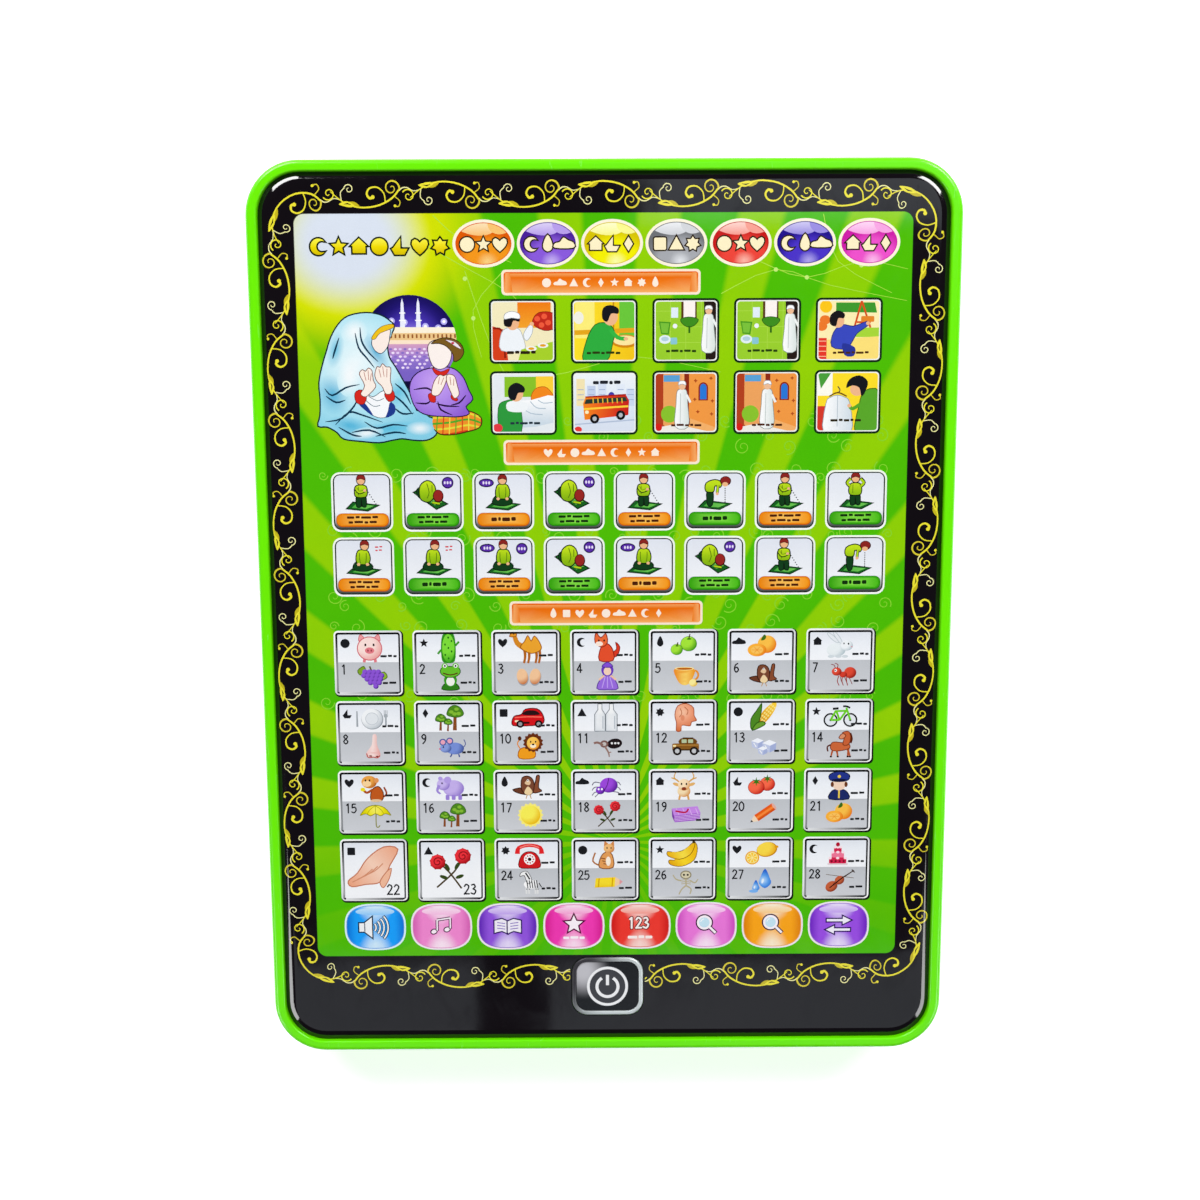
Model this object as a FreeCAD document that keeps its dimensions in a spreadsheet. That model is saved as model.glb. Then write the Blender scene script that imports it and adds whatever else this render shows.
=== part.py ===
import FreeCAD, Part
import Sketcher
import math
import os
from FreeCAD import Placement, Rotation, Vector

# A children's learning tablet, lying on its back: X across the face, Y up the face, Z out of the
# face. The origin is under the middle of the case, on the plane that its four moulded feet stand on.
# All sizes are in millimetres.

doc = FreeCAD.newDocument("LearningTablet")

# ---------------------------------------------------------------------------------------------
# Driving dimensions
# ---------------------------------------------------------------------------------------------

SIZES = {
    # case
    "case_width": 184.0,
    "case_height": 240.0,
    "corner_radius": 14.0,
    "wall": 2.2,
    "foot_height": 0.6,
    "skin": 1.8,
    "parting_level": 9.0,
    "rim_level": 18.0,
    "lip_width": 3.0,
    "recess_floor": 15.8,
    "deck_level": 17.2,
    "deck_thickness": 2.2,
    "cavity_roof": 13.8,
    "back_edge_radius": 3.5,
    "front_edge_radius": 1.4,
    "lip_edge_radius": 0.5,
    "tongue_height": 1.2,
    "tongue_inset": 1.3,
    "tongue_gap": 0.1,
    # printed film
    "film_thickness": 0.4,
    "film_gap": 0.15,
    "film_edge_radius": 6.0,
    "film_edge_run": 3.5,
    "deck_gap": 0.3,
    "deck_step_wall": 1.6,
    # membrane switch
    "panel_width": 158.4,
    "panel_height": 199.3,
    "panel_y": 6.85,
    "panel_radius": 2.5,
    "sheet_thickness": 0.12,
    "spacer_thickness": 0.16,
    "pocket_gap": 0.3,
    "zone_hole": 9.0,
    "contact_diameter": 7.0,
    "contact_thickness": 0.05,
    # touch zones: pitch, first column, row
    "oval_pitch": 16.5,
    "oval_first": -31.1,
    "oval_row": 98.8,
    "picture_pitch": 21.1,
    "picture_first": -21.3,
    "picture_row": 76.6,
    "picture_step": 18.4,
    "pose_pitch": 18.55,
    "pose_first": -64.0,
    "pose_row": 32.6,
    "pose_step": 17.2,
    "letter_pitch": 21.0,
    "letter_first": -63.5,
    "letter_row": -10.5,
    "letter_step": 19.15,
    "mode_pitch": 18.15,
    "mode_first": -63.6,
    "mode_row": -84.2,
    # power key
    "key_width": 19.6,
    "key_height": 16.6,
    "key_radius": 4.4,
    "key_y": -101.5,
    "key_gap": 0.2,
    "key_wall": 2.4,
    "key_face_level": 17.7,
    "key_roof": 15.9,
    "key_rim_width": 1.15,
    "key_rim_level": 16.9,
    "key_flange": 1.2,
    "key_flange_thickness": 1.0,
    "key_travel": 0.3,
    "switch_body": 6.0,
    "switch_height": 3.4,
    "switch_stem": 3.4,
    "switch_reach": 4.9,
    "key_post": 4.4,
    # circuit board
    "board_width": 74.0,
    "board_height": 26.0,
    "board_thickness": 1.2,
    "board_y": -101.0,
    "board_level": 9.2,
    "board_screw_x": 33.0,
    "board_screw_inset": 3.0,
    "board_boss": 5.6,
    "board_pilot": 2.1,
    "board_pilot_depth": 4.0,
    "tail_x": 21.0,
    "tail_width": 14.0,
    "tail_slot": 2.0,
    "tail_thickness": 0.14,
    "clamp_width": 23.0,
    "clamp_depth": 4.0,
    "clamp_height": 2.0,
    "clamp_y": -99.0,
    # case screws
    "case_screw_x": 79.0,
    "case_screw_y": 107.0,
    "case_screw_shank": 2.6,
    "case_screw_head": 5.0,
    "case_screw_length": 8.0,
    "tower_diameter": 8.0,
    "tower_top": 7.0,
    "tower_seat": 4.4,
    "boss_diameter": 6.4,
    "boss_depth": 5.8,
    "foot_diameter": 10.0,
    "foot_x": 66.0,
    "foot_y": 95.0,
    # battery bay and door
    "door_y": -70.0,
    "door_width": 58.0,
    "door_length": 46.2,
    "door_gap": 0.25,
    "door_radius": 1.6,
    "ledge": 3.0,
    "ledge_height": 1.6,
    "ledge_margin": 2.0,
    "door_boss": 7.0,
    "door_boss_height": 6.6,
    "door_pilot": 3.4,
    "ridge_width": 16.0,
    "ridge_taper": 3.0,
    "ridge_y": 27.0,
    "ridge_pitch": 2.4,
    "ridge_height": 0.3,
    "bay_length": 52.0,
    "bay_depth": 33.6,
    "bay_wall": 1.6,
    "bay_roof": 13.1,
    "bay_roof_thickness": 1.0,
    "tab_x": 16.0,
    "tab_width": 7.0,
    "tab_reach": 2.4,
    "tab_thickness": 1.2,
    "door_screw_y": 42.2,
    "door_screw_shank": 2.5,
    "door_screw_head": 4.6,
    "collar_diameter": 7.6,
    "collar_height": 1.2,
    "cell_diameter": 10.5,
    "cell_length": 44.5,
    "cell_pitch": 11.1,
    "cell_level": 7.75,
    "nub_diameter": 3.8,
    "nub_length": 0.8,
    "contact_plate": 0.4,
    "contact_plate_size": 8.4,
    "spring_wire": 0.5,
    "spring_radius": 2.6,
    # speaker
    "speaker_y": 62.0,
    "speaker_radius": 18.0,
    "gasket_thickness": 0.5,
    "flange_thickness": 0.8,
    "grille_hole": 2.0,
    "grille_step": 4.0,
    "coil_radius": 4.3,
    "pole_radius": 4.0,
    "gap_radius": 4.6,
    "basket_height": 4.8,
    "pole_plate": 1.0,
    "plate_radius": 8.6,
    "magnet_radius": 10.0,
    "magnet_height": 2.8,
    "yoke_radius": 9.2,
    "speaker_post": 5.0,
    "lead_diameter": 1.2,
}

sheet = doc.addObject("Spreadsheet::Sheet", "Sizes")
for row, (name, number) in enumerate(SIZES.items(), start=1):
    sheet.set(f"A{row}", name)
    sheet.set(f"B{row}", str(number))
    sheet.setAlias(f"B{row}", name)
doc.recompute()


class Size:
    """A length that knows both its value and the expression that gives it from the sheet."""

    def __init__(self, value, text):
        self.value = value
        self.text = text

    def _with(self, other, sign, value):
        right = other.text if isinstance(other, Size) else repr(float(other))
        return Size(value, f"({self.text} {sign} {right})")

    def __add__(self, other):
        return self._with(other, "+", self.value + number_of(other))

    def __sub__(self, other):
        return self._with(other, "-", self.value - number_of(other))

    def __mul__(self, other):
        return self._with(other, "*", self.value * number_of(other))

    def __truediv__(self, other):
        return self._with(other, "/", self.value / number_of(other))

    def __radd__(self, other):
        return as_size(other) + self

    def __rsub__(self, other):
        return as_size(other) - self

    def __rmul__(self, other):
        return as_size(other) * self

    def __neg__(self):
        return as_size(0.0) - self


def number_of(length):
    return length.value if isinstance(length, Size) else float(length)


def as_size(length):
    return length if isinstance(length, Size) else Size(float(length), repr(float(length)))


def size(alias):
    return Size(float(sheet.get(alias)), f"Sizes.{alias}")


def bind(thing, path, length):
    """Sets a property, or one named constraint, to follow the sheet."""
    thing.setExpression(path, as_size(length).text)


def place(thing, x=0.0, y=0.0, z=0.0, rotation=None):
    thing.Placement = Placement(
        Vector(number_of(x), number_of(y), number_of(z)), rotation or Rotation()
    )
    for axis, length in (("x", x), ("y", y), ("z", z)):
        bind(thing, f"Placement.Base.{axis}", length)


# ---------------------------------------------------------------------------------------------
# Sketch, feature and group helpers
# ---------------------------------------------------------------------------------------------


def new_body(name):
    body = doc.addObject("PartDesign::Body", name)
    body.Label = name
    return body


def new_sketch(body, name, plane="XY_Plane", offset=0.0):
    base = next(f for f in body.Origin.OriginFeatures if f.Role == plane)
    sketch = body.newObject("Sketcher::SketchObject", name)
    sketch.AttachmentSupport = [(base, "")]
    sketch.MapMode = "FlatFace"
    sketch.AttachmentOffset = Placement(Vector(0, 0, number_of(offset)), Rotation())
    bind(sketch, "AttachmentOffset.Base.z", offset)
    return sketch


def fix_point(sketch, geometry, point, x, y):
    """Fixes one point of a sketch at (x, y), each bound to the sheet."""
    for kind, length, axis in (("DistanceX", x, -2), ("DistanceY", y, -1)):
        if abs(number_of(length)) < 1e-9:
            sketch.addConstraint(Sketcher.Constraint("PointOnObject", geometry, point, axis))
            continue
        index = sketch.addConstraint(
            Sketcher.Constraint(kind, -1, 1, geometry, point, number_of(length))
        )
        bind(sketch, f"Constraints[{index}]", length)


def circle(sketch, diameter, x=0.0, y=0.0):
    centre = Vector(number_of(x), number_of(y), 0)
    index = sketch.addGeometry(Part.Circle(centre, Vector(0, 0, 1), number_of(diameter) / 2))
    fix_point(sketch, index, 3, x, y)
    dimension = sketch.addConstraint(Sketcher.Constraint("Diameter", index, number_of(diameter)))
    bind(sketch, f"Constraints[{dimension}]", diameter)


def polygon(sketch, points):
    """A closed outline of straight lines, every corner bound to the sheet."""
    at = [Vector(number_of(x), number_of(y), 0) for x, y in points]
    lines = [
        sketch.addGeometry(Part.LineSegment(at[i], at[(i + 1) % len(at)])) for i in range(len(at))
    ]
    for i, line in enumerate(lines):
        following = lines[(i + 1) % len(lines)]
        sketch.addConstraint(Sketcher.Constraint("Coincident", line, 2, following, 1))
    for line, (x, y) in zip(lines, points):
        fix_point(sketch, line, 1, x, y)


def rectangle(sketch, width, height, x=0.0, y=0.0):
    left = as_size(x) - as_size(width) / 2
    right = as_size(x) + as_size(width) / 2
    low = as_size(y) - as_size(height) / 2
    high = as_size(y) + as_size(height) / 2
    polygon(sketch, [(left, low), (right, low), (right, high), (left, high)])


def rounded_rectangle(sketch, width, height, radius, x=0.0, y=0.0):
    """Four lines and four tangent arcs, centred on (x, y)."""
    half_w = number_of(width) / 2
    half_h = number_of(height) / 2
    r = number_of(radius)
    cx = number_of(x)
    cy = number_of(y)
    arcs = []
    for quarter, (sx, sy) in enumerate(((1, 1), (-1, 1), (-1, -1), (1, -1))):
        middle = Vector(cx + sx * (half_w - r), cy + sy * (half_h - r), 0)
        ring = Part.Circle(middle, Vector(0, 0, 1), r)
        start = quarter * math.pi / 2
        arcs.append(sketch.addGeometry(Part.ArcOfCircle(ring, start, start + math.pi / 2)))
    corners = [
        (Vector(cx + half_w - r, cy + half_h, 0), Vector(cx - half_w + r, cy + half_h, 0)),
        (Vector(cx - half_w, cy + half_h - r, 0), Vector(cx - half_w, cy - half_h + r, 0)),
        (Vector(cx - half_w + r, cy - half_h, 0), Vector(cx + half_w - r, cy - half_h, 0)),
        (Vector(cx + half_w, cy - half_h + r, 0), Vector(cx + half_w, cy + half_h - r, 0)),
    ]
    lines = [sketch.addGeometry(Part.LineSegment(a, b)) for a, b in corners]
    for i in range(4):
        sketch.addConstraint(Sketcher.Constraint("Tangent", arcs[i], 2, lines[i], 1))
        sketch.addConstraint(Sketcher.Constraint("Tangent", lines[i], 2, arcs[(i + 1) % 4], 1))
    for i in range(1, 4):
        sketch.addConstraint(Sketcher.Constraint("Equal", arcs[0], arcs[i]))
    sketch.addConstraint(Sketcher.Constraint("Horizontal", lines[0]))
    sketch.addConstraint(Sketcher.Constraint("Vertical", lines[1]))
    radius_at = sketch.addConstraint(Sketcher.Constraint("Radius", arcs[0], r))
    bind(sketch, f"Constraints[{radius_at}]", radius)
    inner_x = as_size(width) / 2 - radius
    inner_y = as_size(height) / 2 - radius
    fix_point(sketch, arcs[0], 3, as_size(x) + inner_x, as_size(y) + inner_y)
    fix_point(sketch, arcs[2], 3, as_size(x) - inner_x, as_size(y) - inner_y)


def pad(body, sketch, length):
    feature = body.newObject("PartDesign::Pad", sketch.Name + "_pad")
    feature.Profile = sketch
    bind(feature, "Length", length)
    sketch.Visibility = False
    doc.recompute()


def pocket(body, sketch, length, upward=False):
    """Cuts down from the sketch, or up from it, and makes sure that something was cut."""
    before = body.Shape.Volume
    feature = body.newObject("PartDesign::Pocket", sketch.Name + "_pocket")
    feature.Profile = sketch
    bind(feature, "Length", length)
    feature.Reversed = upward
    sketch.Visibility = False
    doc.recompute()
    if not body.Shape.Volume < before - 1e-6:
        raise RuntimeError(f"{feature.Name} cuts nothing")


def revolve(body, sketch):
    feature = body.newObject("PartDesign::Revolution", sketch.Name + "_revolution")
    feature.Profile = sketch
    feature.ReferenceAxis = (sketch, ["V_Axis"])
    feature.Angle = 360.0
    sketch.Visibility = False
    doc.recompute()


def outline_edges(shape, level, width, height, y=0.0):
    """Names of the flat edges at one level that follow an outline of this width and height."""
    names = []
    for index, edge in enumerate(shape.Edges, start=1):
        limits = edge.BoundBox
        flat = max(abs(limits.ZMin - number_of(level)), abs(limits.ZMax - number_of(level))) < 1e-4
        reach_x = max(abs(limits.XMin), abs(limits.XMax))
        reach_y = max(abs(limits.YMin - number_of(y)), abs(limits.YMax - number_of(y)))
        on_side = abs(reach_x - number_of(width) / 2) < 0.02
        on_end = abs(reach_y - number_of(height) / 2) < 0.02
        if flat and (on_side or on_end):
            names.append(f"Edge{index}")
    return names


def case_edges(shape, level, inset):
    width = size("case_width") - 2 * as_size(inset)
    height = size("case_height") - 2 * as_size(inset)
    return outline_edges(shape, level, width, height)


def fillet(body, name, edges, radius):
    base = body.Tip
    feature = body.newObject("PartDesign::Fillet", name)
    feature.Base = (base, edges)
    bind(feature, "Radius", radius)
    doc.recompute()


def tube(name, outer, inner, z, height):
    """A round ring, or a disc where inner is None, standing on height z of its own frame."""
    body = new_body(name)
    sketch = new_sketch(body, name + "_ring", offset=z)
    circle(sketch, outer)
    if inner is not None:
        circle(sketch, inner)
    pad(body, sketch, height)
    return body


def box(name, width, depth, height, x, y, z):
    """A plain block, centred on (x, y) and standing on z."""
    block = doc.addObject("Part::Box", name)
    for path, length in (("Length", width), ("Width", depth), ("Height", height)):
        bind(block, path, length)
    place(block, as_size(x) - as_size(width) / 2, as_size(y) - as_size(depth) / 2, z)
    return block


def cylinder(name, diameter, height, x, y, z, rotation=None):
    rod = doc.addObject("Part::Cylinder", name)
    bind(rod, "Radius", as_size(diameter) / 2)
    bind(rod, "Height", height)
    place(rod, x, y, z, rotation)
    return rod


def cone(name, low_diameter, high_diameter, height, x, y, z, rotation=None):
    tip = doc.addObject("Part::Cone", name)
    bind(tip, "Radius1", as_size(low_diameter) / 2)
    bind(tip, "Radius2", as_size(high_diameter) / 2)
    bind(tip, "Height", height)
    place(tip, x, y, z, rotation)
    return tip


def fuse(name, pieces):
    union = doc.addObject("Part::MultiFuse", name)
    union.Shapes = pieces
    union.Refine = True
    return union


def cut(name, base, tool):
    difference = doc.addObject("Part::Cut", name)
    difference.Base = base
    difference.Tool = tool
    return difference


def group(name, pieces):
    """Several separate solids kept as one sub-part."""
    compound = doc.addObject("Part::Compound", name)
    compound.Links = pieces
    compound.Label = name
    return compound


def screw(name, x, y, seat, head, head_height, shank, length, up=True):
    """A pan-head screw with a cross recess and a pointed end. Its head is under the seat, and
    its shank points up from it, or the other way round where up is False."""
    sign = 1 if up else -1
    turn = Rotation() if up else Rotation(Vector(1, 0, 0), 180)
    arm = as_size(head) * 0.62
    slot = as_size(head) * 0.14
    depth = as_size(head_height) * 0.55
    base = as_size(seat) - sign * as_size(head_height)
    crown = cylinder(name + "_crown", head, head_height, x, y, base, turn)
    low = base if up else base - depth
    recess = fuse(
        name + "_recess",
        [
            box(name + "_slot_a", arm, slot, depth, x, y, low),
            box(name + "_slot_b", slot, arm, depth, x, y, low),
        ],
    )
    point = as_size(shank) * 0.7
    straight = as_size(length) - point
    body_of_screw = cylinder(name + "_shank", shank, straight, x, y, seat, turn)
    end = as_size(seat) + sign * straight
    tip = cone(name + "_tip", shank, as_size(shank) * 0.25, point, x, y, end, turn)
    return fuse(name, [cut(name + "_head", crown, recess), body_of_screw, tip])


# ---------------------------------------------------------------------------------------------
# Levels and outlines that several sub-parts share
# ---------------------------------------------------------------------------------------------

floor_level = size("foot_height")
floor_top = floor_level + size("skin")
film_level = size("deck_level") + size("film_thickness")
deck_roof = size("deck_level") - size("deck_thickness")
sheet_level = size("deck_level") - 2 * size("sheet_thickness") - size("spacer_thickness")
spacer_level = sheet_level + size("sheet_thickness")
upper_level = spacer_level + size("spacer_thickness")
board_top = size("board_level") + size("board_thickness")
bay_low = size("door_y") + size("ledge")
bay_middle = bay_low + size("bay_depth") / 2
door_screw_at = size("door_y") + size("door_screw_y")
speaker_seat = floor_top + size("gasket_thickness")

BOARD_SCREWS = ((1, -1), (-1, -1), (-1, 1))
CASE_SCREWS = tuple((sx, sy) for sx in (-1, 1) for sy in (-1, 0, 1))


def case_outline(sketch, inset):
    rounded_rectangle(
        sketch,
        size("case_width") - 2 * as_size(inset),
        size("case_height") - 2 * as_size(inset),
        size("corner_radius") - inset,
    )


def touch_zones():
    """The centre of every printed touch zone, row by row."""
    rows = [("oval", 7, 1), ("picture", 5, 2), ("pose", 8, 2), ("letter", 7, 4), ("mode", 8, 1)]
    for kind, columns, lines in rows:
        for line in range(lines):
            for column in range(columns):
                x = size(kind + "_first") + column * size(kind + "_pitch")
                y = size(kind + "_row")
                if line:
                    y = y - line * size(kind + "_step")
                yield x, y


def key_outline(sketch, inset):
    rounded_rectangle(
        sketch,
        size("key_width") - 2 * as_size(inset),
        size("key_height") - 2 * as_size(inset),
        size("key_radius") - inset,
        y=size("key_y"),
    )


def zone_circles(sketch, diameter):
    for x, y in touch_zones():
        circle(sketch, diameter, x, y)


# ---------------------------------------------------------------------------------------------
# Case
# ---------------------------------------------------------------------------------------------


def make_front_shell():
    """Front frame: outer wall, raised lip, and the deck that carries the membrane and the film."""
    body = new_body("front_shell")
    outline = new_sketch(body, "front_outline", offset=size("parting_level"))
    case_outline(outline, 0.0)
    pad(body, outline, size("rim_level") - size("parting_level"))
    recess = new_sketch(body, "front_recess", offset=size("rim_level"))
    case_outline(recess, size("lip_width"))
    pocket(body, recess, size("rim_level") - size("recess_floor"))
    deck_inset = size("lip_width") + size("film_gap") + size("film_edge_run") + size("deck_gap")
    deck = new_sketch(body, "front_deck", offset=size("recess_floor"))
    case_outline(deck, deck_inset)
    pad(body, deck, size("deck_level") - size("recess_floor"))
    cavity = new_sketch(body, "front_cavity", offset=size("parting_level"))
    case_outline(cavity, size("wall"))
    pocket(body, cavity, size("cavity_roof") - size("parting_level"), upward=True)
    core = new_sketch(body, "front_core", offset=size("cavity_roof"))
    case_outline(core, deck_inset + size("deck_step_wall"))
    pocket(body, core, deck_roof - size("cavity_roof"), upward=True)
    rebate = new_sketch(body, "front_rebate", offset=size("parting_level"))
    case_outline(rebate, size("tongue_inset") - size("tongue_gap"))
    pocket(body, rebate, size("tongue_height") + size("tongue_gap"), upward=True)
    sheets = new_sketch(body, "front_sheet_pocket", offset=size("deck_level"))
    rounded_rectangle(
        sheets,
        size("panel_width") + size("pocket_gap"),
        size("panel_height") + size("pocket_gap"),
        size("panel_radius"),
        y=size("panel_y"),
    )
    pocket(body, sheets, size("deck_level") - sheet_level)
    key_hole = new_sketch(body, "front_key_hole", offset=size("deck_level"))
    key_outline(key_hole, -size("key_gap"))
    pocket(body, key_hole, size("deck_thickness"))
    tail_slot = new_sketch(body, "front_tail_slot", offset=size("deck_level"))
    slot_y = size("panel_y") - (size("panel_height") + size("tail_slot")) / 2
    rectangle(tail_slot, size("tail_width") + 1.0, size("tail_slot"), size("tail_x"), slot_y)
    pocket(body, tail_slot, size("deck_thickness"))
    towers = new_sketch(body, "front_bosses", offset=size("tower_top"))
    for sx, sy in CASE_SCREWS:
        circle(towers, size("boss_diameter"), sx * size("case_screw_x"), sy * size("case_screw_y"))
    pad(body, towers, deck_roof - size("tower_top"))
    pilots = new_sketch(body, "front_pilots", offset=size("tower_top"))
    for sx, sy in CASE_SCREWS:
        x = sx * size("case_screw_x")
        circle(pilots, size("case_screw_shank") + 0.1, x, sy * size("case_screw_y"))
    pocket(body, pilots, size("boss_depth"), upward=True)
    posts = new_sketch(body, "front_board_posts", offset=board_top)
    for sx, sy in BOARD_SCREWS:
        x, y = board_screw_at(sx, sy)
        circle(posts, size("board_boss"), x, y)
    pad(body, posts, deck_roof - board_top)
    post_holes = new_sketch(body, "front_board_pilots", offset=board_top)
    for sx, sy in BOARD_SCREWS:
        x, y = board_screw_at(sx, sy)
        circle(post_holes, size("board_pilot"), x, y)
    pocket(body, post_holes, size("board_pilot_depth"), upward=True)
    outer = case_edges(body.Shape, size("rim_level"), 0.0)
    fillet(body, "front_outer_round", outer, size("front_edge_radius"))
    inner = case_edges(body.Shape, size("rim_level"), size("lip_width"))
    fillet(body, "front_inner_round", inner, size("lip_edge_radius"))


def board_screw_at(sx, sy):
    y = size("board_y") + sy * (size("board_height") / 2 - size("board_screw_inset"))
    return sx * size("board_screw_x"), y


def make_back_shell():
    """Back tray with feet, battery bay, door seat, speaker grille and screw towers."""
    body = new_body("back_shell")
    outline = new_sketch(body, "back_outline", offset=floor_level)
    case_outline(outline, 0.0)
    pad(body, outline, size("parting_level") - floor_level)
    fillet(body, "back_round", case_edges(body.Shape, floor_level, 0.0), size("back_edge_radius"))
    cavity = new_sketch(body, "back_cavity", offset=size("parting_level"))
    case_outline(cavity, size("wall"))
    pocket(body, cavity, size("parting_level") - floor_top)
    tongue = new_sketch(body, "back_tongue", offset=size("parting_level"))
    case_outline(tongue, size("tongue_inset"))
    case_outline(tongue, size("wall"))
    pad(body, tongue, size("tongue_height"))
    add_bay(body)
    add_towers(body)
    add_grille(body)
    feet = new_sketch(body, "back_feet")
    for sx in (-1, 1):
        for sy in (-1, 1):
            circle(feet, size("foot_diameter"), sx * size("foot_x"), sy * size("foot_y"))
    pad(body, feet, size("foot_height"))


def add_bay(body):
    """Battery bay: seat for the door, walls and roof, and the boss for the door's screw."""
    ring = new_sketch(body, "bay_ledge", offset=floor_top)
    margin = size("ledge_margin")
    width = size("door_width") + 2 * size("door_gap") + 2 * margin
    length = size("door_length") + 2 * size("door_gap")
    rectangle(ring, width, length + margin, 0.0, size("door_y") + length / 2)
    pad(body, ring, size("ledge_height"))
    block = new_sketch(body, "bay_block", offset=floor_top)
    wall = size("bay_wall")
    rectangle(block, size("bay_length") + 2 * wall, size("bay_depth") + 2 * wall, 0.0, bay_middle)
    pad(body, block, size("bay_roof") + size("bay_roof_thickness") - floor_top)
    boss = new_sketch(body, "bay_boss", offset=floor_top)
    circle(boss, size("door_boss"), 0.0, door_screw_at)
    pad(body, boss, size("door_boss_height"))
    inside = new_sketch(body, "bay_inside", offset=floor_level)
    rectangle(inside, size("bay_length"), size("bay_depth"), 0.0, bay_middle)
    pocket(body, inside, size("bay_roof") - floor_level, upward=True)
    opening = new_sketch(body, "bay_opening", offset=floor_level)
    rounded_rectangle(
        opening,
        size("door_width") + 2 * size("door_gap"),
        length,
        size("door_radius"),
        y=size("door_y") + length / 2,
    )
    pocket(body, opening, size("skin"), upward=True)
    collar = new_sketch(body, "bay_collar", offset=floor_level)
    circle(collar, size("collar_diameter") + 0.6, 0.0, door_screw_at)
    pocket(body, collar, size("skin") + size("collar_height") + 0.15, upward=True)
    pilot = new_sketch(body, "bay_pilot", offset=floor_level)
    circle(pilot, size("door_pilot"), 0.0, door_screw_at)
    pocket(body, pilot, size("skin") + size("door_boss_height") - 0.6, upward=True)
    slots = new_sketch(body, "bay_tab_slots", offset=floor_top)
    slot_depth = size("ledge") + 4.0
    slot_y = bay_low - slot_depth / 2
    for side in (-1, 1):
        rectangle(slots, size("tab_width") + 1.0, slot_depth, side * size("tab_x"), slot_y)
    pocket(body, slots, 2.6, upward=True)
    reach = size("bay_length") / 2 + 2 * wall
    wire_hole = new_sketch(body, "bay_wire_holes", plane="YZ_Plane", offset=-reach)
    for step in (-1, 1):
        y = bay_middle + step * size("cell_pitch")
        circle(wire_hole, size("lead_diameter") + 0.4, y, size("cell_level"))
    pocket(body, wire_hole, 2 * reach, upward=True)


def add_towers(body):
    towers = new_sketch(body, "back_towers", offset=floor_top)
    pockets = new_sketch(body, "back_screw_pockets", offset=floor_level)
    holes = new_sketch(body, "back_screw_holes", offset=floor_level)
    for sx, sy in CASE_SCREWS:
        x = sx * size("case_screw_x")
        y = sy * size("case_screw_y")
        circle(towers, size("tower_diameter"), x, y)
        circle(pockets, size("case_screw_head") + 0.6, x, y)
        circle(holes, size("case_screw_shank") + 0.4, x, y)
    pad(body, towers, size("tower_top") - 0.05 - floor_top)
    pocket(body, pockets, size("tower_seat") - floor_level, upward=True)
    pocket(body, holes, size("tower_top") - floor_level, upward=True)


def add_grille(body):
    """Rings of round holes in front of the speaker, and three posts for its screws."""
    grille = new_sketch(body, "back_grille", offset=floor_level)
    circle(grille, size("grille_hole"), 0.0, size("speaker_y"))
    for ring in (1, 2, 3):
        for step in range(6 * ring):
            angle = 2 * math.pi * step / (6 * ring)
            reach = ring * size("grille_step")
            x = reach * math.cos(angle)
            y = size("speaker_y") + reach * math.sin(angle)
            circle(grille, size("grille_hole"), x, y)
    pocket(body, grille, size("skin"), upward=True)
    height = size("gasket_thickness") + size("flange_thickness")
    posts = new_sketch(body, "back_speaker_posts", offset=floor_top)
    pilots = new_sketch(body, "back_speaker_pilots", offset=floor_top + height)
    for x, y in speaker_posts():
        circle(posts, size("speaker_post"), x, y)
        circle(pilots, size("board_pilot"), x, y)
    pad(body, posts, height)
    pocket(body, pilots, height + 0.8)


def speaker_posts():
    reach = size("speaker_radius") + 2.9
    for degrees in (90.0, 210.0, 330.0):
        angle = math.radians(degrees)
        yield reach * math.cos(angle), size("speaker_y") + reach * math.sin(angle)


# ---------------------------------------------------------------------------------------------
# Printed film and membrane switch
# ---------------------------------------------------------------------------------------------


def make_film():
    """Glossy printed film, flat over the deck and formed down into the lip at its edge."""
    grow = size("film_edge_radius") - size("film_edge_run")
    inset = size("lip_width") + size("film_gap")
    outer = dome_block("film_outer", inset - grow, film_level, size("film_edge_radius"))
    inner_round = size("film_edge_radius") - size("film_thickness")
    inner_inset = inset - grow + size("film_thickness")
    inner = dome_block("film_inner", inner_inset, size("deck_level"), inner_round)
    trim = new_body("film_trim")
    outline = new_sketch(trim, "film_outline", offset=floor_level)
    case_outline(outline, inset)
    key_outline(outline, -size("key_gap"))
    pad(trim, outline, size("rim_level"))
    skin = cut("film_skin", outer, inner)
    film = doc.addObject("Part::Common", "printed_film")
    film.Base = trim
    film.Tool = skin
    film.Label = "printed_film"


def dome_block(name, inset, top, radius):
    """A block under the film's surface, its top edge rounded."""
    body = new_body(name)
    low = as_size(top) - size("film_edge_radius") - 1.0
    sketch = new_sketch(body, name + "_outline", offset=low)
    case_outline(sketch, inset)
    pad(body, sketch, as_size(top) - low)
    fillet(body, name + "_round", case_edges(body.Shape, top, inset), radius)
    return body


def make_sheet(name, level, thickness, holes=None):
    """One sheet of the membrane switch, with a hole at every touch zone where holes is given."""
    body = new_body(name)
    outline = new_sketch(body, name + "_outline", offset=level)
    rounded_rectangle(
        outline,
        size("panel_width"),
        size("panel_height"),
        size("panel_radius"),
        y=size("panel_y"),
    )
    if holes is not None:
        zone_circles(outline, holes)
    pad(body, outline, thickness)


def make_contacts(name, level):
    """Printed carbon contact discs, one under each touch zone."""
    body = new_body(name)
    discs = new_sketch(body, name + "_discs", offset=level)
    zone_circles(discs, size("contact_diameter"))
    pad(body, discs, size("contact_thickness"))


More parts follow.
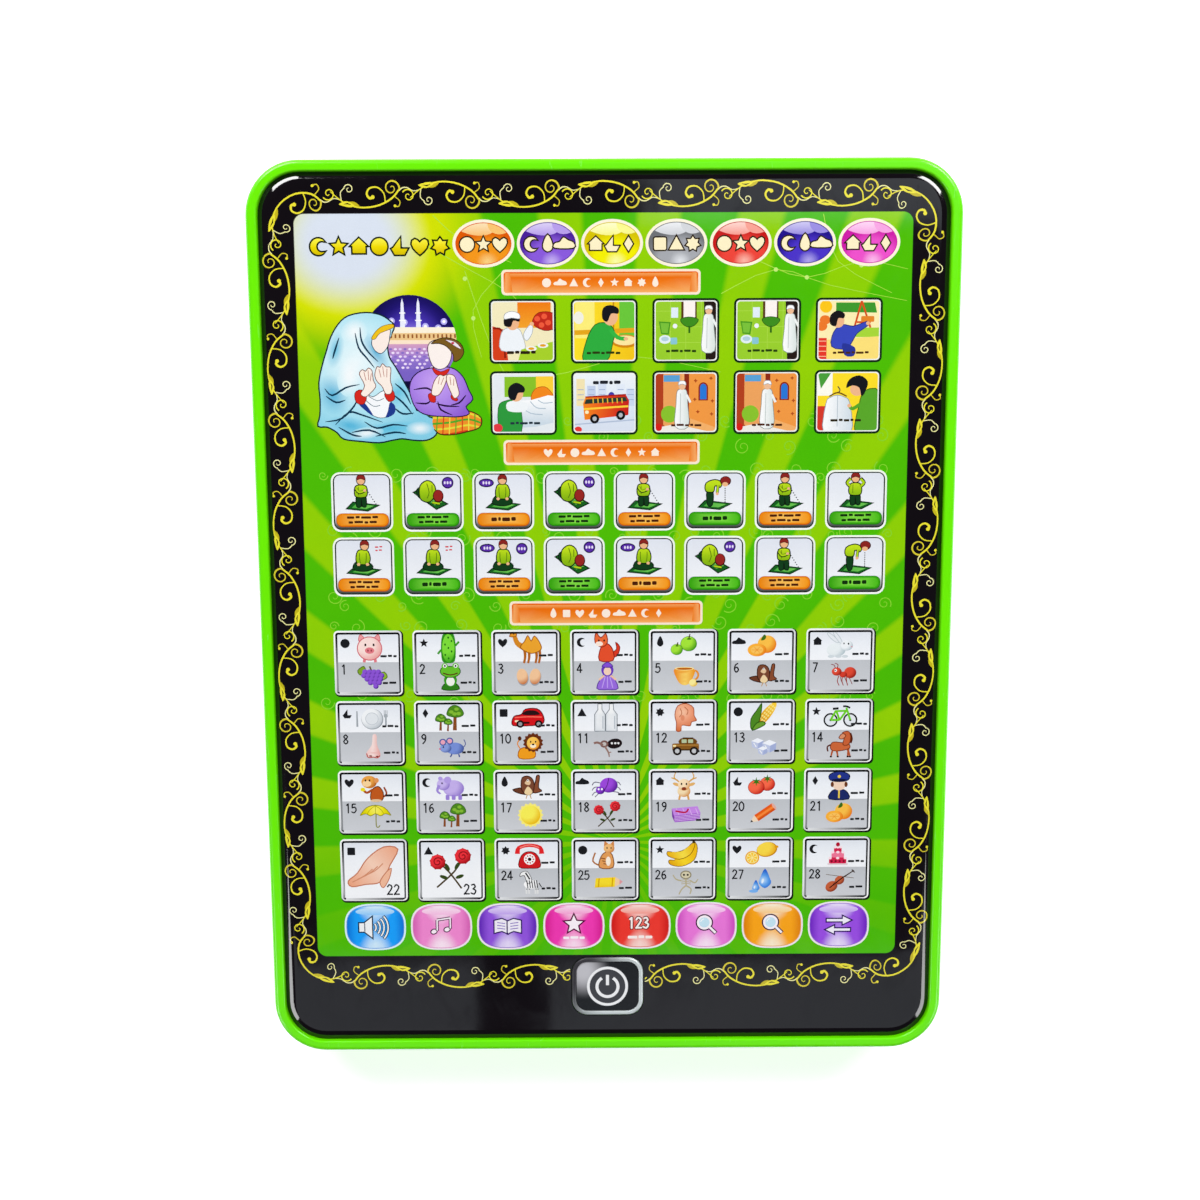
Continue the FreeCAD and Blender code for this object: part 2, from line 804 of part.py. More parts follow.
def make_tail():
    """The lower sheet's flat tail: out of the sheet pocket, down the slot, and over the board."""
    thickness = size("tail_thickness")
    edge = size("panel_y") - size("panel_height") / 2
    drop_y = edge - 1.0
    end_y = size("clamp_y") - size("clamp_depth") / 2 - 1.0
    top = spacer_level
    low = board_top + thickness
    body = new_body("membrane_tail")
    side = size("tail_x") - size("tail_width") / 2
    profile = new_sketch(body, "tail_profile", plane="YZ_Plane", offset=side)
    polygon(
        profile,
        [
            (edge, top),
            (drop_y, top),
            (drop_y, low),
            (end_y, low),
            (end_y, low - thickness),
            (drop_y + thickness, low - thickness),
            (drop_y + thickness, top - thickness),
            (edge, top - thickness),
        ],
    )
    pad(body, profile, size("tail_width"))


# ---------------------------------------------------------------------------------------------
# Power key, switch and circuit board
# ---------------------------------------------------------------------------------------------


def make_power_key():
    """Push cap with a raised face, a retaining flange under the deck and a post on the switch."""
    body = new_body("power_key")
    flange_low = deck_roof - 0.1 - size("key_flange_thickness")
    block = new_sketch(body, "key_block", offset=flange_low)
    key_outline(block, 0.0)
    pad(body, block, size("key_rim_level") - flange_low)
    face = new_sketch(body, "key_face", offset=size("key_rim_level"))
    key_outline(face, size("key_rim_width"))
    pad(body, face, size("key_face_level") - size("key_rim_level"))
    flange = new_sketch(body, "key_flange_outline", offset=flange_low)
    key_outline(flange, -size("key_flange"))
    pad(body, flange, size("key_flange_thickness"))
    hollow = new_sketch(body, "key_hollow", offset=flange_low)
    key_outline(hollow, size("key_wall"))
    pocket(body, hollow, size("key_roof") - flange_low, upward=True)
    stem_top = board_top + size("switch_reach")
    post = new_sketch(body, "key_post", offset=stem_top)
    circle(post, size("key_post"), 0.0, size("key_y"))
    pad(body, post, size("key_roof") - stem_top)
    width = size("key_width") - 2 * size("key_rim_width")
    height = size("key_height") - 2 * size("key_rim_width")
    top = outline_edges(body.Shape, size("key_face_level"), width, height, size("key_y"))
    fillet(body, "key_face_round", top, 0.25)


def make_key_rim():
    """Bright bevelled ring pressed round the key's face."""
    body = new_body("power_key_rim")
    ring = new_sketch(body, "rim_outline", offset=size("key_rim_level"))
    key_outline(ring, 0.0)
    key_outline(ring, size("key_rim_width"))
    pad(body, ring, size("rim_level") - size("key_rim_level"))
    width = size("key_width")
    height = size("key_height")
    outer = outline_edges(body.Shape, size("rim_level"), width, height, size("key_y"))
    fillet(body, "rim_outer_round", outer, 0.5)
    inner = outline_edges(
        body.Shape,
        size("rim_level"),
        width - 2 * size("key_rim_width"),
        height - 2 * size("key_rim_width"),
        size("key_y"),
    )
    fillet(body, "rim_inner_round", inner, 0.2)


def make_switch():
    """Tactile switch under the key: a square body with a bore, and the stem that moves in it."""
    half = as_size(size("switch_body"))
    body = box("switch_block", half, half, size("switch_height"), 0.0, size("key_y"), board_top)
    bore_depth = 1.0
    bore = cylinder(
        "switch_bore",
        size("switch_stem") + 0.2,
        bore_depth + 1.0,
        0.0,
        size("key_y"),
        board_top + size("switch_height") - bore_depth,
    )
    housing = cut("power_switch_body", body, bore)
    housing.Label = "power_switch_body"
    low = board_top + size("switch_height") - 0.6
    stem_height = board_top + size("switch_reach") - low
    stem = tube("power_switch_stem", size("switch_stem"), None, low, stem_height)
    place(stem, 0.0, size("key_y"), 0.0)


def make_board():
    """Circuit board with its screw holes and the two holes of the tail clamp."""
    body = new_body("main_board")
    sketch = new_sketch(body, "board_outline", offset=size("board_level"))
    rounded_rectangle(sketch, size("board_width"), size("board_height"), 1.5, y=size("board_y"))
    for sx, sy in BOARD_SCREWS:
        x, y = board_screw_at(sx, sy)
        circle(sketch, 2.4, x, y)
    for x in clamp_screws():
        circle(sketch, 2.0, x, size("clamp_y"))
    pad(body, sketch, size("board_thickness"))


def clamp_screws():
    reach = size("clamp_width") / 2 - 2.0
    return [size("tail_x") - reach, size("tail_x") + reach]


def make_clamp():
    """Bar that presses the tail onto the board's contacts."""
    body = new_body("tail_clamp_bar")
    level = board_top + size("tail_thickness")
    sketch = new_sketch(body, "clamp_outline", offset=level)
    rounded_rectangle(
        sketch,
        size("clamp_width"),
        size("clamp_depth"),
        1.0,
        size("tail_x"),
        size("clamp_y"),
    )
    for x in clamp_screws():
        circle(sketch, 1.7, x, size("clamp_y"))
    pad(body, sketch, size("clamp_height"))


def make_components():
    """What is soldered to the back of the board: chip, capacitors, resistors and crystal."""
    level = size("board_level")
    chip = doc.addObject("Part::Ellipsoid", "chip_dome")
    chip.Radius1 = 1.6
    chip.Radius2 = 7.0
    chip.Radius3 = 7.0
    place(chip, -8.0, size("board_y") - 3.0, level)
    keep = box("chip_keep", 20.0, 20.0, 3.0, -8.0, size("board_y") - 3.0, level - 3.0)
    dome = doc.addObject("Part::Common", "chip_blob")
    dome.Base = chip
    dome.Tool = keep
    dome.Label = "chip_blob"
    cans = []
    for index, (x, y) in enumerate(((-24.0, -4.0), (-24.0, 4.5))):
        at_y = size("board_y") + y
        can = cylinder(f"can_{index}", 5.0, 5.4, x, at_y, level - 5.4)
        groove = doc.addObject("Part::Torus", f"can_groove_{index}")
        groove.Radius1 = 2.75
        groove.Radius2 = 0.45
        place(groove, x, at_y, level - 1.3)
        cans.append(cut(f"can_body_{index}", can, groove))
    group("capacitors", cans)
    chips = []
    for row in range(2):
        for column in range(5):
            x = 6.0 + 4.0 * column
            y = size("board_y") - 3.0 - 4.0 * row
            chips.append(box(f"resistor_{row}_{column}", 2.0, 1.25, 0.55, x, y, level - 0.55))
    group("resistors", chips)
    crystal = new_body("crystal")
    sketch = new_sketch(crystal, "crystal_outline", offset=level - 3.0)
    rounded_rectangle(sketch, 8.0, 3.6, 1.7, -8.0, size("board_y") + 8.5)
    pad(crystal, sketch, 3.0)


# ---------------------------------------------------------------------------------------------
# Battery bay contents and door
# ---------------------------------------------------------------------------------------------


def make_door():
    """Battery door: plate, two hooked tabs, collar with a screw seat, and grip ridges."""
    body = new_body("battery_door")
    low = size("door_y") + size("door_gap")
    plate = new_sketch(body, "door_plate", offset=floor_level)
    rounded_rectangle(
        plate,
        size("door_width"),
        size("door_length"),
        size("door_radius"),
        y=low + size("door_length") / 2,
    )
    pad(body, plate, size("skin"))
    roots = new_sketch(body, "door_tab_roots", offset=floor_top)
    tabs = new_sketch(body, "door_tabs", offset=floor_top + 0.1)
    root_depth = 2.4
    tab_depth = size("tab_reach") + size("door_gap") + root_depth
    for side in (-1, 1):
        x = side * size("tab_x")
        rectangle(roots, size("tab_width"), root_depth, x, low + root_depth / 2)
        rectangle(tabs, size("tab_width"), tab_depth, x, low + root_depth - tab_depth / 2)
    pad(body, roots, size("tab_thickness"))
    pad(body, tabs, size("tab_thickness") - 0.1)
    collar = new_sketch(body, "door_collar", offset=floor_top)
    circle(collar, size("collar_diameter"), 0.0, door_screw_at)
    pad(body, collar, size("collar_height"))
    seat = new_sketch(body, "door_screw_seat", offset=floor_level)
    circle(seat, size("door_screw_head") + 0.6, 0.0, door_screw_at)
    pocket(body, seat, 1.6, upward=True)
    hole = new_sketch(body, "door_screw_hole", offset=floor_level)
    circle(hole, size("door_screw_shank") + 0.4, 0.0, door_screw_at)
    pocket(body, hole, size("skin") + size("collar_height"), upward=True)
    ridges = new_sketch(body, "door_ridges", offset=floor_level - size("ridge_height"))
    for index in range(4):
        width = size("ridge_width") - index * size("ridge_taper")
        y = low + size("ridge_y") + index * size("ridge_pitch")
        rectangle(ridges, width, 0.8, 0.0, y)
    pad(body, ridges, size("ridge_height"))


def make_door_screw():
    driver = screw(
        "battery_door_screw",
        0.0,
        door_screw_at,
        floor_level + 1.6,
        size("door_screw_head"),
        1.3,
        size("door_screw_shank"),
        4.4,
    )
    driver.Label = "battery_door_screw"


def make_cells():
    """Three AAA cells side by side, the middle one the other way round."""
    cells = []
    reach = size("bay_length") / 2 - size("contact_plate") - 0.1
    can_length = size("cell_length") - size("nub_length")
    for index, way in enumerate((1, -1, 1)):
        y = bay_middle + (index - 1) * size("cell_pitch")
        turn = Rotation(Vector(0, 1, 0), 90 * way)
        start = way * (reach - size("cell_length"))
        nub = start + way * can_length
        level = size("cell_level")
        wide = size("cell_diameter")
        narrow = size("nub_diameter")
        can = cylinder(f"cell_can_{index}", wide, can_length, start, y, level, turn)
        tip = cylinder(f"cell_nub_{index}", narrow, size("nub_length"), nub, y, level, turn)
        cells.append(fuse(f"cell_{index}", [can, tip]))
    group("battery_cells", cells)


def make_contact_plates():
    """Spring-steel plates in the ends of the bay: a single and a bridging one at each end."""
    thickness = size("contact_plate")
    square = size("contact_plate_size")
    level = size("cell_level") - square / 2
    plates = []
    for side in (-1, 1):
        x = side * (size("bay_length") / 2 - thickness / 2 - 0.05)
        single = bay_middle + side * size("cell_pitch")
        bridge = bay_middle - side * size("cell_pitch") / 2
        name = "left" if side < 0 else "right"
        wide = size("cell_pitch") + square
        plates.append(box(f"plate_single_{name}", thickness, square, square, x, single, level))
        plates.append(box(f"plate_bridge_{name}", thickness, wide, square, x, bridge, level))
    group("battery_contact_plates", plates)


def wire_section(wire, radius):
    """The wire's section where its coil starts: eight flats with the area of the round wire."""
    corner = wire / 2 * math.sqrt(math.pi / (2 * math.sqrt(2)))
    points = []
    for step in range(8):
        angle = (step + 0.5) * math.pi / 4
        points.append(Vector(radius + corner * math.cos(angle), 0, corner * math.sin(angle)))
    return Part.makePolygon(points + points[:1])


def make_springs():
    """Coil springs that press on the flat end of each cell."""
    wire = size("spring_wire").value
    radius = size("spring_radius").value
    turns = 5
    reach = size("bay_length").value / 2 - size("contact_plate").value - 0.1
    height = 2 * reach - size("cell_length").value - wire - 0.1
    helix = Part.makeHelix(height / turns, height, radius)
    coil = Part.Wire(helix).makePipeShell([wire_section(wire, radius)], True, True)
    springs = []
    for index, way in enumerate((1, -1, 1)):
        spring = doc.addObject("Part::Feature", f"battery_spring_{index}")
        spring.Shape = coil
        y = bay_middle + (index - 1) * size("cell_pitch")
        x = -way * (reach - wire / 2 - 0.05)
        place(spring, x, y, size("cell_level"), Rotation(Vector(0, 1, 0), 90 * way))
        springs.append(spring)
    group("battery_springs", springs)


# ---------------------------------------------------------------------------------------------
# Speaker, facing the grille
# ---------------------------------------------------------------------------------------------


def turned_part(name, points):
    """A round part from its half section: (radius, height) corners about the speaker's axis."""
    body = new_body(name)
    sketch = new_sketch(body, name + "_section", plane="XZ_Plane")
    polygon(sketch, points)
    revolve(body, sketch)
    place(body, 0.0, size("speaker_y"), 0.0)


def make_speaker():
    rim = size("speaker_radius")
    seat = speaker_seat
    flange = size("flange_thickness")
    gasket = tube("speaker_gasket", 2 * rim - 0.6, 2 * rim - 6.0, floor_top, size("gasket_thickness"))
    place(gasket, 0.0, size("speaker_y"), 0.0)
    turned_part(
        "speaker_basket",
        [
            (rim - 3.0, seat),
            (rim, seat),
            (rim, seat + flange),
            (rim - 2.2, seat + flange),
            (rim - 2.2, seat + 2.4),
            (size("magnet_radius") + 1.6, seat + size("basket_height")),
            (7.0, seat + size("basket_height")),
            (7.0, seat + size("basket_height") - 0.8),
            (size("magnet_radius") + 1.1, seat + size("basket_height") - 0.8),
            (rim - 3.0, seat + 2.2),
        ],
    )
    plate_low = seat + size("basket_height")
    magnet_low = plate_low + size("pole_plate")
    yoke_low = magnet_low + size("magnet_height")
    plate = ring_section(size("gap_radius"), size("plate_radius"), plate_low, size("pole_plate"))
    turned_part("speaker_top_plate", plate)
    magnet = ring_section(5.6, size("magnet_radius"), magnet_low, size("magnet_height"))
    turned_part("speaker_magnet", magnet)
    turned_part(
        "speaker_yoke",
        [
            (0.0, plate_low),
            (size("pole_radius"), plate_low),
            (size("pole_radius"), yoke_low),
            (size("yoke_radius"), yoke_low),
            (size("yoke_radius"), yoke_low + size("pole_plate")),
            (0.0, yoke_low + size("pole_plate")),
        ],
    )
    coil = size("coil_radius")
    turned_part("voice_coil", ring_section(coil - 0.15, coil + 0.12, seat + 3.7, 3.9))
    edge = rim - 3.6
    turned_part(
        "speaker_cone",
        [
            (0.0, seat + 2.0),
            (2.4, seat + 2.3),
            (coil + 0.14, seat + 3.3),
            (edge - 2.4, seat + 0.9),
            (edge - 1.6, seat + 1.3),
            (edge - 0.8, seat + 1.3),
            (edge, seat + 0.9),
            (edge, seat + 1.3),
            (edge - 0.7, seat + 1.7),
            (edge - 1.7, seat + 1.7),
            (edge - 2.5, seat + 1.3),
            (coil + 0.14, seat + 3.7),
            (2.3, seat + 2.7),
            (0.0, seat + 2.4),
        ],
    )
    box("speaker_terminals", 5.0, 8.0, 1.0, rim - 5.2, size("speaker_y"), plate_low)
    screws = []
    post_top = seat + flange
    for index, (x, y) in enumerate(speaker_posts()):
        name = f"speaker_screw_{index}"
        screws.append(screw(name, x, y, post_top, 7.6, 1.2, 2.0, 2.0, up=False))
    group("speaker_screws", screws)


def ring_section(inner, outer, low, height):
    high = as_size(low) + height
    return [(inner, low), (outer, low), (outer, high), (inner, high)]


# ---------------------------------------------------------------------------------------------
# Fasteners and leads
# ---------------------------------------------------------------------------------------------


def make_screws():
    case = []
    for index, (sx, sy) in enumerate(CASE_SCREWS):
        case.append(
            screw(
                f"case_screw_{index}",
                sx * size("case_screw_x"),
                sy * size("case_screw_y"),
                size("tower_seat"),
                size("case_screw_head"),
                1.8,
                size("case_screw_shank"),
                size("case_screw_length"),
            )
        )
    group("case_screws", case)
    board = []
    for index, (sx, sy) in enumerate(BOARD_SCREWS):
        x, y = board_screw_at(sx, sy)
        board.append(screw(f"board_screw_{index}", x, y, size("board_level"), 4.0, 1.3, 2.0, 5.0))
    group("board_screws", board)
    clamp = []
    y = size("clamp_y")
    for index, x in enumerate(clamp_screws()):
        clamp.append(screw(f"clamp_screw_{index}", x, y, size("board_level"), 3.2, 1.0, 1.6, 3.1))
    group("tail_clamp_screws", clamp)


def rounded_path(points, radius):
    """Straight runs joined by tangent arcs of one radius."""
    edges = []
    start = points[0]
    for corner, following in zip(points[1:-1], points[2:]):
        before = (corner - start).normalize()
        after = (following - corner).normalize()
        turn = before.getAngle(after)
        back = radius * math.tan(turn / 2)
        entry = corner - before * back
        leave = corner + after * back
        inward = (after - before).normalize()
        middle = corner + inward * (radius / math.cos(turn / 2) - radius)
        edges.append(Part.LineSegment(start, entry).toShape())
        edges.append(Part.Arc(entry, middle, leave).toShape())
        start = leave
    edges.append(Part.LineSegment(start, points[-1]).toShape())
    return Part.Wire(edges)


def make_lead(name, routes, radius):
    """Insulated wires inside the case, each along its own route."""
    wires = []
    for route in routes:
        points = [Vector(*[number_of(n) for n in point]) for point in route]
        path = rounded_path(points, radius)
        direction = (points[1] - points[0]).normalize()
        profile = Part.Wire(Part.makeCircle(size("lead_diameter").value / 2, points[0], direction))
        wires.append(path.makePipeShell([profile], True, False))
    feature = doc.addObject("Part::Feature", name)
    feature.Shape = wires[0] if len(wires) == 1 else Part.makeCompound(wires)
    feature.Label = name


def make_leads():
    level = size("cell_level")
    wall_x = size("bay_length") / 2 - 0.05
    board_y = size("board_y")
    under = size("board_level") - 0.05
    low = 5.5
    left_y = bay_middle - size("cell_pitch")
    right_y = bay_middle + size("cell_pitch")
    black = [
        (-wall_x, left_y, level),
        (-37.0, left_y, level),
        (-37.0, board_y + 18.0, low),
        (-29.0, board_y + 4.0, low),
        (-29.0, board_y + 4.0, under),
    ]
    red = [
        (wall_x, right_y, level),
        (34.5, right_y, level),
        (34.5, board_y + 22.0, low),
        (27.0, board_y - 2.5, low),
        (27.0, board_y - 2.5, under),
    ]
    make_lead("battery_lead_black", [black], 2.4)
    make_lead("battery_lead_red", [red], 2.4)
    terminal_x = size("speaker_radius") - 5.2 + 2.5
    terminal_z = speaker_seat + size("basket_height") + 0.5
    routes = []
    for side in (-1, 1):
        y = size("speaker_y") - 2.0 * side
        far = 46.0 - 1.2 * side
        end_x = 33.5 - 1.5 * side
        routes.append(
            [
                (terminal_x, y, terminal_z),
                (28.0 - 1.5 * side, y, terminal_z),
                (far, size("speaker_y") - 30.0, 7.0),
                (far, -72.0, 7.0),
                (end_x, -91.0, 5.0),
                (end_x, -91.0, under),
            ]
        )
    make_lead("speaker_leads", routes, 2.4)


# ---------------------------------------------------------------------------------------------
# Build, check and write
# ---------------------------------------------------------------------------------------------

NODES = [
    "front_shell",
    "back_shell",
    "printed_film",
    "membrane_upper_sheet",
    "membrane_spacer",
    "membrane_lower_sheet",
    "upper_contacts",
    "lower_contacts",
    "membrane_tail",
    "power_key",
    "power_key_rim",
    "power_switch_body",
    "power_switch_stem",
    "main_board",
    "chip_blob",
    "capacitors",
    "resistors",
    "crystal",
    "tail_clamp_bar",
    "tail_clamp_screws",
    "board_screws",
    "battery_door",
    "battery_door_screw",
    "battery_cells",
    "battery_contact_plates",
    "battery_springs",
    "battery_lead_black",
    "battery_lead_red",
    "speaker_gasket",
    "speaker_basket",
    "speaker_top_plate",
    "speaker_magnet",
    "speaker_yoke",
    "voice_coil",
    "speaker_cone",
    "speaker_terminals",
    "speaker_screws",
    "speaker_leads",
    "case_screws",
]


def build():
    make_front_shell()
    make_back_shell()
    make_film()
    make_sheet("membrane_lower_sheet", sheet_level, size("sheet_thickness"))
    make_sheet("membrane_spacer", spacer_level, size("spacer_thickness"), size("zone_hole"))
    make_sheet("membrane_upper_sheet", upper_level, size("sheet_thickness"))
    make_contacts("lower_contacts", spacer_level)
    make_contacts("upper_contacts", upper_level - size("contact_thickness"))
    make_tail()
    make_power_key()
    make_key_rim()
    make_switch()
    make_board()
    make_clamp()
    make_components()
    make_door()
    make_door_screw()
    make_cells()
    make_contact_plates()
    make_springs()
    make_speaker()
    make_screws()
    make_leads()
    doc.recompute()


def write_parts():
    for thing in doc.Objects:
        if "Invalid" in thing.State or "Error" in thing.State:
            raise RuntimeError(f"{thing.Name} failed: {thing.State}")
    found = {thing.Label: thing for thing in doc.Objects if hasattr(thing, "Shape")}
    for name in NODES:
        shape = found[name].Shape
        if shape.isNull() or not shape.isValid() or not shape.Solids:
            raise RuntimeError(f"{name} has no valid solid")
    os.makedirs("parts", exist_ok=True)
    for name in NODES:
        shape = found[name].Shape
        shape.exportStep(os.path.join("parts", name + ".step"))
        print(name, len(shape.Solids), "solids", round(shape.Volume, 1), "mm3")


build()
write_parts()
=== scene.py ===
import math

import bpy
from mathutils import Matrix, Vector
from mathutils.geometry import delaunay_2d_cdt


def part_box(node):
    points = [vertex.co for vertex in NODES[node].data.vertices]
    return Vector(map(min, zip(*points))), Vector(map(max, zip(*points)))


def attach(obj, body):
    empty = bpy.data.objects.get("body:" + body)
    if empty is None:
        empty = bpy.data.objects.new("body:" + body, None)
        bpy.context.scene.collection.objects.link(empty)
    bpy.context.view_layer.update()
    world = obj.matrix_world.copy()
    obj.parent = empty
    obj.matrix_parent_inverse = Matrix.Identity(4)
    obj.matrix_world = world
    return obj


# A children's learning tablet, lying on its back. CAD nodes and visual pieces share one frame, in
# metres. The printed face is drawn in millimetres, with its origin in the middle of the case.

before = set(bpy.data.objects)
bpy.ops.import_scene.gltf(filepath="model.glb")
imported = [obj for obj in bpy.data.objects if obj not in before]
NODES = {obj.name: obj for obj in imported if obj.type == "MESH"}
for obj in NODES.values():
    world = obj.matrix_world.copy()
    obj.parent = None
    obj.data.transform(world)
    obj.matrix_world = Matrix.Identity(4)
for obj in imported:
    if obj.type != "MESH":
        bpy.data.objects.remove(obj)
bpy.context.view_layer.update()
MM = 0.001


# ---- Layout of the printed face, in millimetres

FILM_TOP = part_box("printed_film")[1].z / MM
FILM_HALF_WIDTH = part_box("printed_film")[1].x / MM
FILM_HALF_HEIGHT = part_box("printed_film")[1].y / MM
FILM_CORNER = 10.85
FILM_ROLL = 6
FILM_ROLL_RUN = 3.5
FILM_IOR = 1.66
KEY_LOW, KEY_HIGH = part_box("power_key_rim")
KEY_Y = (KEY_LOW.y + KEY_HIGH.y) / 2 / MM
KEY_WIDTH = (KEY_HIGH.x - KEY_LOW.x) / MM
KEY_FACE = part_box("power_key")[1].z / MM

PANEL = {"x": -0.25, "y": 7, "width": 158.6, "height": 198.8, "radius": 2.6}
SUN = {"middle": (-66, 99.5), "glow": (17, 38), "core": (9, 22)}
RAYS = {"x": 2, "y": -60, "stretch": 1.25, "count": 33, "first": 8.5, "fade": (-88, -40)}
PRINT_RISE = 0.03
PRINT_DEPTH = 0.02
SWIRL_SINK = 0.012

# touch zones: first column, pitch, row, step
OVAL_ROW = (-31.1, 16.5, 98.8)
PICTURE_ROWS = (-21.3, 21.1, 76.6, 18.4)
POSE_ROWS = (-64, 18.55, 32.6, 17.2)
LETTER_ROWS = (-63.5, 21, -10.5, 19.15)
MODE_ROW = (-63.6, 18.15, -84.2)
BARS = ((-1, 89), (-1, 45.4), (0, 2.8))

# width and height of the parts of each kind of key
LETTER_KEY = {"shadow": (18.5, 18), "rim": (18.1, 17.5), "gap": (17.2, 16.6), "window": (16.2, 15.6)}
POSE_KEY = {"rim": (16.1, 15.7), "gap": (15.1, 14.7), "window": (14.4, 14.1)}
PICTURE_KEY = {"rim": (17.3, 16.5), "frame": (16.2, 15.4), "window": (15.6, 14.8)}
MODE_KEY = {"rim": (16.8, 13.3), "edge": (15.9, 12.4), "face": (15.5, 12)}
OVAL_KEY = {"rim": (7.95, 6.05), "edge": (7.2, 5.3), "face": (7, 5.1)}
BAR = {"rim": (51.3, 6.5), "face": (50.1, 5.3)}
SCENE = (17, 16)


# ---- Colours

WHITE = "FFFFFF"
BLACK = "000000"
CHILD_SKIN = "F2B98C"


def linear(channel):
    return channel / 12.92 if channel <= 0.04045 else ((channel + 0.055) / 1.055) ** 2.4


def rgb(code):
    """A hex colour code as linear red, green, blue and alpha."""
    if isinstance(code, tuple):
        return code
    parts = [int(code[i : i + 2], 16) / 255 for i in (0, 2, 4)]
    return (*[linear(part) for part in parts], 1)


def mixed(one, two, share):
    share = min(max(share, 0), 1)
    return tuple(p + (q - p) * share for p, q in zip(rgb(one), rgb(two)))


def fade(start, end, *codes):
    """A colour that changes evenly from one point to another."""
    along = Vector(end) - Vector(start)

    def colour(x, y):
        share = (Vector((x, y)) - Vector(start)).dot(along) / along.length_squared
        return step_through(codes, share)

    return colour


def glow(x0, y0, reach, *codes, squash=1):
    """A colour that changes evenly outwards from a point."""

    def colour(x, y):
        return step_through(codes, math.hypot(x - x0, (y - y0) * squash) / reach)

    return colour


def patch(under, x0, y0, rx, ry, turn, code, strength):
    """A colour laid softly over another one, strongest in the middle of an oval."""
    c, s = math.cos(math.radians(turn)), math.sin(math.radians(turn))

    def colour(x, y):
        u = ((x - x0) * c + (y - y0) * s) / rx
        v = ((y - y0) * c - (x - x0) * s) / ry
        return mixed(under(x, y), code, strength * max(1 - math.hypot(u, v), 0))

    return colour


def step_through(codes, share):
    share = min(max(share, 0), 0.9999) * (len(codes) - 1)
    index = int(share)
    return mixed(codes[index], codes[index + 1], share - index)


# ---- Outlines, as lists of points in millimetres

def oval(x, y, rx, ry=None, turn=0, count=22):
    ry = rx if ry is None else ry
    c, s = math.cos(math.radians(turn)), math.sin(math.radians(turn))
    points = []
    for i in range(count):
        a = 2 * math.pi * i / count
        u, v = rx * math.cos(a), ry * math.sin(a)
        points.append((x + u * c - v * s, y + u * s + v * c))
    return points


def barrel(x, y, width, height, power):
    """A squarish oval."""
    count = 40
    points = []
    for i in range(count):
        a = 2 * math.pi * i / count
        c, s = math.cos(a), math.sin(a)
        u = math.copysign(abs(c) ** (2 / power), c) * width / 2
        v = math.copysign(abs(s) ** (2 / power), s) * height / 2
        points.append((x + u, y + v))
    return points


def box(x, y, width, height, radius=0, count=4):
    if radius <= 0:
        w, h = width / 2, height / 2
        return [(x - w, y - h), (x + w, y - h), (x + w, y + h), (x - w, y + h)]
    points = []
    for quarter, (sx, sy) in enumerate(((1, 1), (-1, 1), (-1, -1), (1, -1))):
        cx = x + sx * (width / 2 - radius)
        cy = y + sy * (height / 2 - radius)
        for i in range(count + 1):
            a = math.pi / 2 * (quarter + i / count)
            points.append((cx + radius * math.cos(a), cy + radius * math.sin(a)))
    return points


def shifted(points, x, y, scale):
    """Points given about a middle, made larger or smaller and moved to x, y."""
    return [(x + u * scale, y + v * scale) for u, v in points]


def star(x, y, radius, inner=0.45, count=5):
    """A star with one point straight up."""
    points = []
    for i in range(2 * count):
        a = math.pi / 2 + math.pi * i / count
        r = radius * (inner if i % 2 else 1)
        points.append((x + r * math.cos(a), y + r * math.sin(a)))
    return points


def smooth(points, closed=True, steps=3):
    """A curve through the points."""
    count = len(points)
    at = [Vector(p) for p in points]
    out = []
    for i in range(count if closed else count - 1):
        if closed:
            p0, p1, p2, p3 = (at[(i + k) % count] for k in (-1, 0, 1, 2))
        else:
            p0, p1, p2, p3 = (at[min(max(i + k, 0), count - 1)] for k in (-1, 0, 1, 2))
        for k in range(steps):
            t = k / steps
            q = p1 * 2 + (p2 - p0) * t + (p0 * 2 - p1 * 5 + p2 * 4 - p3) * t**2
            q = (q + (p1 * 3 - p0 - p2 * 3 + p3) * t**3) / 2
            out.append(tuple(q))
    if not closed:
        out.append(tuple(at[-1]))
    return out


def spiral(x, y, start_radius, end_radius, start, sweep, count=16):
    points = []
    for i in range(count + 1):
        share = i / count
        r = start_radius + (end_radius - start_radius) * share
        a = math.radians(start + sweep * share)
        points.append((x + r * math.cos(a), y + r * math.sin(a)))
    return points


def ribbon(points, start, end=None, middle=None):
    """The outline of a stroke along points, with its width at the start, the end and the middle."""
    end = start if end is None else end
    middle = (start + end) / 2 if middle is None else middle
    at = [Vector(p) for p in points]
    left, right = [], []
    last = len(at) - 1
    for i, p in enumerate(at):
        way = at[min(i + 1, last)] - at[max(i - 1, 0)]
        if way.length < 1e-9:
            continue
        side = Vector((-way.y, way.x)).normalized()
        t = i / last
        width = start * (1 - t) ** 2 + (4 * middle - start - end) * t * (1 - t) + end * t**2
        width = max(width, 0.03) / 2
        left.append(tuple(p + side * width))
        right.append(tuple(p - side * width))
    return left + right[::-1]


def area(points):
    total = 0
    for (x0, y0), (x1, y1) in zip(points, points[1:] + points[:1]):
        total += x0 * y1 - x1 * y0
    return total / 2


def gap_to(point, outline):
    """Distance from a point to the nearest edge of an outline."""
    nearest = 1e9
    for a, b in zip(outline, outline[1:] + outline[:1]):
        way = b - a
        share = min(max((point - a).dot(way) / max(way.length_squared, 1e-12), 0), 1)
        nearest = min(nearest, (point - a - way * share).length)
    return nearest


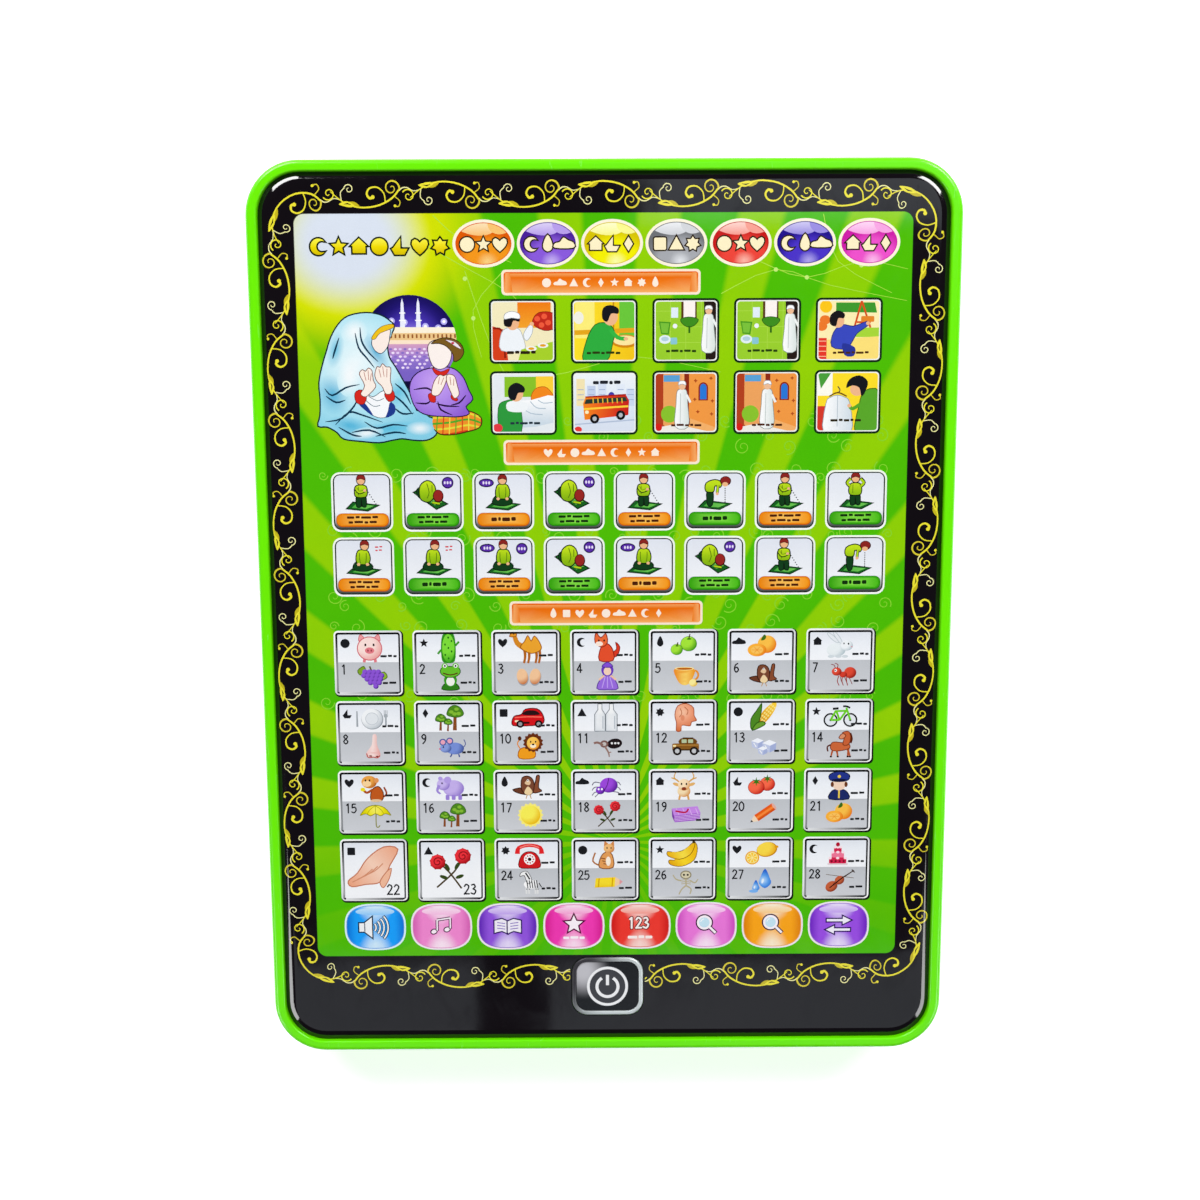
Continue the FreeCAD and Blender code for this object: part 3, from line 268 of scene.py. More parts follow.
def grown(points, by):
    """An outline moved outwards by that many millimetres, without loops in its notches."""
    if area(points) < 0:
        points = points[::-1]
    at = [Vector(p) for p in points]
    out = []
    for i, p in enumerate(at):
        before = (p - at[i - 1]).normalized()
        after = (at[(i + 1) % len(at)] - p).normalized()
        side = Vector((before.y + after.y, -before.x - after.x))
        moved = p + side.normalized() * by / max(side.length / 2, 0.45)
        if gap_to(moved, at) > abs(by) * 0.8:
            out.append(tuple(moved))
    return out


# ---- Print: flat shapes painted one over another, cut into one closed sheet

def film_level(x, y):
    """Height of the film's surface, which rolls down at its edge."""
    from_x = abs(x) - (FILM_HALF_WIDTH - FILM_CORNER)
    from_y = abs(y) - (FILM_HALF_HEIGHT - FILM_CORNER)
    if from_x > 0 and from_y > 0:
        inside = FILM_CORNER - math.hypot(from_x, from_y)
    else:
        inside = FILM_CORNER - max(from_x, from_y)
    past = min(max(FILM_ROLL_RUN - inside, 0), FILM_ROLL_RUN)
    return FILM_TOP - (FILM_ROLL - math.sqrt(FILM_ROLL**2 - past**2))


def key_level(_x, _y):
    return KEY_FACE


def swirl_level(_x, _y):
    return FILM_TOP - SWIRL_SINK


class Print:
    """One printed picture. Its shapes are in millimetres from its own middle."""

    def __init__(self, x=0, y=0):
        self.middle = (x, y)
        self.shapes = []
        self.mask = None
        self.moves = [(0, 0, 1)]

    def at(self, x, y, scale):
        """Draws what follows from another middle, larger or smaller, until back() is called."""
        ox, oy, size = self.moves[-1]
        self.moves.append((ox + x * size, oy + y * size, size * scale))

    def back(self):
        self.moves.pop()

    def fill(self, points, colour, rings=0):
        """Paints an outline. Rings are extra corners inside it, for a colour that changes."""
        ox, oy, size = self.moves[-1]
        placed = shifted(points, ox, oy, size)

        def shaded(x, y):
            return colour((x - ox) / size, (y - oy) / size)

        paint_at = shaded if callable(colour) else colour and rgb(colour)
        cx = sum(p[0] for p in placed) / len(placed)
        cy = sum(p[1] for p in placed) / len(placed)
        for ring in range(rings + 1):
            share = 1 - ring / (rings + 1)
            loop = [(cx + (x - cx) * share, cy + (y - cy) * share) for x, y in placed]
            if area(loop) < 0:
                loop.reverse()
            self.shapes.append((loop, paint_at, self.mask))
        return len(self.shapes) - 1 - rings

    def window(self, points, colour=None, rings=0):
        """Keeps what follows inside an outline, painted or bare, until open() is called."""
        self.mask = self.fill(points, colour, rings)

    def open(self):
        self.mask = None

    def oval(self, x, y, rx, ry, colour, turn=0):
        self.fill(oval(x, y, rx, ry, turn, 14 if max(rx, ry) < 1.2 else 22), colour)

    def ovals(self, columns, y, *look):
        for x in columns:
            self.oval(x, y, *look)

    def discs(self, x, y, *sizes):
        """Ovals about one point, each over the last: width and height from the middle, colour."""
        for rx, ry, colour in sizes:
            self.oval(x, y, rx, ry, colour)

    def blob(self, points, colour, edge=None, width=0.22, rings=0):
        outline = smooth(points)
        if edge:
            self.fill(grown(outline, width / 2), edge)
            outline = grown(outline, -width / 2)
        self.fill(outline, colour, rings)

    def blobs(self, outlines, *look):
        for points in outlines:
            self.blob(points, *look)

    def block(self, x, y, width, height, colour, radius=0):
        self.fill(box(x, y, width, height, radius), colour)

    def line(self, points, width, colour, end=None, middle=None, curved=True):
        path = smooth(points, closed=False) if curved and len(points) > 2 else points
        self.fill(ribbon(path, width, end, middle), colour)

    def lines(self, paths, *look):
        for points in paths:
            self.line(points, *look)

    def ball(self, x, y, rx, ry, light, dark, turn=0):
        """A shaded round shape, lit from the upper left."""
        shade = glow(x - rx * 0.35, y + ry * 0.4, max(rx, ry) * 1.45, light, light, dark)
        self.fill(oval(x, y, rx, ry, turn), shade, rings=4)

    def build(self, name, material, body="case", level=film_level):
        """Cuts the shapes into one closed sheet that lies on the film."""
        corners, loops = [], []
        for loop, _colour, _mask in self.shapes:
            loops.append(list(range(len(corners), len(corners) + len(loop))))
            corners += [Vector(p) for p in loop]
        flat, _edges, faces, _v, _e, owners = delaunay_2d_cdt(corners, [], loops, 1, 1e-4, True)
        kept = []
        for face, ids in zip(faces, owners):
            shown = [i for i in ids if self.shows(i, ids)]
            if shown:
                kept.append((tuple(face), max(shown)))
        mesh_points, mesh_faces, colours = self.sheet(flat, kept, level)
        mesh = bpy.data.meshes.new(name)
        mesh.from_pydata(mesh_points, [], mesh_faces)
        attribute = mesh.color_attributes.new("Print", "FLOAT_COLOR", "CORNER")
        attribute.data.foreach_set("color", colours)
        mesh.materials.append(material)
        piece = bpy.data.objects.new(name, mesh)
        bpy.context.scene.collection.objects.link(piece)
        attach(piece, body)
        return piece

    def shows(self, index, ids):
        """Whether a shape is painted where the shapes of ids overlap."""
        _loop, paint_at, mask = self.shapes[index]
        return paint_at is not None and (mask is None or mask in ids)

    def sheet(self, flat, kept, level):
        """Top, underside and edge walls of the sheet, and the colour at every corner."""
        used = sorted({corner for face, _owner in kept for corner in face})
        renumber = {corner: i for i, corner in enumerate(used)}
        count = len(used)
        top, low = [], []
        for corner in used:
            x = flat[corner].x + self.middle[0]
            y = flat[corner].y + self.middle[1]
            z = level(x, y)
            top.append((x * MM, y * MM, (z + PRINT_RISE) * MM))
            low.append((x * MM, y * MM, (z - PRINT_DEPTH) * MM))
        sides = {}
        faces, colours = [], []

        def add(corners, sources, owner):
            faces.append(corners)
            paint_at = self.shapes[owner][1]
            for source in sources:
                at = flat[source]
                colours.extend(paint_at(at.x, at.y) if callable(paint_at) else paint_at)

        for face, owner in kept:
            add([renumber[c] for c in face], face, owner)
            back = face[::-1]
            add([renumber[c] + count for c in back], back, owner)
            for a, b in zip(face, face[1:] + face[:1]):
                sides[(a, b)] = owner
        for (a, b), owner in sides.items():
            if (b, a) not in sides:
                i, j = renumber[a], renumber[b]
                add([i + count, j + count, j, i], (a, b, b, a), owner)
        return top + low, faces, colours


# ---- Shader nodes

class Shader:
    """Builds one procedural material. Its coordinates are the frame's, in millimetres."""

    def __init__(self, name):
        self.material = bpy.data.materials.new(name)
        self.material.use_nodes = True
        self.tree = self.material.node_tree
        self.tree.nodes.clear()
        self.output = self.tree.nodes.new("ShaderNodeOutputMaterial")
        self.bsdf = self.tree.nodes.new("ShaderNodeBsdfPrincipled")
        self.link(self.bsdf.outputs[0], self.output.inputs[0])
        place = self.tree.nodes.new("ShaderNodeTexCoord")
        self.place = self.vector("SCALE", place.outputs["Object"], scale=1 / MM)

    def link(self, source, target):
        self.tree.links.new(source, target)

    def feed(self, socket, value):
        """Links a socket, or sets it to a number or a colour."""
        if isinstance(value, bpy.types.NodeSocket):
            self.link(value, socket)
        else:
            socket.default_value = value

    def math(self, operation, *values):
        node = self.tree.nodes.new("ShaderNodeMath")
        node.operation = operation
        for socket, value in zip(node.inputs, values):
            self.feed(socket, value)
        return node.outputs[0]

    def vector(self, operation, *values, scale=None):
        node = self.tree.nodes.new("ShaderNodeVectorMath")
        node.operation = operation
        for socket, value in zip(node.inputs, values):
            self.feed(socket, value)
        if scale is not None:
            node.inputs["Scale"].default_value = scale
        return node.outputs["Value" if operation == "LENGTH" else "Vector"]

    def split(self, vector):
        node = self.tree.nodes.new("ShaderNodeSeparateXYZ")
        self.link(vector, node.inputs[0])
        return node.outputs[0], node.outputs[1], node.outputs[2]

    def mix(self, share, one, two):
        node = self.tree.nodes.new("ShaderNodeMix")
        node.data_type = "RGBA"
        self.feed(node.inputs["Factor"], share)
        self.feed(node.inputs[6], one)
        self.feed(node.inputs[7], two)
        return node.outputs[2]

    def noise(self, scale, detail, roughness=0.5, stretch=(1, 1, 1), warp=0):
        """Noise from 0 to 1, with about `scale` bumps in each millimetre."""
        node = self.tree.nodes.new("ShaderNodeTexNoise")
        node.inputs["Scale"].default_value = scale
        node.inputs["Detail"].default_value = detail
        node.inputs["Roughness"].default_value = roughness
        node.inputs["Distortion"].default_value = warp
        self.link(self.vector("MULTIPLY", self.place, stretch), node.inputs["Vector"])
        return node.outputs["Fac"]

    def cells(self, scale):
        node = self.tree.nodes.new("ShaderNodeTexVoronoi")
        node.inputs["Scale"].default_value = scale
        self.link(self.place, node.inputs["Vector"])
        return node.outputs["Distance"]

    def ramp(self, value, low, high, start=0, end=1):
        """Maps low..high to start..end, smoothly and clamped."""
        node = self.tree.nodes.new("ShaderNodeMapRange")
        node.interpolation_type = "SMOOTHSTEP"
        self.feed(node.inputs["Value"], value)
        limits = (("From Min", low), ("From Max", high), ("To Min", start), ("To Max", end))
        for name, number in limits:
            self.feed(node.inputs[name], number)
        return node.outputs["Result"]

    def distance(self, x, y, stretch=1):
        """Distance from a point of the face, in millimetres."""
        across, up, _level = self.split(self.place)
        dx = self.math("SUBTRACT", across, x)
        dy = self.math("MULTIPLY", self.math("SUBTRACT", up, y), stretch)
        squares = [self.math("MULTIPLY", d, d) for d in (dx, dy)]
        return self.math("SQRT", self.math("ADD", *squares))

    def bump(self, height, distance, normal=None):
        """Turns a height of 0 to 1 into a bump of that many millimetres."""
        node = self.tree.nodes.new("ShaderNodeBump")
        node.inputs["Distance"].default_value = distance * MM
        self.link(height, node.inputs["Height"])
        if normal is not None:
            self.link(normal, node.inputs["Normal"])
        return node.outputs["Normal"]

    def finish(self, colour, roughness, normal=None, **more):
        self.feed(self.bsdf.inputs["Base Color"], colour)
        self.feed(self.bsdf.inputs["Roughness"], roughness)
        if normal is not None:
            self.link(normal, self.bsdf.inputs["Normal"])
        for name, value in more.items():
            self.feed(self.bsdf.inputs[name], value)
        return self.material


def moulded(name, code, shade=0.9, rough=(0.2, 0.34), grain=3, depth=0.006):
    """Injection-moulded plastic: slow colour drift, fine surface grain and faint scuffs."""
    shader = Shader(name)
    drift = shader.noise(0.03, 3)
    speck = shader.noise(grain, 3, 0.6)
    scuff = shader.ramp(shader.noise(0.9, 4, 0.62, (1, 0.12, 1), 0.6), 0.62, 0.78)
    base = shader.mix(drift, rgb(code), mixed(code, BLACK, 1 - shade))
    base = shader.mix(shader.math("MULTIPLY", scuff, 0.06), base, rgb("F0F0F0"))
    grainy = shader.ramp(speck, 0.3, 0.7, *rough)
    roughness = shader.math("ADD", grainy, shader.math("MULTIPLY", scuff, 0.12))
    return shader.finish(base, roughness, shader.bump(speck, depth))


def metal(name, code, rough):
    """Plated or ground metal with a fine grain and dull patches."""
    shader = Shader(name)
    grain = shader.noise(2.5, 4, 0.6)
    dull = shader.noise(0.25, 3, 0.55)
    base = shader.mix(dull, rgb(code), mixed(code, BLACK, 0.3))
    roughness = shader.ramp(grain, 0.3, 0.7, *rough)
    return shader.finish(base, roughness, shader.bump(grain, 0.008), Metallic=1)


def patched(name, one, two, scale, limits=(0.4, 0.6), rough=(0.4, 0.6), depth=0.01):
    """A surface of one colour with soft patches of another, and a fine grain."""
    shader = Shader(name)
    pattern = shader.ramp(shader.noise(scale, 3, 0.6), *limits)
    fine = shader.noise(scale * 8, 2)
    base = shader.mix(pattern, rgb(one), rgb(two))
    roughness = shader.ramp(fine, 0.3, 0.7, *rough)
    return shader.finish(base, roughness, shader.bump(fine, depth))


# ---- Film and print materials

def film_coat(shader):
    """The film's clear gloss: slow waves, finger marks and hairline scratches."""
    wave = shader.noise(0.035, 1, 0.4, (1, 0.7, 1), 0.4)
    dimple = shader.noise(0.4, 2, 0.5)
    scratch = shader.ramp(shader.noise(1.4, 3, 0.7, (1, 0.03, 1), 0.3), 0.70, 0.76)
    normal = shader.bump(wave, 0.10)
    normal = shader.bump(dimple, 0.0015, normal=normal)
    smear = shader.noise(0.09, 4, 0.62, (1, 0.6, 1), 0.8)
    smeared = shader.ramp(smear, 0.4, 0.75, 0.05, 0.13)
    return normal, shader.math("ADD", smeared, shader.math("MULTIPLY", scratch, 0.1))


def print_grain(shader, colour):
    """Fine dots of printing ink, which make flat colours slightly uneven."""
    dots = shader.math("MULTIPLY", shader.ramp(shader.cells(4), 0.15, 0.55), 0.04)
    drift = shader.math("MULTIPLY", shader.noise(0.3, 3, 0.6), 0.045)
    return shader.mix(shader.math("ADD", dots, drift), colour, rgb(BLACK))


def panel_mask(shader):
    """1 inside the green panel and 0 outside it."""
    across, up, _level = shader.split(shader.place)
    past = []
    for value, middle, size in ((across, PANEL["x"], PANEL["width"]), (up, PANEL["y"], PANEL["height"])):
        offset = shader.math("ABSOLUTE", shader.math("SUBTRACT", value, middle))
        past.append(shader.math("SUBTRACT", offset, size / 2 - PANEL["radius"]))
    outside = [shader.math("MAXIMUM", value, 0) for value in past]
    squares = [shader.math("MULTIPLY", value, value) for value in outside]
    corner = shader.math("SQRT", shader.math("ADD", *squares))
    inside = shader.math("MINIMUM", shader.math("MAXIMUM", *past), 0)
    return shader.ramp(
        shader.math("ADD", corner, inside), PANEL["radius"] - 0.12, PANEL["radius"] + 0.12, 1, 0,
    )


def ray_mask(shader):
    """1 on the light rays and 0 between them."""
    across, up, _level = shader.split(shader.place)
    dx = shader.math("SUBTRACT", across, RAYS["x"])
    dy = shader.math("DIVIDE", shader.math("SUBTRACT", up, RAYS["y"]), RAYS["stretch"])
    angle = shader.math("SUBTRACT", shader.math("ARCTAN2", dy, dx), math.radians(RAYS["first"]))
    wave = shader.math("COSINE", shader.math("MULTIPLY", angle, RAYS["count"]))
    return shader.ramp(wave, -0.05, 0.45)


def film_material():
    """Clear film over print: a black border, and a green panel with rays and a sun glow."""
    shader = Shader("printed_film")
    _across, up, _level = shader.split(shader.place)
    soft = shader.noise(0.05, 2)
    strength = shader.ramp(up, *RAYS["fade"], 0.12, 1)
    ray = shader.math("MULTIPLY", ray_mask(shader), strength)
    dark = shader.mix(soft, rgb("44BA00"), rgb("54C200"))
    light = shader.mix(soft, rgb("86CF02"), rgb("9AD400"))
    green = shader.mix(ray, dark, light)
    reach = shader.distance(*SUN["middle"], stretch=1.15)
    green = shader.mix(shader.ramp(reach, *SUN["glow"], 1, 0), green, rgb("E3E800"))
    green = shader.mix(shader.ramp(reach, *SUN["core"], 1, 0), green, rgb("DCE4F1"))
    ink = shader.mix(shader.noise(0.05, 3), rgb("07050A"), rgb("110A10"))
    colour = shader.mix(panel_mask(shader), ink, print_grain(shader, green))
    normal, roughness = film_coat(shader)
    return shader.finish(colour, roughness, normal, IOR=FILM_IOR)


def print_material():
    """Print under the film, in the piece's own colours."""
    shader = Shader("print")
    node = shader.tree.nodes.new("ShaderNodeVertexColor")
    node.layer_name = "Print"
    normal, roughness = film_coat(shader)
    return shader.finish(print_grain(shader, node.outputs["Color"]), roughness, normal, IOR=FILM_IOR)


# ---- Small pictures. Each is drawn about its middle, about 8 mm wide and 7 mm high.

def draw_pig(p):
    for side in (-1, 1):
        p.line([(side * 1.2, -2.2), (side * 1.4, -3.4)], 0.7, "E77C86")
        p.blob([(side * 1.2, 2.4), (side * 2.2, 3.5), (side * 2.6, 1.9)], "F3A0A4", "C9545F", 0.16)
    p.oval(0, 0, 3.1, 3, "D76A74")
    p.ball(0, 0, 2.85, 2.75, "FFE3DC", "F2A9A6")
    p.oval(0, -0.5, 1.15, 0.8, "E77C86")
    for side in (-1, 1):
        p.oval(side * 0.4, -0.5, 0.18, 0.28, "8E2F3A")
        p.oval(side, 0.9, 0.25, 0.35, "30181C")


def draw_grapes(p):
    p.blob([(-3.6, 1.8), (-2, 2.9), (-1.6, 1.2), (-3, 0.6)], "7FA52A", "4C6A14")
    p.blob([(1.6, 0.4), (3.2, 1.4), (4, 0), (2.4, -0.8)], "8FB62F", "4C6A14")
    p.line([(-0.5, 2.9), (0, 1.6)], 0.4, "5A4A1E")
    for row, count in enumerate((4, 5, 4, 3, 1)):
        for i in range(count):
            x = (i - (count - 1) / 2) * 1.15 + 0.25 * row
            p.ball(x, 1.4 - row * 0.95, 0.72, 0.68, "8E55D6", "3B1482")


def draw_cucumber(p):
    p.blob([
        (-1.4, 3.2), (0, 3.9), (1.4, 3.3), (1.8, 0), (1.5, -3.2), (0, -3.7), (-1.5, -3.2), (-1.8, 0),
    ], "2E8F16")
    p.ball(0, 0, 1.5, 3.5, "7FE03A", "33A51C")
    for i in range(7):
        p.oval(math.sin(i * 2.1) * 0.9, 2.6 - i * 0.85, 0.2, 0.28, "1C6E12")
    p.lines([[(-2.6, -1.4), (-1.7, -0.4)], [(1.7, 0.6), (2.6, 1.6)]], 0.5, "3B9A1E")


def draw_frog(p):
    p.blob([(-2.3, -3.2), (-1.2, -1.6), (1.2, -1.6), (2.3, -3.2), (0, -3.6)], "2E7F1A", "1C4E10")
    p.oval(0, -0.9, 1.7, 1.7, "3A9A1E")
    p.oval(0, -1.2, 1.1, 1.2, "F4F7EE")
    p.blob([(-2.6, 1.2), (-1.8, 2.6), (1.8, 2.6), (2.6, 1.2), (1.2, 0), (-1.2, 0)], "67C22B", "1E5A12")
    p.line([(-1.9, 1), (0, 0.5), (1.9, 1)], 0.3, "5A1A10")
    for side in (-1, 1):
        p.oval(side * 1.4, 2.8, 0.85, 0.85, "67C22B")
        p.discs(side * 1.4, 2.9, (0.5, 0.5, WHITE), (0.24, 0.3, "101010"))


def draw_camel(p):
    for x in (-0.6, 0.4, 2.2, 3):
        p.line([(x, -0.6), (x + 0.1, -2.2), (x - 0.2, -3.8)], 0.75, "B4641A", 0.5)
    p.line([(-3.1, 3.2), (-2.4, 1.2), (-1, 0.2)], 1, "D98A22", 1.5)
    p.blob([
        (-1.6, 0), (-0.6, 1.6), (0.2, 3), (1, 1.7), (1.8, 2.9), (3, 1.4), (3.4, -0.4), (1, -1.4),
    ], "F0A62E", "A35A14")
    p.blob([(-4.2, 2.8), (-3.6, 3.8), (-2.6, 3.7), (-2.7, 2.8)], "E89A2A", "A35A14")
    p.oval(-3.2, 3.4, 0.14, 0.14, "301808")


def draw_eggs(p):
    for x, turn in ((-1.7, 8), (1.6, -8)):
        p.oval(x + 0.1, -0.3, 1.5, 2.2, "9DA1A6", turn)
        p.ball(x, 0, 1.45, 2.1, "F6C79A", "C9692C", turn)


def draw_fox(p):
    p.blob([(0.6, -2.4), (2.6, -2.2), (3.4, 0), (2.4, 1.2), (2.6, -0.4), (1.4, -1.4)], "E03A22", "8E1A10")
    p.blob([(-1.6, -3.2), (-1.2, 0), (0.2, 1), (1.6, -0.4), (1.8, -3.2)], "E8502C", "8E1A10")
    p.blob([(-2.6, 1.2), (-2.4, 3.6), (-1.2, 2.4), (0, 3.4), (0.4, 1.2), (-1, 0.1)], "EE6A38", "8E1A10")
    p.oval(-1.6, 0.9, 0.9, 0.6, "FFE8D8")
    p.ovals((-1.7, -0.4), 1.7, 0.2, 0.28, "201010")


def draw_doll(p):
    p.blob([(-1, 0.4), (-2.8, -3.2), (0, -3.6), (2.8, -3.2), (1, 0.4)], "9A6CE0", "4E2A90")
    for x in (-1.4, 0, 1.4):
        p.line([(x * 0.4, 0), (x, -3.1)], 0.25, "C3A4F2")
    p.lines([[(-0.8, 0.2), (-2.2, -1)], [(0.8, 0.2), (2.2, -1)]], 0.5, "F4C7A8")
    p.oval(0, 1.6, 1.6, 1.7, "6A3AC0")
    p.oval(0, 1.3, 1, 1.1, "F8D4BC")
    p.blob([(-1.4, 2.6), (0, 3.7), (1.4, 2.6), (0, 2.3)], "8450D8", "4E2A90")


def draw_apples(p):
    for x, y, r in ((1, 0.8, 1.9), (-1.9, -0.6, 1.4)):
        p.oval(x, y, r * 1.06, r * 0.98, "2F7A10")
        p.ball(x, y, r, r * 0.92, "A6E83A", "3F9A14")
        p.line([(x, y + r * 0.6), (x + 0.3, y + r * 1.25)], 0.28, "4A3210")
        p.oval(x + 0.1, y + r * 0.62, r * 0.3, r * 0.1, "2F7A10")


def draw_cup(p):
    p.line(spiral(1.9, 0.2, 1.3, 1.3, 70, -160), 0.5, "E8902A")
    p.fill(smooth([
        (-2.9, 1.9), (2.1, 1.9), (1.8, -0.6), (0.4, -2.4), (-1.4, -2.2), (-2.6, -0.4),
    ]), fade((-2.8, 0), (2.2, 0), "F08A1C", "FFD86A", "F29A22"), 2)
    p.oval(-0.4, 1.9, 2.5, 0.45, "FFE79A")
    p.oval(-0.4, 1.85, 2.1, 0.3, "C26412")
    p.ball(1.9, -1.9, 1.1, 1, "FFF09A", "E8B422")


def draw_orange(p):
    p.ball(0.9, 0.6, 2.3, 2.2, "FFC34A", "EC7A0E")
    p.ball(-1.5, -0.8, 2.3, 1.6, "FFB43A", "E9720C")
    p.oval(-1.5, -0.8, 1.5, 0.95, "FFC860")
    for i in range(6):
        a = math.radians(60 * i)
        p.line([(-1.5, -0.8), (-1.5 + 1.3 * math.cos(a), -0.8 + 0.8 * math.sin(a))], 0.12, "F09020")
    p.blob([(-0.6, 1.6), (0.2, 3), (0.7, 2.4), (0.3, 1.7)], "3F6E1A")


def draw_bird(p):
    p.blob([(-3.9, -0.6), (-1.4, -0.2), (-0.4, -1.8), (-2.6, -1.5)], "6B3A26", "36180E")
    p.blob([(1, -1.4), (1.6, 1.2), (2, 2.9), (2.7, 2.7), (2.4, 0), (3.2, -1)], "8A4C30", "36180E")
    p.blob([(-1.8, -0.4), (-1.6, 2.4), (0.2, 2.7), (1.3, 1.2), (1, -1.4), (-0.6, -1.9)], "7A4630", "36180E")
    p.blob([(-1.1, -1.4), (-0.2, 0.2), (0.9, -1.2), (0, -2)], "F2D6A6")
    p.blob([(-1, 1), (-0.2, 1.9), (0.5, 1.2), (0, 0.5)], "E6C39A")
    p.discs(-0.2, 1.7, (0.25, 0.3, WHITE), (0.13, 0.17, "101010"))
    p.lines([[(-0.4, -2), (-0.7, -2.9)], [(0.3, -2), (0.6, -2.9)]], 0.2, "C08A3A")


def draw_rabbit(p):
    for dx, turn in ((-0.4, 35), (-1.6, 48)):
        p.oval(dx - 0.6, 2.1, 1.9, 0.55, "C4CFD4", turn + 90)
        p.oval(dx - 0.6, 2.1, 1.7, 0.35, "E9EDF2", turn + 90)
    p.ball(-1.4, -0.9, 2.3, 1.7, "EEF4F6", "A9BCC4")
    p.ball(1.2, 0.2, 1.5, 1.3, "F4F8FA", "B4C4CC")
    p.oval(1.6, 0.6, 0.2, 0.26, "202428")
    p.oval(0.5, 0.7, 0.16, 0.22, "202428")
    p.oval(2.4, -0.1, 0.2, 0.16, "D88C96")
    p.ovals((-2.6, -0.8, 0.8), -2.5, 0.8, 0.35, "D4DDE2")


def draw_ant(p):
    for i in range(3):
        p.line([(-1 + i, -0.2), (-1.4 + i * 1.2, -1.6), (-0.9 + i * 1.1, -2.8)], 0.22, "9C2016")
        p.line([(-0.6 + i, -0.2), (-0.4 + i * 1.2, -1.4), (0.1 + i * 1.2, -2.5)], 0.18, "7A1810")
    p.ball(1.9, 0.6, 1.6, 1.5, "E24A34", "8C140E")
    p.ball(0.1, 0.1, 1, 0.8, "D83E2C", "7E120C")
    p.ball(-1.6, 0.9, 1.3, 1.1, "E24A34", "8C140E")
    p.oval(-1.9, 1.2, 0.35, 0.4, WHITE)
    p.oval(-2, 1.2, 0.16, 0.2, "101010")
    p.lines([[(-1.5, 1.8), (-1.3, 2.7), (-2.1, 3.1)], [(-2, 1.8), (-2.3, 2.6), (-3.1, 2.8)]], 0.2, "8C140E")


def draw_plate(p):
    p.oval(0.2, -0.1, 2.7, 2.6, "9CA3AA")
    p.ball(0.1, 0, 2.55, 2.5, "F7F9FB", "C6CDD4")
    p.discs(0.1, 0, (1.6, 1.55, "B9C1C9"), (1.48, 1.43, "E6EAEE"))
    p.line([(-3.5, 1.9), (-3.5, -2)], 0.3, "9CA3AA", 0.45)
    for dx in (-0.35, 0, 0.35):
        p.line([(3.5 + dx, 2.1), (3.5 + dx, 1)], 0.16, "9CA3AA")
    p.line([(3.5, 1), (3.5, -2)], 0.4, "9CA3AA")
    p.oval(3.5, 0.7, 0.5, 0.5, "A9B0B7")


def draw_nose(p):
    p.blob([
        (-0.2, 3.2), (-0.5, 0.6), (-2, -1.6), (-1.6, -2.8), (0, -2.6), (1.2, -3), (1.7, -1.8), (0.9, 0.6),
        (0.8, 3.2),
    ], fade((-2, 0), (1.6, 0), "F6C9C4", "FCE3DE", "E9A49E"), rings=2)
    p.line([(-1.9, -1.7), (-1.5, -2.8), (-0.2, -2.7), (0.8, -2.9), (1.6, -2.3)], 0.28, "B9483E")
    p.oval(-0.9, -2.4, 0.42, 0.2, "7A2A24")
    p.oval(0.8, -2.5, 0.36, 0.18, "7A2A24")


def draw_trees(p):
    crown = [(-2, 0.6), (-1.4, 2.2), (0, 2.9), (1.5, 2.1), (2.1, 0.6), (0.9, -0.1), (-0.9, 0)]
    for x, y, s in ((1.3, 0.4, 1), (-2.2, -0.8, 0.66), (-0.4, -1.5, 0.5)):
        p.line([(x, y), (x - 0.1, y - 3.4 * s)], 0.75 * s, "8A4A22", 0.95 * s)
        p.line([(x, y - 0.6 * s), (x + 0.9 * s, y + 0.6 * s)], 0.3 * s, "8A4A22")
        p.blob(shifted(crown, x, y, s), "4E8A1E", "2C5610", 0.16)
        for dx, dy in ((-0.9, 1.2), (0.4, 1.9), (0.9, 0.8), (-0.1, 0.7)):
            p.oval(x + dx * s, y + dy * s, 0.55 * s, 0.42 * s, "86BE34")


def draw_mouse(p):
    p.line([(2.6, -0.6), (3.6, 0.6), (3.2, 1.9)], 0.25, "4E5C98")
    p.ball(0.8, -0.5, 2.4, 1.6, "7A92DA", "33488E")
    p.ball(-1.6, -0.4, 1.5, 1.2, "8AA0E0", "3A5096")
    for x, y in ((-2.3, 1.2), (-0.5, 1.5)):
        p.discs(x, y, (0.95, 0.95, "4A60A6"), (0.62, 0.62, "F0A9BE"))
    p.oval(-2.2, -0.1, 0.18, 0.24, "101020")
    p.oval(-3.1, -0.6, 0.26, 0.22, "E0607E")
    p.lines([[(0, -2), (-0.4, -2.8)], [(1.8, -2), (2, -2.8)]], 0.35, "33488E")


def draw_car(p):
    p.blob([
        (-3.9, -1.6), (-3.4, 0.4), (-1.6, 0.9), (-0.6, 2.2), (2.2, 2.3), (3.6, 0.9), (3.9, -1), (2.4, -1.8),
        (-2.2, -2),
    ], "D8121A", "5E060A", 0.24)
    p.blob([(-1.2, 0.8), (-0.4, 1.8), (1.9, 1.8), (2.8, 0.8)], "2A1014")
    p.line([(-3.2, 0.1), (0, 0.3), (3.4, 0.2)], 0.3, "FF6A5A")
    p.block(-2.7, -0.8, 1, 0.5, "FFF0C8", 0.2)
    p.block(-0.4, -1.2, 1.6, 0.5, "30060A", 0.2)
    for x in (-1.9, 2.6):
        p.discs(x, -1.5, (0.95, 0.95, "18080A"), (0.5, 0.5, "9A9CA0"))


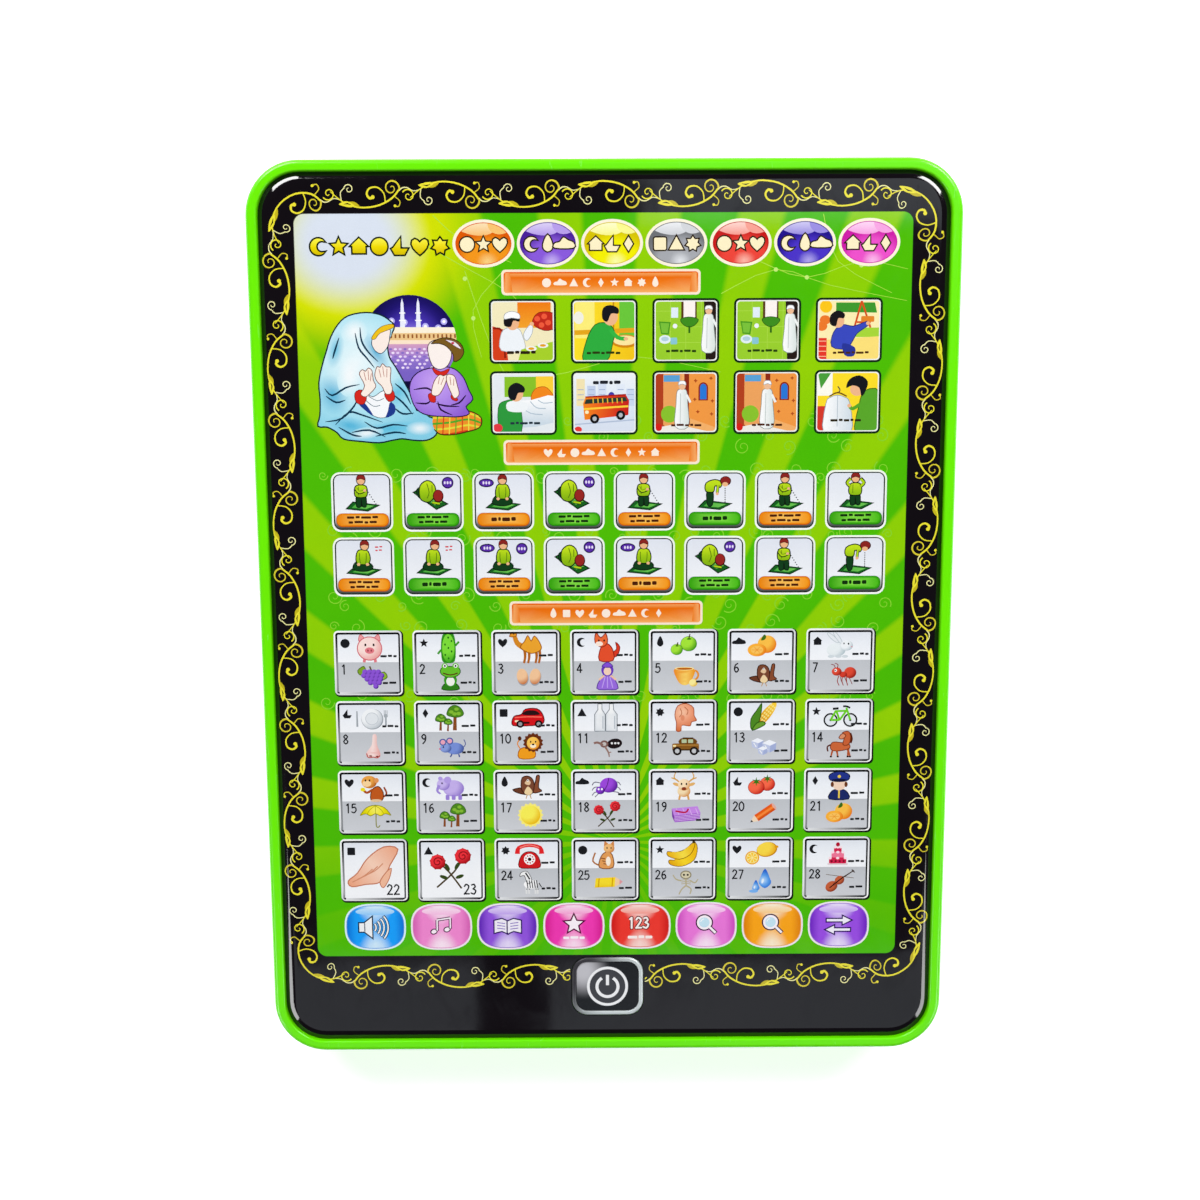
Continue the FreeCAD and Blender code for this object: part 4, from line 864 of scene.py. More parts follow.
def draw_lion(p):
    p.line([(-2.2, -1), (-3.2, 0.6), (-2.6, 1.9)], 0.3, "E88A1A")
    p.oval(-2.6, 2.1, 0.5, 0.6, "5A260C")
    p.blob([(-2.8, -3.2), (-2.6, -0.8), (0, -0.2), (1.4, -1.4), (1, -3.2)], "F6A01E", "A85A0C")
    p.fill(star(0.9, 1, 2.7, 0.84, 14), "6A2E12")
    p.ball(0.9, 0.8, 1.65, 1.7, "FFCB5A", "EE9420")
    p.oval(0.9, 0.1, 0.8, 0.55, "FFF0D0")
    p.oval(0.9, 0.5, 0.35, 0.24, "30120A")
    for side in (-1, 1):
        p.oval(0.9 + side * 0.65, 1.2, 0.2, 0.26, "20100A")


def draw_bottles(p):
    for x, w in ((-1.5, 1.3), (1.3, 1.4)):
        shape = [
            (x - w, -3.4), (x - w, 0.8), (x - 0.5, 2), (x - 0.5, 3.4), (x + 0.5, 3.4), (x + 0.5, 2),
            (x + w, 0.8), (x + w, -3.4),
        ]
        p.fill(shape, fade((x - w, 0), (x + w, 0), "DDE2E8", WHITE, "D4DAE0"), 1)
        p.line(shape + shape[:1], 0.18, "6E767E", curved=False)
        p.line([(x + w * 0.55, 0.4), (x + w * 0.55, -2.8)], 0.22, "B4BCC6")


def draw_key(p):
    p.oval(1.8, 0.6, 2, 1.35, "1C1214", 8)
    p.ovals((1.1, 2, 2.8), 0.7, 0.3, 0.3, "F0F0F0")
    p.discs(-0.9, 0.5, (1.1, 1, "7C5A56"), (0.55, 0.5, "C9C2BE"))
    p.line([(-1.2, 0.2), (-2.6, 0.9), (-3.6, 0.7)], 0.6, "8E6A62")
    p.line([(-0.7, -0.2), (0.2, -1.8), (0.4, -3)], 0.55, "9A7A70", 0.3)
    p.line([(0.2, -1.8), (0.9, -1.7)], 0.3, "9A7A70")


def draw_head(p):
    p.blob([
        (-1.9, -3.4), (-1.9, -1.4), (-2.3, 0.6), (-1.6, 2.8), (0.4, 3.4), (2.2, 2.4), (2.4, 0.4), (3, -0.8),
        (1.8, -1.2), (1.4, -2.2), (-0.6, -2), (-0.8, -3.4),
    ], glow(-0.6, 1.2, 4.6, "FCC9A8", "F4A07A", "D8703E"), "A84E26", 0.2, rings=3)
    p.lines([[(0, 2.6), (0.9, 1.6), (0.6, 0.6)], [(-1, 2.2), (-0.6, 1), (-1.2, 0)]], 0.2, "C4683C")
    p.oval(-0.4, -0.2, 0.5, 0.75, "E8906A")


def draw_jeep(p):
    p.block(0, -0.4, 7, 1.9, "8A5A1E", 0.35)
    p.blob([(-1.6, 0.5), (-1.2, 1.9), (2.2, 1.9), (2.8, 0.5)], "6E4614")
    for x in (-0.4, 1.3):
        p.block(x, 1.15, 1.3, 0.95, "B9C9A0", 0.1)
    p.line([(-3.4, 0.1), (3.4, 0.1)], 0.22, "C08A3E")
    p.block(-2.9, -0.1, 0.8, 0.5, "FFE9A8", 0.15)
    p.block(0, -1.2, 6.9, 0.35, "3A240A")
    p.line([(-0.8, 2), (2, 2)], 0.3, "3A240A")
    for x in (-2.2, 2.2):
        p.discs(x, -1.5, (1.15, 1.15, "1A1410"), (0.6, 0.6, "C9CBCE"))


def draw_corn(p):
    p.fill(oval(0.9, 0.5, 3.9, 1.15, 52), fade((-1, -2), (3, 3), "D98A10", "FFD23A"), 3)
    for i in range(7):
        for j in (-0.55, 0, 0.55):
            t = -2.4 + i * 0.85
            a = math.radians(52)
            p.oval(
                0.9 + t * math.cos(a) - j * math.sin(a), 0.5 + t * math.sin(a) + j * math.cos(a), 0.3, 0.2,
                "FFE98A", 52,
            )
    p.blob([
        (-2.6, -3.2), (-2.8, -0.6), (-1.4, 1.6), (-0.2, 3.3), (-0.4, 0.6), (-1, -1.6),
    ], "4E8A22", "24500E")
    p.blob([(-2.4, -3.4), (0.6, -2), (0.2, -1.2), (-1.4, -1.6)], "6AA02E", "24500E")


def draw_ice(p):
    sides = (
        ([(-1.6, 0.7), (0, 1.5), (1.6, 0.8), (0.2, 0.1)], "F6F8FF"),
        ([(-1.6, 0.7), (0.2, 0.1), (0.1, -1.5), (-1.4, -0.9)], "C2CBE8"),
        ([(0.2, 0.1), (1.6, 0.8), (1.5, -0.8), (0.1, -1.5)], "A7B3DC"),
    )
    for x, y, s in ((-1.6, 0.4, 1), (1.5, -0.3, 1.15), (-0.2, -1.5, 0.8)):
        for side, colour in sides:
            p.fill(shifted(side, x, y, s), colour)
        p.line(shifted([(-1, 0.2), (-0.3, -0.9)], x, y, s), 0.2, WHITE)


def draw_bicycle(p):
    for x in (-2.4, 2.4):
        p.discs(x, -0.9, (1.75, 1.75, "14181A"), (1.35, 1.35, "E8ECF2"), (0.3, 0.3, "14181A"))
    green = "6FD01E"
    p.lines((
        ((-2.4, -0.9), (-0.2, -0.9)), ((-2.4, -0.9), (-1.1, 1.5)), ((-0.2, -0.9), (-1.1, 1.5)),
        ((-1.1, 1.3), (1.5, 1.4)), ((-0.2, -0.9), (1.6, 1.7)), ((2.4, -0.9), (1.4, 2.2)),
    ), 0.5, green)
    p.line([(-1.9, 1.9), (-0.5, 2)], 0.55, "14181A")
    p.line([(0.6, 2.5), (1.5, 2.5), (2.3, 2.1)], 0.45, "14181A")


def draw_horse(p):
    for x, dx in ((-2, -0.7), (-1.4, 0.5), (1.4, 0.9), (1.9, -0.2)):
        p.line([(x, -0.8), (x + dx * 0.6, -2), (x + dx, -3.2)], 0.6, "B4562C", 0.4)
        p.oval(x + dx, -3.2, 0.32, 0.25, "2A120A")
    p.blob([
        (-2.9, -0.6), (-2.2, 0.7), (0.4, 0.5), (1.8, 0.4), (2.2, -0.9), (0, -1.6), (-2.2, -1.6),
    ], "D0683A", "7A3216")
    p.blob([(0.4, 0), (0.8, 2.4), (0.2, 3.2), (1.6, 3.6), (2.4, 2.6), (2, 0.2)], "CC6236", "7A3216")
    p.blob([(0.2, 3), (-0.7, 1.9), (0.2, 1.5), (1.1, 2.4)], "E09068", "7A3216")
    p.line([(2.3, 3.1), (2.7, 1.6), (2.4, 0.4)], 0.5, "5A200C")
    p.line([(-2.8, 0), (-3.7, -0.6), (-3.5, -1.8)], 0.4, "5A200C")


def draw_monkey(p):
    p.line([(1.6, -2.6), (3.2, -1.6), (2.6, 0.2)], 0.45, "9A3E12")
    p.blob([(-0.6, -3.2), (-0.4, -0.6), (1.2, 0.4), (2.4, -1.2), (2, -3.2)], "C45A1E", "5E240A")
    p.line([(-0.2, -0.4), (-1.6, -1.2), (-2.4, -0.6)], 0.6, "B04E1A")
    p.ball(-1, 1.5, 1.9, 1.6, "F2A84A", "B4581A")
    p.oval(-1.6, 1.1, 1.1, 0.8, "FFD9A0")
    p.oval(0.8, 1.9, 0.6, 0.65, "E89A5A")
    p.ovals((-1.9, -0.9), 1.9, 0.2, 0.28, "20100A")
    p.oval(-2.6, -0.4, 0.6, 0.5, "F2E022")
    p.oval(0.6, -3.2, 1.4, 0.35, "E8C8A0")


def draw_umbrella(p):
    p.line([(0.2, 2.6), (0.1, -2.4), (0.6, -3.1), (1.1, -2.6)], 0.28, "8A8A30")
    p.blob([
        (-4, 0.2), (-2.4, 2.2), (0, 2.9), (2.4, 2.2), (4, 0.2), (2.6, 0.6), (1.3, 0), (0, 0.6), (-1.3, 0),
        (-2.6, 0.6),
    ], glow(0, 1.6, 4.2, "FFF86A", "F2E612", "C9C004"), "8E8A04", 0.2, rings=2)
    for x in (-2.2, 0, 2.2):
        p.line([(0, 2.8), (x * 0.7, 1.6), (x, 0.4)], 0.16, "A8A406")


def draw_elephant(p):
    p.ball(0.6, -0.2, 2.6, 2.1, "C9B4F0", "8C70CC")
    for x in (-0.9, 0.6, 2.2):
        p.block(x, -2.5, 0.95, 1.3, "9E84DA", 0.25)
    p.ball(-1.9, 0.8, 1.6, 1.5, "CDBAF2", "9278D0")
    p.oval(-0.8, 1.9, 0.9, 0.9, "B7A0E8")
    p.oval(-2.6, 2.3, 0.55, 0.5, "B7A0E8")
    p.line([(-2.9, 0.6), (-3.4, -0.8), (-2.6, -1.6)], 0.8, "A48CDE", 0.4)
    p.oval(-2.2, 1.1, 0.18, 0.24, "281A50")


def draw_sun(p):
    p.fill(star(0, 0, 3.4, 0.86, 16), "FFF27A")
    p.ball(0, 0, 2.6, 2.6, "FFF45A", "F2BE0A")


def draw_beetle(p):
    for side in (-1, 1):
        for i in range(3):
            p.line([
                (side, 0.8 - i), (side * 2.8, 1.2 - i * 1.3), (side * 3.5, 0.4 - i * 1.3),
            ], 0.2, "2C1050")
    p.ball(0.6, 0.4, 2.2, 1.9, "A04AE0", "4A1290")
    p.ball(-1.5, -0.9, 1.1, 1, "8A3AD0", "3A0E78")
    p.line([(0.6, 2.2), (0.2, 0.4), (-0.6, -1)], 0.16, "2C1050")
    p.ovals((-1.9, -1.1), -0.6, 0.24, 0.28, WHITE)
    p.line([(-1.9, -1.7), (-2.8, -2.6)], 0.18, "2C1050")


def rose(p, x, y, r):
    p.fill(star(x, y, r * 1.1, 0.84, 9), "8E0C12")
    p.ball(x, y, r, r, "F0303A", "A80C16")
    p.line(spiral(x, y, r * 0.65, r * 0.12, 20, 480, 18), 0.16, "780810")


def draw_roses(p):
    p.lines([
        [(-2.4, 1.4), (-0.4, -0.6), (1.6, -3.4)], [(2, 2.2), (0.4, -0.4), (-2.6, -3.2)],
    ], 0.3, "4A3A20")
    for x, y, turn in ((0.9, 0.6, 60), (-0.8, 0.4, 120), (-1.4, -1.4, 160), (1.3, -1.3, 20)):
        p.oval(x, y, 0.75, 0.32, "35481A", turn)
    rose(p, -2.4, 1.3, 1.3)
    rose(p, 1.9, 2.3, 1.35)


def draw_deer(p):
    for side in (-1, 1):
        p.line([(side * 0.7, 0.8), (side * 2.4, 2.2), (side * 2, 3.6)], 0.4, "D9A24A", 0.22)
        p.line([(side * 1.6, 1.6), (side * 3.1, 2.2)], 0.3, "D9A24A")
        p.oval(side * 1.9, 0.5, 0.9, 0.4, "E8B46A", side * 20)
        p.line([(side * 0.8, -1.6), (side * 1.2, -3.4)], 0.5, "E0A65A")
    p.ball(0, -1.2, 1.6, 1.5, "FBE2B4", "D9924A")
    p.ball(0, 0.4, 1.5, 1.5, "FFE6BE", "E4A45A")
    p.oval(0, -0.6, 0.6, 0.42, "8E3A1E")
    p.ovals((-0.6, 0.6), 0.6, 0.2, 0.3, "201008")


def draw_quilt(p):
    p.fill([(-3.6, 1.6), (3.2, 2.2), (4, 0.4), (-3, -0.4)], "C98AE8")
    p.fill([(-3.6, 1.6), (-3, -0.4), (-2.8, -2.2), (-3.5, -0.6)], "7E3AA8")
    p.fill([(-3, -0.4), (4, 0.4), (3.8, -1.6), (-2.8, -2.2)], "A45CCE")
    for i in range(4):
        p.line([(-2.9, -0.7 - i * 0.38), (3.9, 0.1 - i * 0.42)], 0.14, "E4C0F4")
    for i in range(4):
        p.line([(-2.4 + i * 1.7, 1.6), (-1.7 + i * 1.7, -0.1)], 0.16, "E4C0F4")
    p.line([(-2.6, 0.9), (0, 0.5), (0.8, 1.5)], 0.45, "C01A4A")


def draw_tomatoes(p):
    for x, y, r in ((1.4, 0.5, 1.85), (-1.3, -0.3, 1.95)):
        p.oval(x, y, r * 1.05, r * 0.95, "7E0C0A")
        p.ball(x, y, r, r * 0.9, "FF6A4A", "C4140E")
        p.fill(star(x, y + r * 0.72, r * 0.6, 0.35, 6), "3A7A16")


def draw_pencil(p):
    a = math.radians(35)
    c, s = math.cos(a), math.sin(a)

    def turned(points):
        return [(x * c - y * s, x * s + y * c) for x, y in points]

    p.fill(
        turned([(-2, -1), (3.6, -1), (3.6, 1), (-2, 1)]),
        fade((0.7, -1), (-0.6, 0.9), "C4400C", "F4681A", "E85610"), 2,
    )
    p.fill(turned([(-2, 0.3), (3.6, 0.3), (3.6, -0.3), (-2, -0.3)]), "FF8A3A")
    p.fill(turned([(-2, -1), (-2, 1), (-4, 0)]), "F6DDC0")
    p.fill(turned([(-3.3, -0.35), (-3.3, 0.35), (-4, 0)]), "30241C")
    p.fill(turned(oval(3.6, 0, 0.35, 1)), "E8B0A0")


def draw_officer(p):
    p.blob([(-2.4, -3.4), (-1.8, -1.4), (0, -0.9), (1.8, -1.4), (2.4, -3.4)], "1C2A66", "0A1030")
    p.line([(0, -1.1), (0, -3.2)], 0.4, "F2D24A")
    p.oval(0, 0.4, 1.7, 1.6, "F8D8C0")
    p.blob([(-2.2, 1.4), (-2.4, 2.8), (0, 3.6), (2.4, 2.8), (2.2, 1.4), (0, 1)], "22348A", "0A1030")
    p.blob([(-1.9, 1.5), (0, 1), (1.9, 1.5), (0, 1.7)], "0C1438")
    p.oval(0, 2.3, 0.4, 0.4, "F2D24A")
    p.ovals((-1.7, 1.7), 0.3, 0.4, 0.7, "6E3A1E")


def draw_hand(p):
    skin = fade((-4, -3), (4, 4), "F2A884", "FBD3BC", "F0A582")
    p.blob([
        (4, 3.6), (1.6, 4), (-1.2, 2), (-3, -0.6), (-4.6, -2), (-4, -3), (-1.6, -2.6), (0.4, -2.4),
        (1.6, -1.4), (2.6, 0.8),
    ], skin, "C97A5A", 0.2, rings=3)
    for i in range(3):
        p.line([
            (-3.9 + i * 0.9, -2.2 + i * 0.5), (-2 + i, -1.2 + i * 0.5), (-0.4 + i * 0.9, 0.1 + i * 0.5),
        ], 0.18, "D88E6C")
    p.blob([(1.8, -0.6), (0.8, -2.2), (1.4, -3.2), (2.4, -1.6), (2.8, 0.2)], "F6BE9E", "C97A5A", 0.16)


def draw_telephone(p):
    p.blob([
        (-2.6, -3), (-2.3, -0.6), (-1, 0.8), (1, 0.8), (2.3, -0.6), (2.6, -3), (0, -3.3),
    ], "D41A1E", "6A0608", 0.2)
    p.line([(-3, 0.4), (-2.6, 2), (0, 2.6), (2.6, 2), (3, 0.4)], 1.3, "E8262A", 1.3, 0.9)
    p.line([(-2.4, 2), (0, 2.7), (2.4, 2)], 0.25, "FF8A80")
    p.oval(0, -1, 1.4, 1.4, WHITE)
    for i in range(9):
        a = 2 * math.pi * i / 9
        p.oval(math.cos(a) * 0.95, -1 + math.sin(a) * 0.95, 0.2, 0.2, "C41418")
    p.oval(0, -1, 0.45, 0.45, "30060A")


def draw_zebra(p):
    for x in (-1.4, -0.7, 1, 1.6):
        p.line([(x, -0.8), (x + 0.1, -3)], 0.45, "E4E4E4")
        p.line([(x, -1.7), (x + 0.4, -1.7)], 0.2, "202020")
    p.ball(0.1, -0.4, 2.1, 1.2, WHITE, "C4C6CA")
    p.blob([(-1, -0.2), (-1.8, 2), (-3, 1.8), (-2.6, 2.9), (-1, 3.1), (0.2, 0.6)], "F6F6F6", "404040", 0.16)
    for i in range(5):
        p.line([(-1.2 + i * 0.65, 0.7), (-0.9 + i * 0.65, -1.4)], 0.26, "202224")
    p.line([(-1.5, 2.8), (-0.4, 1)], 0.4, "202224")
    p.line([(2, 0), (2.7, -1.2)], 0.25, "202224")


def draw_cat(p):
    p.line([(-1.6, -2.8), (-3.4, -1.6), (-2.8, 0.6)], 0.4, "B4703A")
    p.blob([(-1.8, -3.2), (-1.4, -0.4), (0, 0.8), (1.4, 0), (1.6, -3.2)], "E8A05A", "7A3E16")
    p.ball(0.6, 1.7, 1.35, 1.2, "F6BE7A", "CC7A3A")
    p.fill([(-0.7, 2.2), (-0.5, 3.7), (0.4, 2.9)], "D88A4A")
    p.fill([(1, 2.9), (1.8, 3.7), (1.9, 2.2)], "D88A4A")
    for i in range(3):
        p.line([(-1.4 + i * 0.3, -0.8 - i * 0.7), (-0.3 + i * 0.2, -1 - i * 0.7)], 0.24, "8A4A1E")
    p.oval(0.4, -1.6, 0.6, 1.2, "FFF2E0")
    p.ovals((0.1, 1.1), 1.8, 0.16, 0.22, "201008")


def draw_crayon(p):
    p.fill([
        (-3.6, -1.4), (-3.3, 1.2), (1.9, 1.5), (1.7, -1.2),
    ], fade((0, -1.4), (0, 1.4), "F2C406", "FFEC3A", "FFD81A"), 1)
    p.fill([(1.9, 1.5), (3.4, 0.6), (3.3, -0.4), (1.7, -1.2)], "F6D2A8")
    p.fill([(3, 0.85), (3.9, 0.2), (3, -0.6)], "E49AA0")
    p.lines([[(-2.6, -1.3), (-2.4, 1.2)], [(1, -1.2), (1.2, 1.4)]], 0.3, "D8A404")


def draw_bananas(p):
    p.blob([
        (2.2, 3.2), (1.4, 0.4), (-1, -1.4), (-3.6, -1.4), (-3.2, -2.6), (-0.4, -3), (2.6, -1.4), (3.4, 1.6),
        (2.8, 3.2),
    ], fade((-3, -3), (2, 1), "E8A40A", "FFDC2A", "F6C014"), "8A6206", 0.18, rings=2)
    p.blob([
        (2.4, 3.2), (0.4, 1.4), (-2, 0.6), (-4, 0.8), (-3.8, -0.4), (-1, -1.2), (1.6, 0), (2.7, 2.2),
    ], fade((-3, -1), (2, 2), "F2B60E", "FFE64A", "F4BE12"), "8A6206", 0.18, rings=2)
    p.line([(2.5, 2.9), (2.4, 3.9)], 0.6, "4A3A10")


def draw_xray(p):
    bone = "B9AE8C"
    p.discs(0.2, 2, (1.5, 1.2, "8E8468"), (1.2, 0.9, "D9D0B0"))
    p.ovals((-0.3, 0.7), 2, 0.3, 0.3, "3A362A")
    p.line([(0.2, 0.9), (0.3, -1)], 0.4, bone)
    for i in range(3):
        p.line([(-1, 0.5 - i * 0.5), (0.3, 0.7 - i * 0.5), (1.5, 0.4 - i * 0.5)], 0.22, bone)
    p.lines((
        ((-1, 0.4), (-2.4, 0.8), (-3.2, 2)), ((1.4, 0.4), (2.6, -0.2), (3.4, 0.8)),
        ((0.2, -1), (-0.9, -2), (-1.6, -3.4)), ((0.3, -1), (1.6, -1.9), (1.3, -3.3)),
    ), 0.42, bone, 0.3)


def draw_lemons(p):
    p.oval(1.5, 1.2, 2.6, 1.9, "C98A04", 12)
    p.ball(1.4, 1.3, 2.4, 1.75, "FFDE4A", "EFA40C", 12)
    p.oval(3.9, 1.9, 0.5, 0.35, "E8A010")
    p.discs(-2.1, -0.9, (1.75, 1.75, "F2A80C"), (1.45, 1.45, "FFF0A0"))
    for i in range(8):
        a = math.pi / 4 * i
        p.fill(
            [
                (
                    -2.1 + math.cos(a + d) * r, -0.9 + math.sin(a + d) * r,
                ) for r, d in ((0.15, 0), (1.3, -0.28), (1.3, 0.28))
            ],
            "FFCB2E",
        )


def draw_water(p):
    shape = [(0, 3.2), (1.3, 0.6), (1.6, -0.9), (0, -2.2), (-1.6, -0.9), (-1.3, 0.6)]
    for x, y, s in ((0.8, 0.4, 1), (-1.6, -1.4, 0.6)):
        p.blob(
            shifted(shape, x, y, s), glow(x - 0.5 * s, y, 2.8 * s, "BFE0FF", "5AA2F0", "1C5ACC"), rings=3,
        )
        p.oval(x - 0.6 * s, y - 0.2 * s, 0.3 * s, 0.7 * s, "EAF6FF", -15)
    p.oval(-2.2, -2.6, 1.2, 0.45, "7AB4F4")


def draw_cake(p):
    p.block(0, -2.6, 5, 0.6, "E8D4DC", 0.2)
    p.block(0, -1.7, 4.3, 1.6, "D8224E", 0.35)
    p.block(0, -0.2, 3.1, 1.5, "F4799A", 0.3)
    p.block(0, 1.1, 1.9, 1.2, "D8224E", 0.25)
    for y, w in ((-1.1, 1.9), (0.4, 1.3), (1.7, 0.7)):
        for i in range(3):
            p.oval((i - 1) * w, y, 0.42, 0.32, "FFE4EC")
    p.oval(0, 2.4, 0.5, 0.55, "B40E30")
    for i in range(4):
        p.oval(-1.5 + i, -1.9, 0.28, 0.28, "7A0A24")


def draw_violin(p):
    p.line([(0.9, 0.9), (4, 3)], 0.4, "3A2418", 0.25)
    p.line([(-3.4, 1.9), (4, 0.9)], 0.16, "6E5A4A")
    p.ball(-1.9, -1.4, 1.7, 1.4, "C8603A", "6E2010", 35)
    p.ball(0.2, 0.3, 1.35, 1.15, "C8603A", "6E2010", 35)
    p.oval(-0.9, -0.6, 0.75, 0.5, "A8482A", 35)
    p.line([(-2.4, -1.8), (1.2, 1.2)], 0.3, "24100A")
    p.line([(3.4, 3.2), (4.2, 2.4)], 0.3, "3A2418")


LETTER_PICTURES = (
    (draw_pig, draw_grapes),
    (draw_cucumber, draw_frog),
    (draw_camel, draw_eggs),
    (draw_fox, draw_doll),
    (draw_apples, draw_cup),
    (draw_orange, draw_bird),
    (draw_rabbit, draw_ant),
    (draw_plate, draw_nose),
    (draw_trees, draw_mouse),
    (draw_car, draw_lion),
    (draw_bottles, draw_key),
    (draw_head, draw_jeep),
    (draw_corn, draw_ice),
    (draw_bicycle, draw_horse),
    (draw_monkey, draw_umbrella),
    (draw_elephant, draw_trees),
    (draw_bird, draw_sun),
    (draw_beetle, draw_roses),
    (draw_deer, draw_quilt),
    (draw_tomatoes, draw_pencil),
    (draw_officer, draw_orange),
    (draw_hand, None),
    (draw_roses, None),
    (draw_telephone, draw_zebra),
    (draw_cat, draw_crayon),
    (draw_bananas, draw_xray),
    (draw_lemons, draw_water),
    (draw_cake, draw_violin),
)


# ---- Digits, plain symbols and rows of dashes, in place of lettering

# strokes of each digit, in a box one unit wide and two units high
DIGITS = {
    "0": [[(0.5, 2), (0.05, 1.5), (0.05, 0.5), (0.5, 0), (0.95, 0.5), (0.95, 1.5), (0.5, 2)]],
    "1": [[(0.2, 1.6), (0.6, 2)], [(0.6, 2), (0.6, 0)]],
    "2": [[(0.05, 1.5), (0.4, 2), (0.9, 1.7), (0.8, 1.1), (0.05, 0.02)], [(0, 0.08), (1, 0.08)]],
    "3": [
        [(0.05, 1.8), (0.6, 2), (0.85, 1.5), (0.4, 1.08)],
        [(0.4, 1.08), (0.95, 0.7), (0.6, 0.02), (0.02, 0.25)],
    ],
    "4": [[(0.7, 0), (0.7, 2)], [(0.7, 2), (0, 0.6)], [(0, 0.6), (1, 0.6)]],
    "5": [
        [(0.9, 1.92), (0.15, 1.92)], [(0.15, 1.92), (0.1, 1.1)],
        [(0.1, 1.1), (0.7, 1.25), (0.95, 0.6), (0.5, 0), (0, 0.2)],
    ],
    "6": [[(0.85, 1.9), (0.3, 1.6), (0.05, 0.7), (0.4, 0), (0.92, 0.45), (0.6, 1.08), (0.12, 0.8)]],
    "7": [[(0.02, 1.92), (0.98, 1.92)], [(0.98, 1.92), (0.35, 0)]],
    "8": [
        [
            (0.5, 1.08), (0.1, 1.55), (0.5, 2), (0.9, 1.55), (0.5, 1.08), (0.05, 0.5), (0.5, 0),
            (0.95, 0.5), (0.5, 1.08),
        ]
    ],
    "9": [[(0.88, 1.3), (0.5, 0.95), (0.08, 1.5), (0.5, 2), (0.92, 1.6), (0.8, 0.6), (0.3, 0)]],
}


def draw_number(p, number, x, y, height, colour="1A1C20", weight=0.15):
    """A number, from its left edge at x and its base at y."""
    unit = height / 2
    for index, digit in enumerate(str(number)):
        left = x + index * unit * 1.35
        for stroke in DIGITS[digit]:
            points = smooth([(left + u * unit, y + v * unit) for u, v in stroke], False, 2)
            for a, b in zip(points, points[1:]):
                p.line([a, b], weight * height, colour)
                p.fill(oval(*b, weight * height / 2, count=8), colour)


def draw_dashes(p, x, y, widths, colour="26282C", height=0.6, gap=0.32):
    """A row of short bars that stands for a word."""
    left = x - (sum(widths) + gap * (len(widths) - 1)) / 2
    for index, width in enumerate(widths):
        lift = 0.1 if index % 2 else 0
        p.block(left + width / 2, y + lift, width, height, colour, height * 0.3)
        left += width + gap


def heart(x, y, r):
    side = [(0.3, 0.72), (0.62, 0.86), (0.93, 0.66), (1, 0.26), (0.8, -0.22), (0.45, -0.62)]
    outline = [(0, 0.42)] + side + [(0, -1)] + [(-u, v) for u, v in reversed(side)]
    return shifted(outline, x, y, r)


def crescent(x, y, r):
    outer = spiral(x, y, r, r, 40.5, 279, 20)
    inner = spiral(x + r * 0.45, y, r * 0.72, r * 0.72, 295.5, -231, 16)
    return outer + inner[1:-1]


def drop(x, y, r):
    outline = [(0, 1.3), (0.6, 0.2), (0.6, -0.6), (0, -1), (-0.6, -0.6), (-0.6, 0.2)]
    return smooth(shifted(outline, x, y, r))


def cloud(x, y, r):
    outline = [(-1.3, -0.5), (-1.3, 0.1), (-0.6, 0.3), (-0.1, 0.9), (0.6, 0.5), (1.3, 0.2), (1.3, -0.5)]
    return smooth(shifted(outline, x, y, r))


def house(x, y, r):
    outline = [(-0.8, -0.8), (0.8, -0.8), (0.8, 0.1), (1, 0.1), (0, 1), (-1, 0.1), (-0.8, 0.1)]
    return shifted(outline, x, y, r)


def boat(x, y, r):
    outline = [(-1, -0.3), (-0.6, -1), (0.6, -1), (1, -0.3), (0.1, -0.3), (0.1, 1), (-0.8, -0.2)]
    return shifted(outline, x, y, r)


def diamond(x, y, r):
    return star(x, y, r, 0.62, 2)


def ring_points(x, y, r):
    return oval(x, y, r, r, 0, 20)


SYMBOLS = {
    "circle": ring_points,
    "star": star,
    "heart": heart,
    "moon": crescent,
    "drop": drop,
    "cloud": cloud,
    "house": house,
    "boat": boat,
    "diamond": diamond,
    "square": lambda x, y, r: box(x, y, r * 1.7, r * 1.7, r * 0.2),
    "triangle": lambda x, y, r: shifted([(-1, -0.8), (1, -0.8), (0, 1)], x, y, r),
    "flower": lambda x, y, r: star(x, y, r, 0.66, 7),
}
SYMBOL_ORDER = list(SYMBOLS)


def draw_symbol(p, name, x, y, r, colour, edge=None, width=0.3):
    points = SYMBOLS[name](x, y, r)
    if edge:
        p.fill(grown(points, width), edge)
    p.fill(points, colour)


# ---- Keys of the printed face

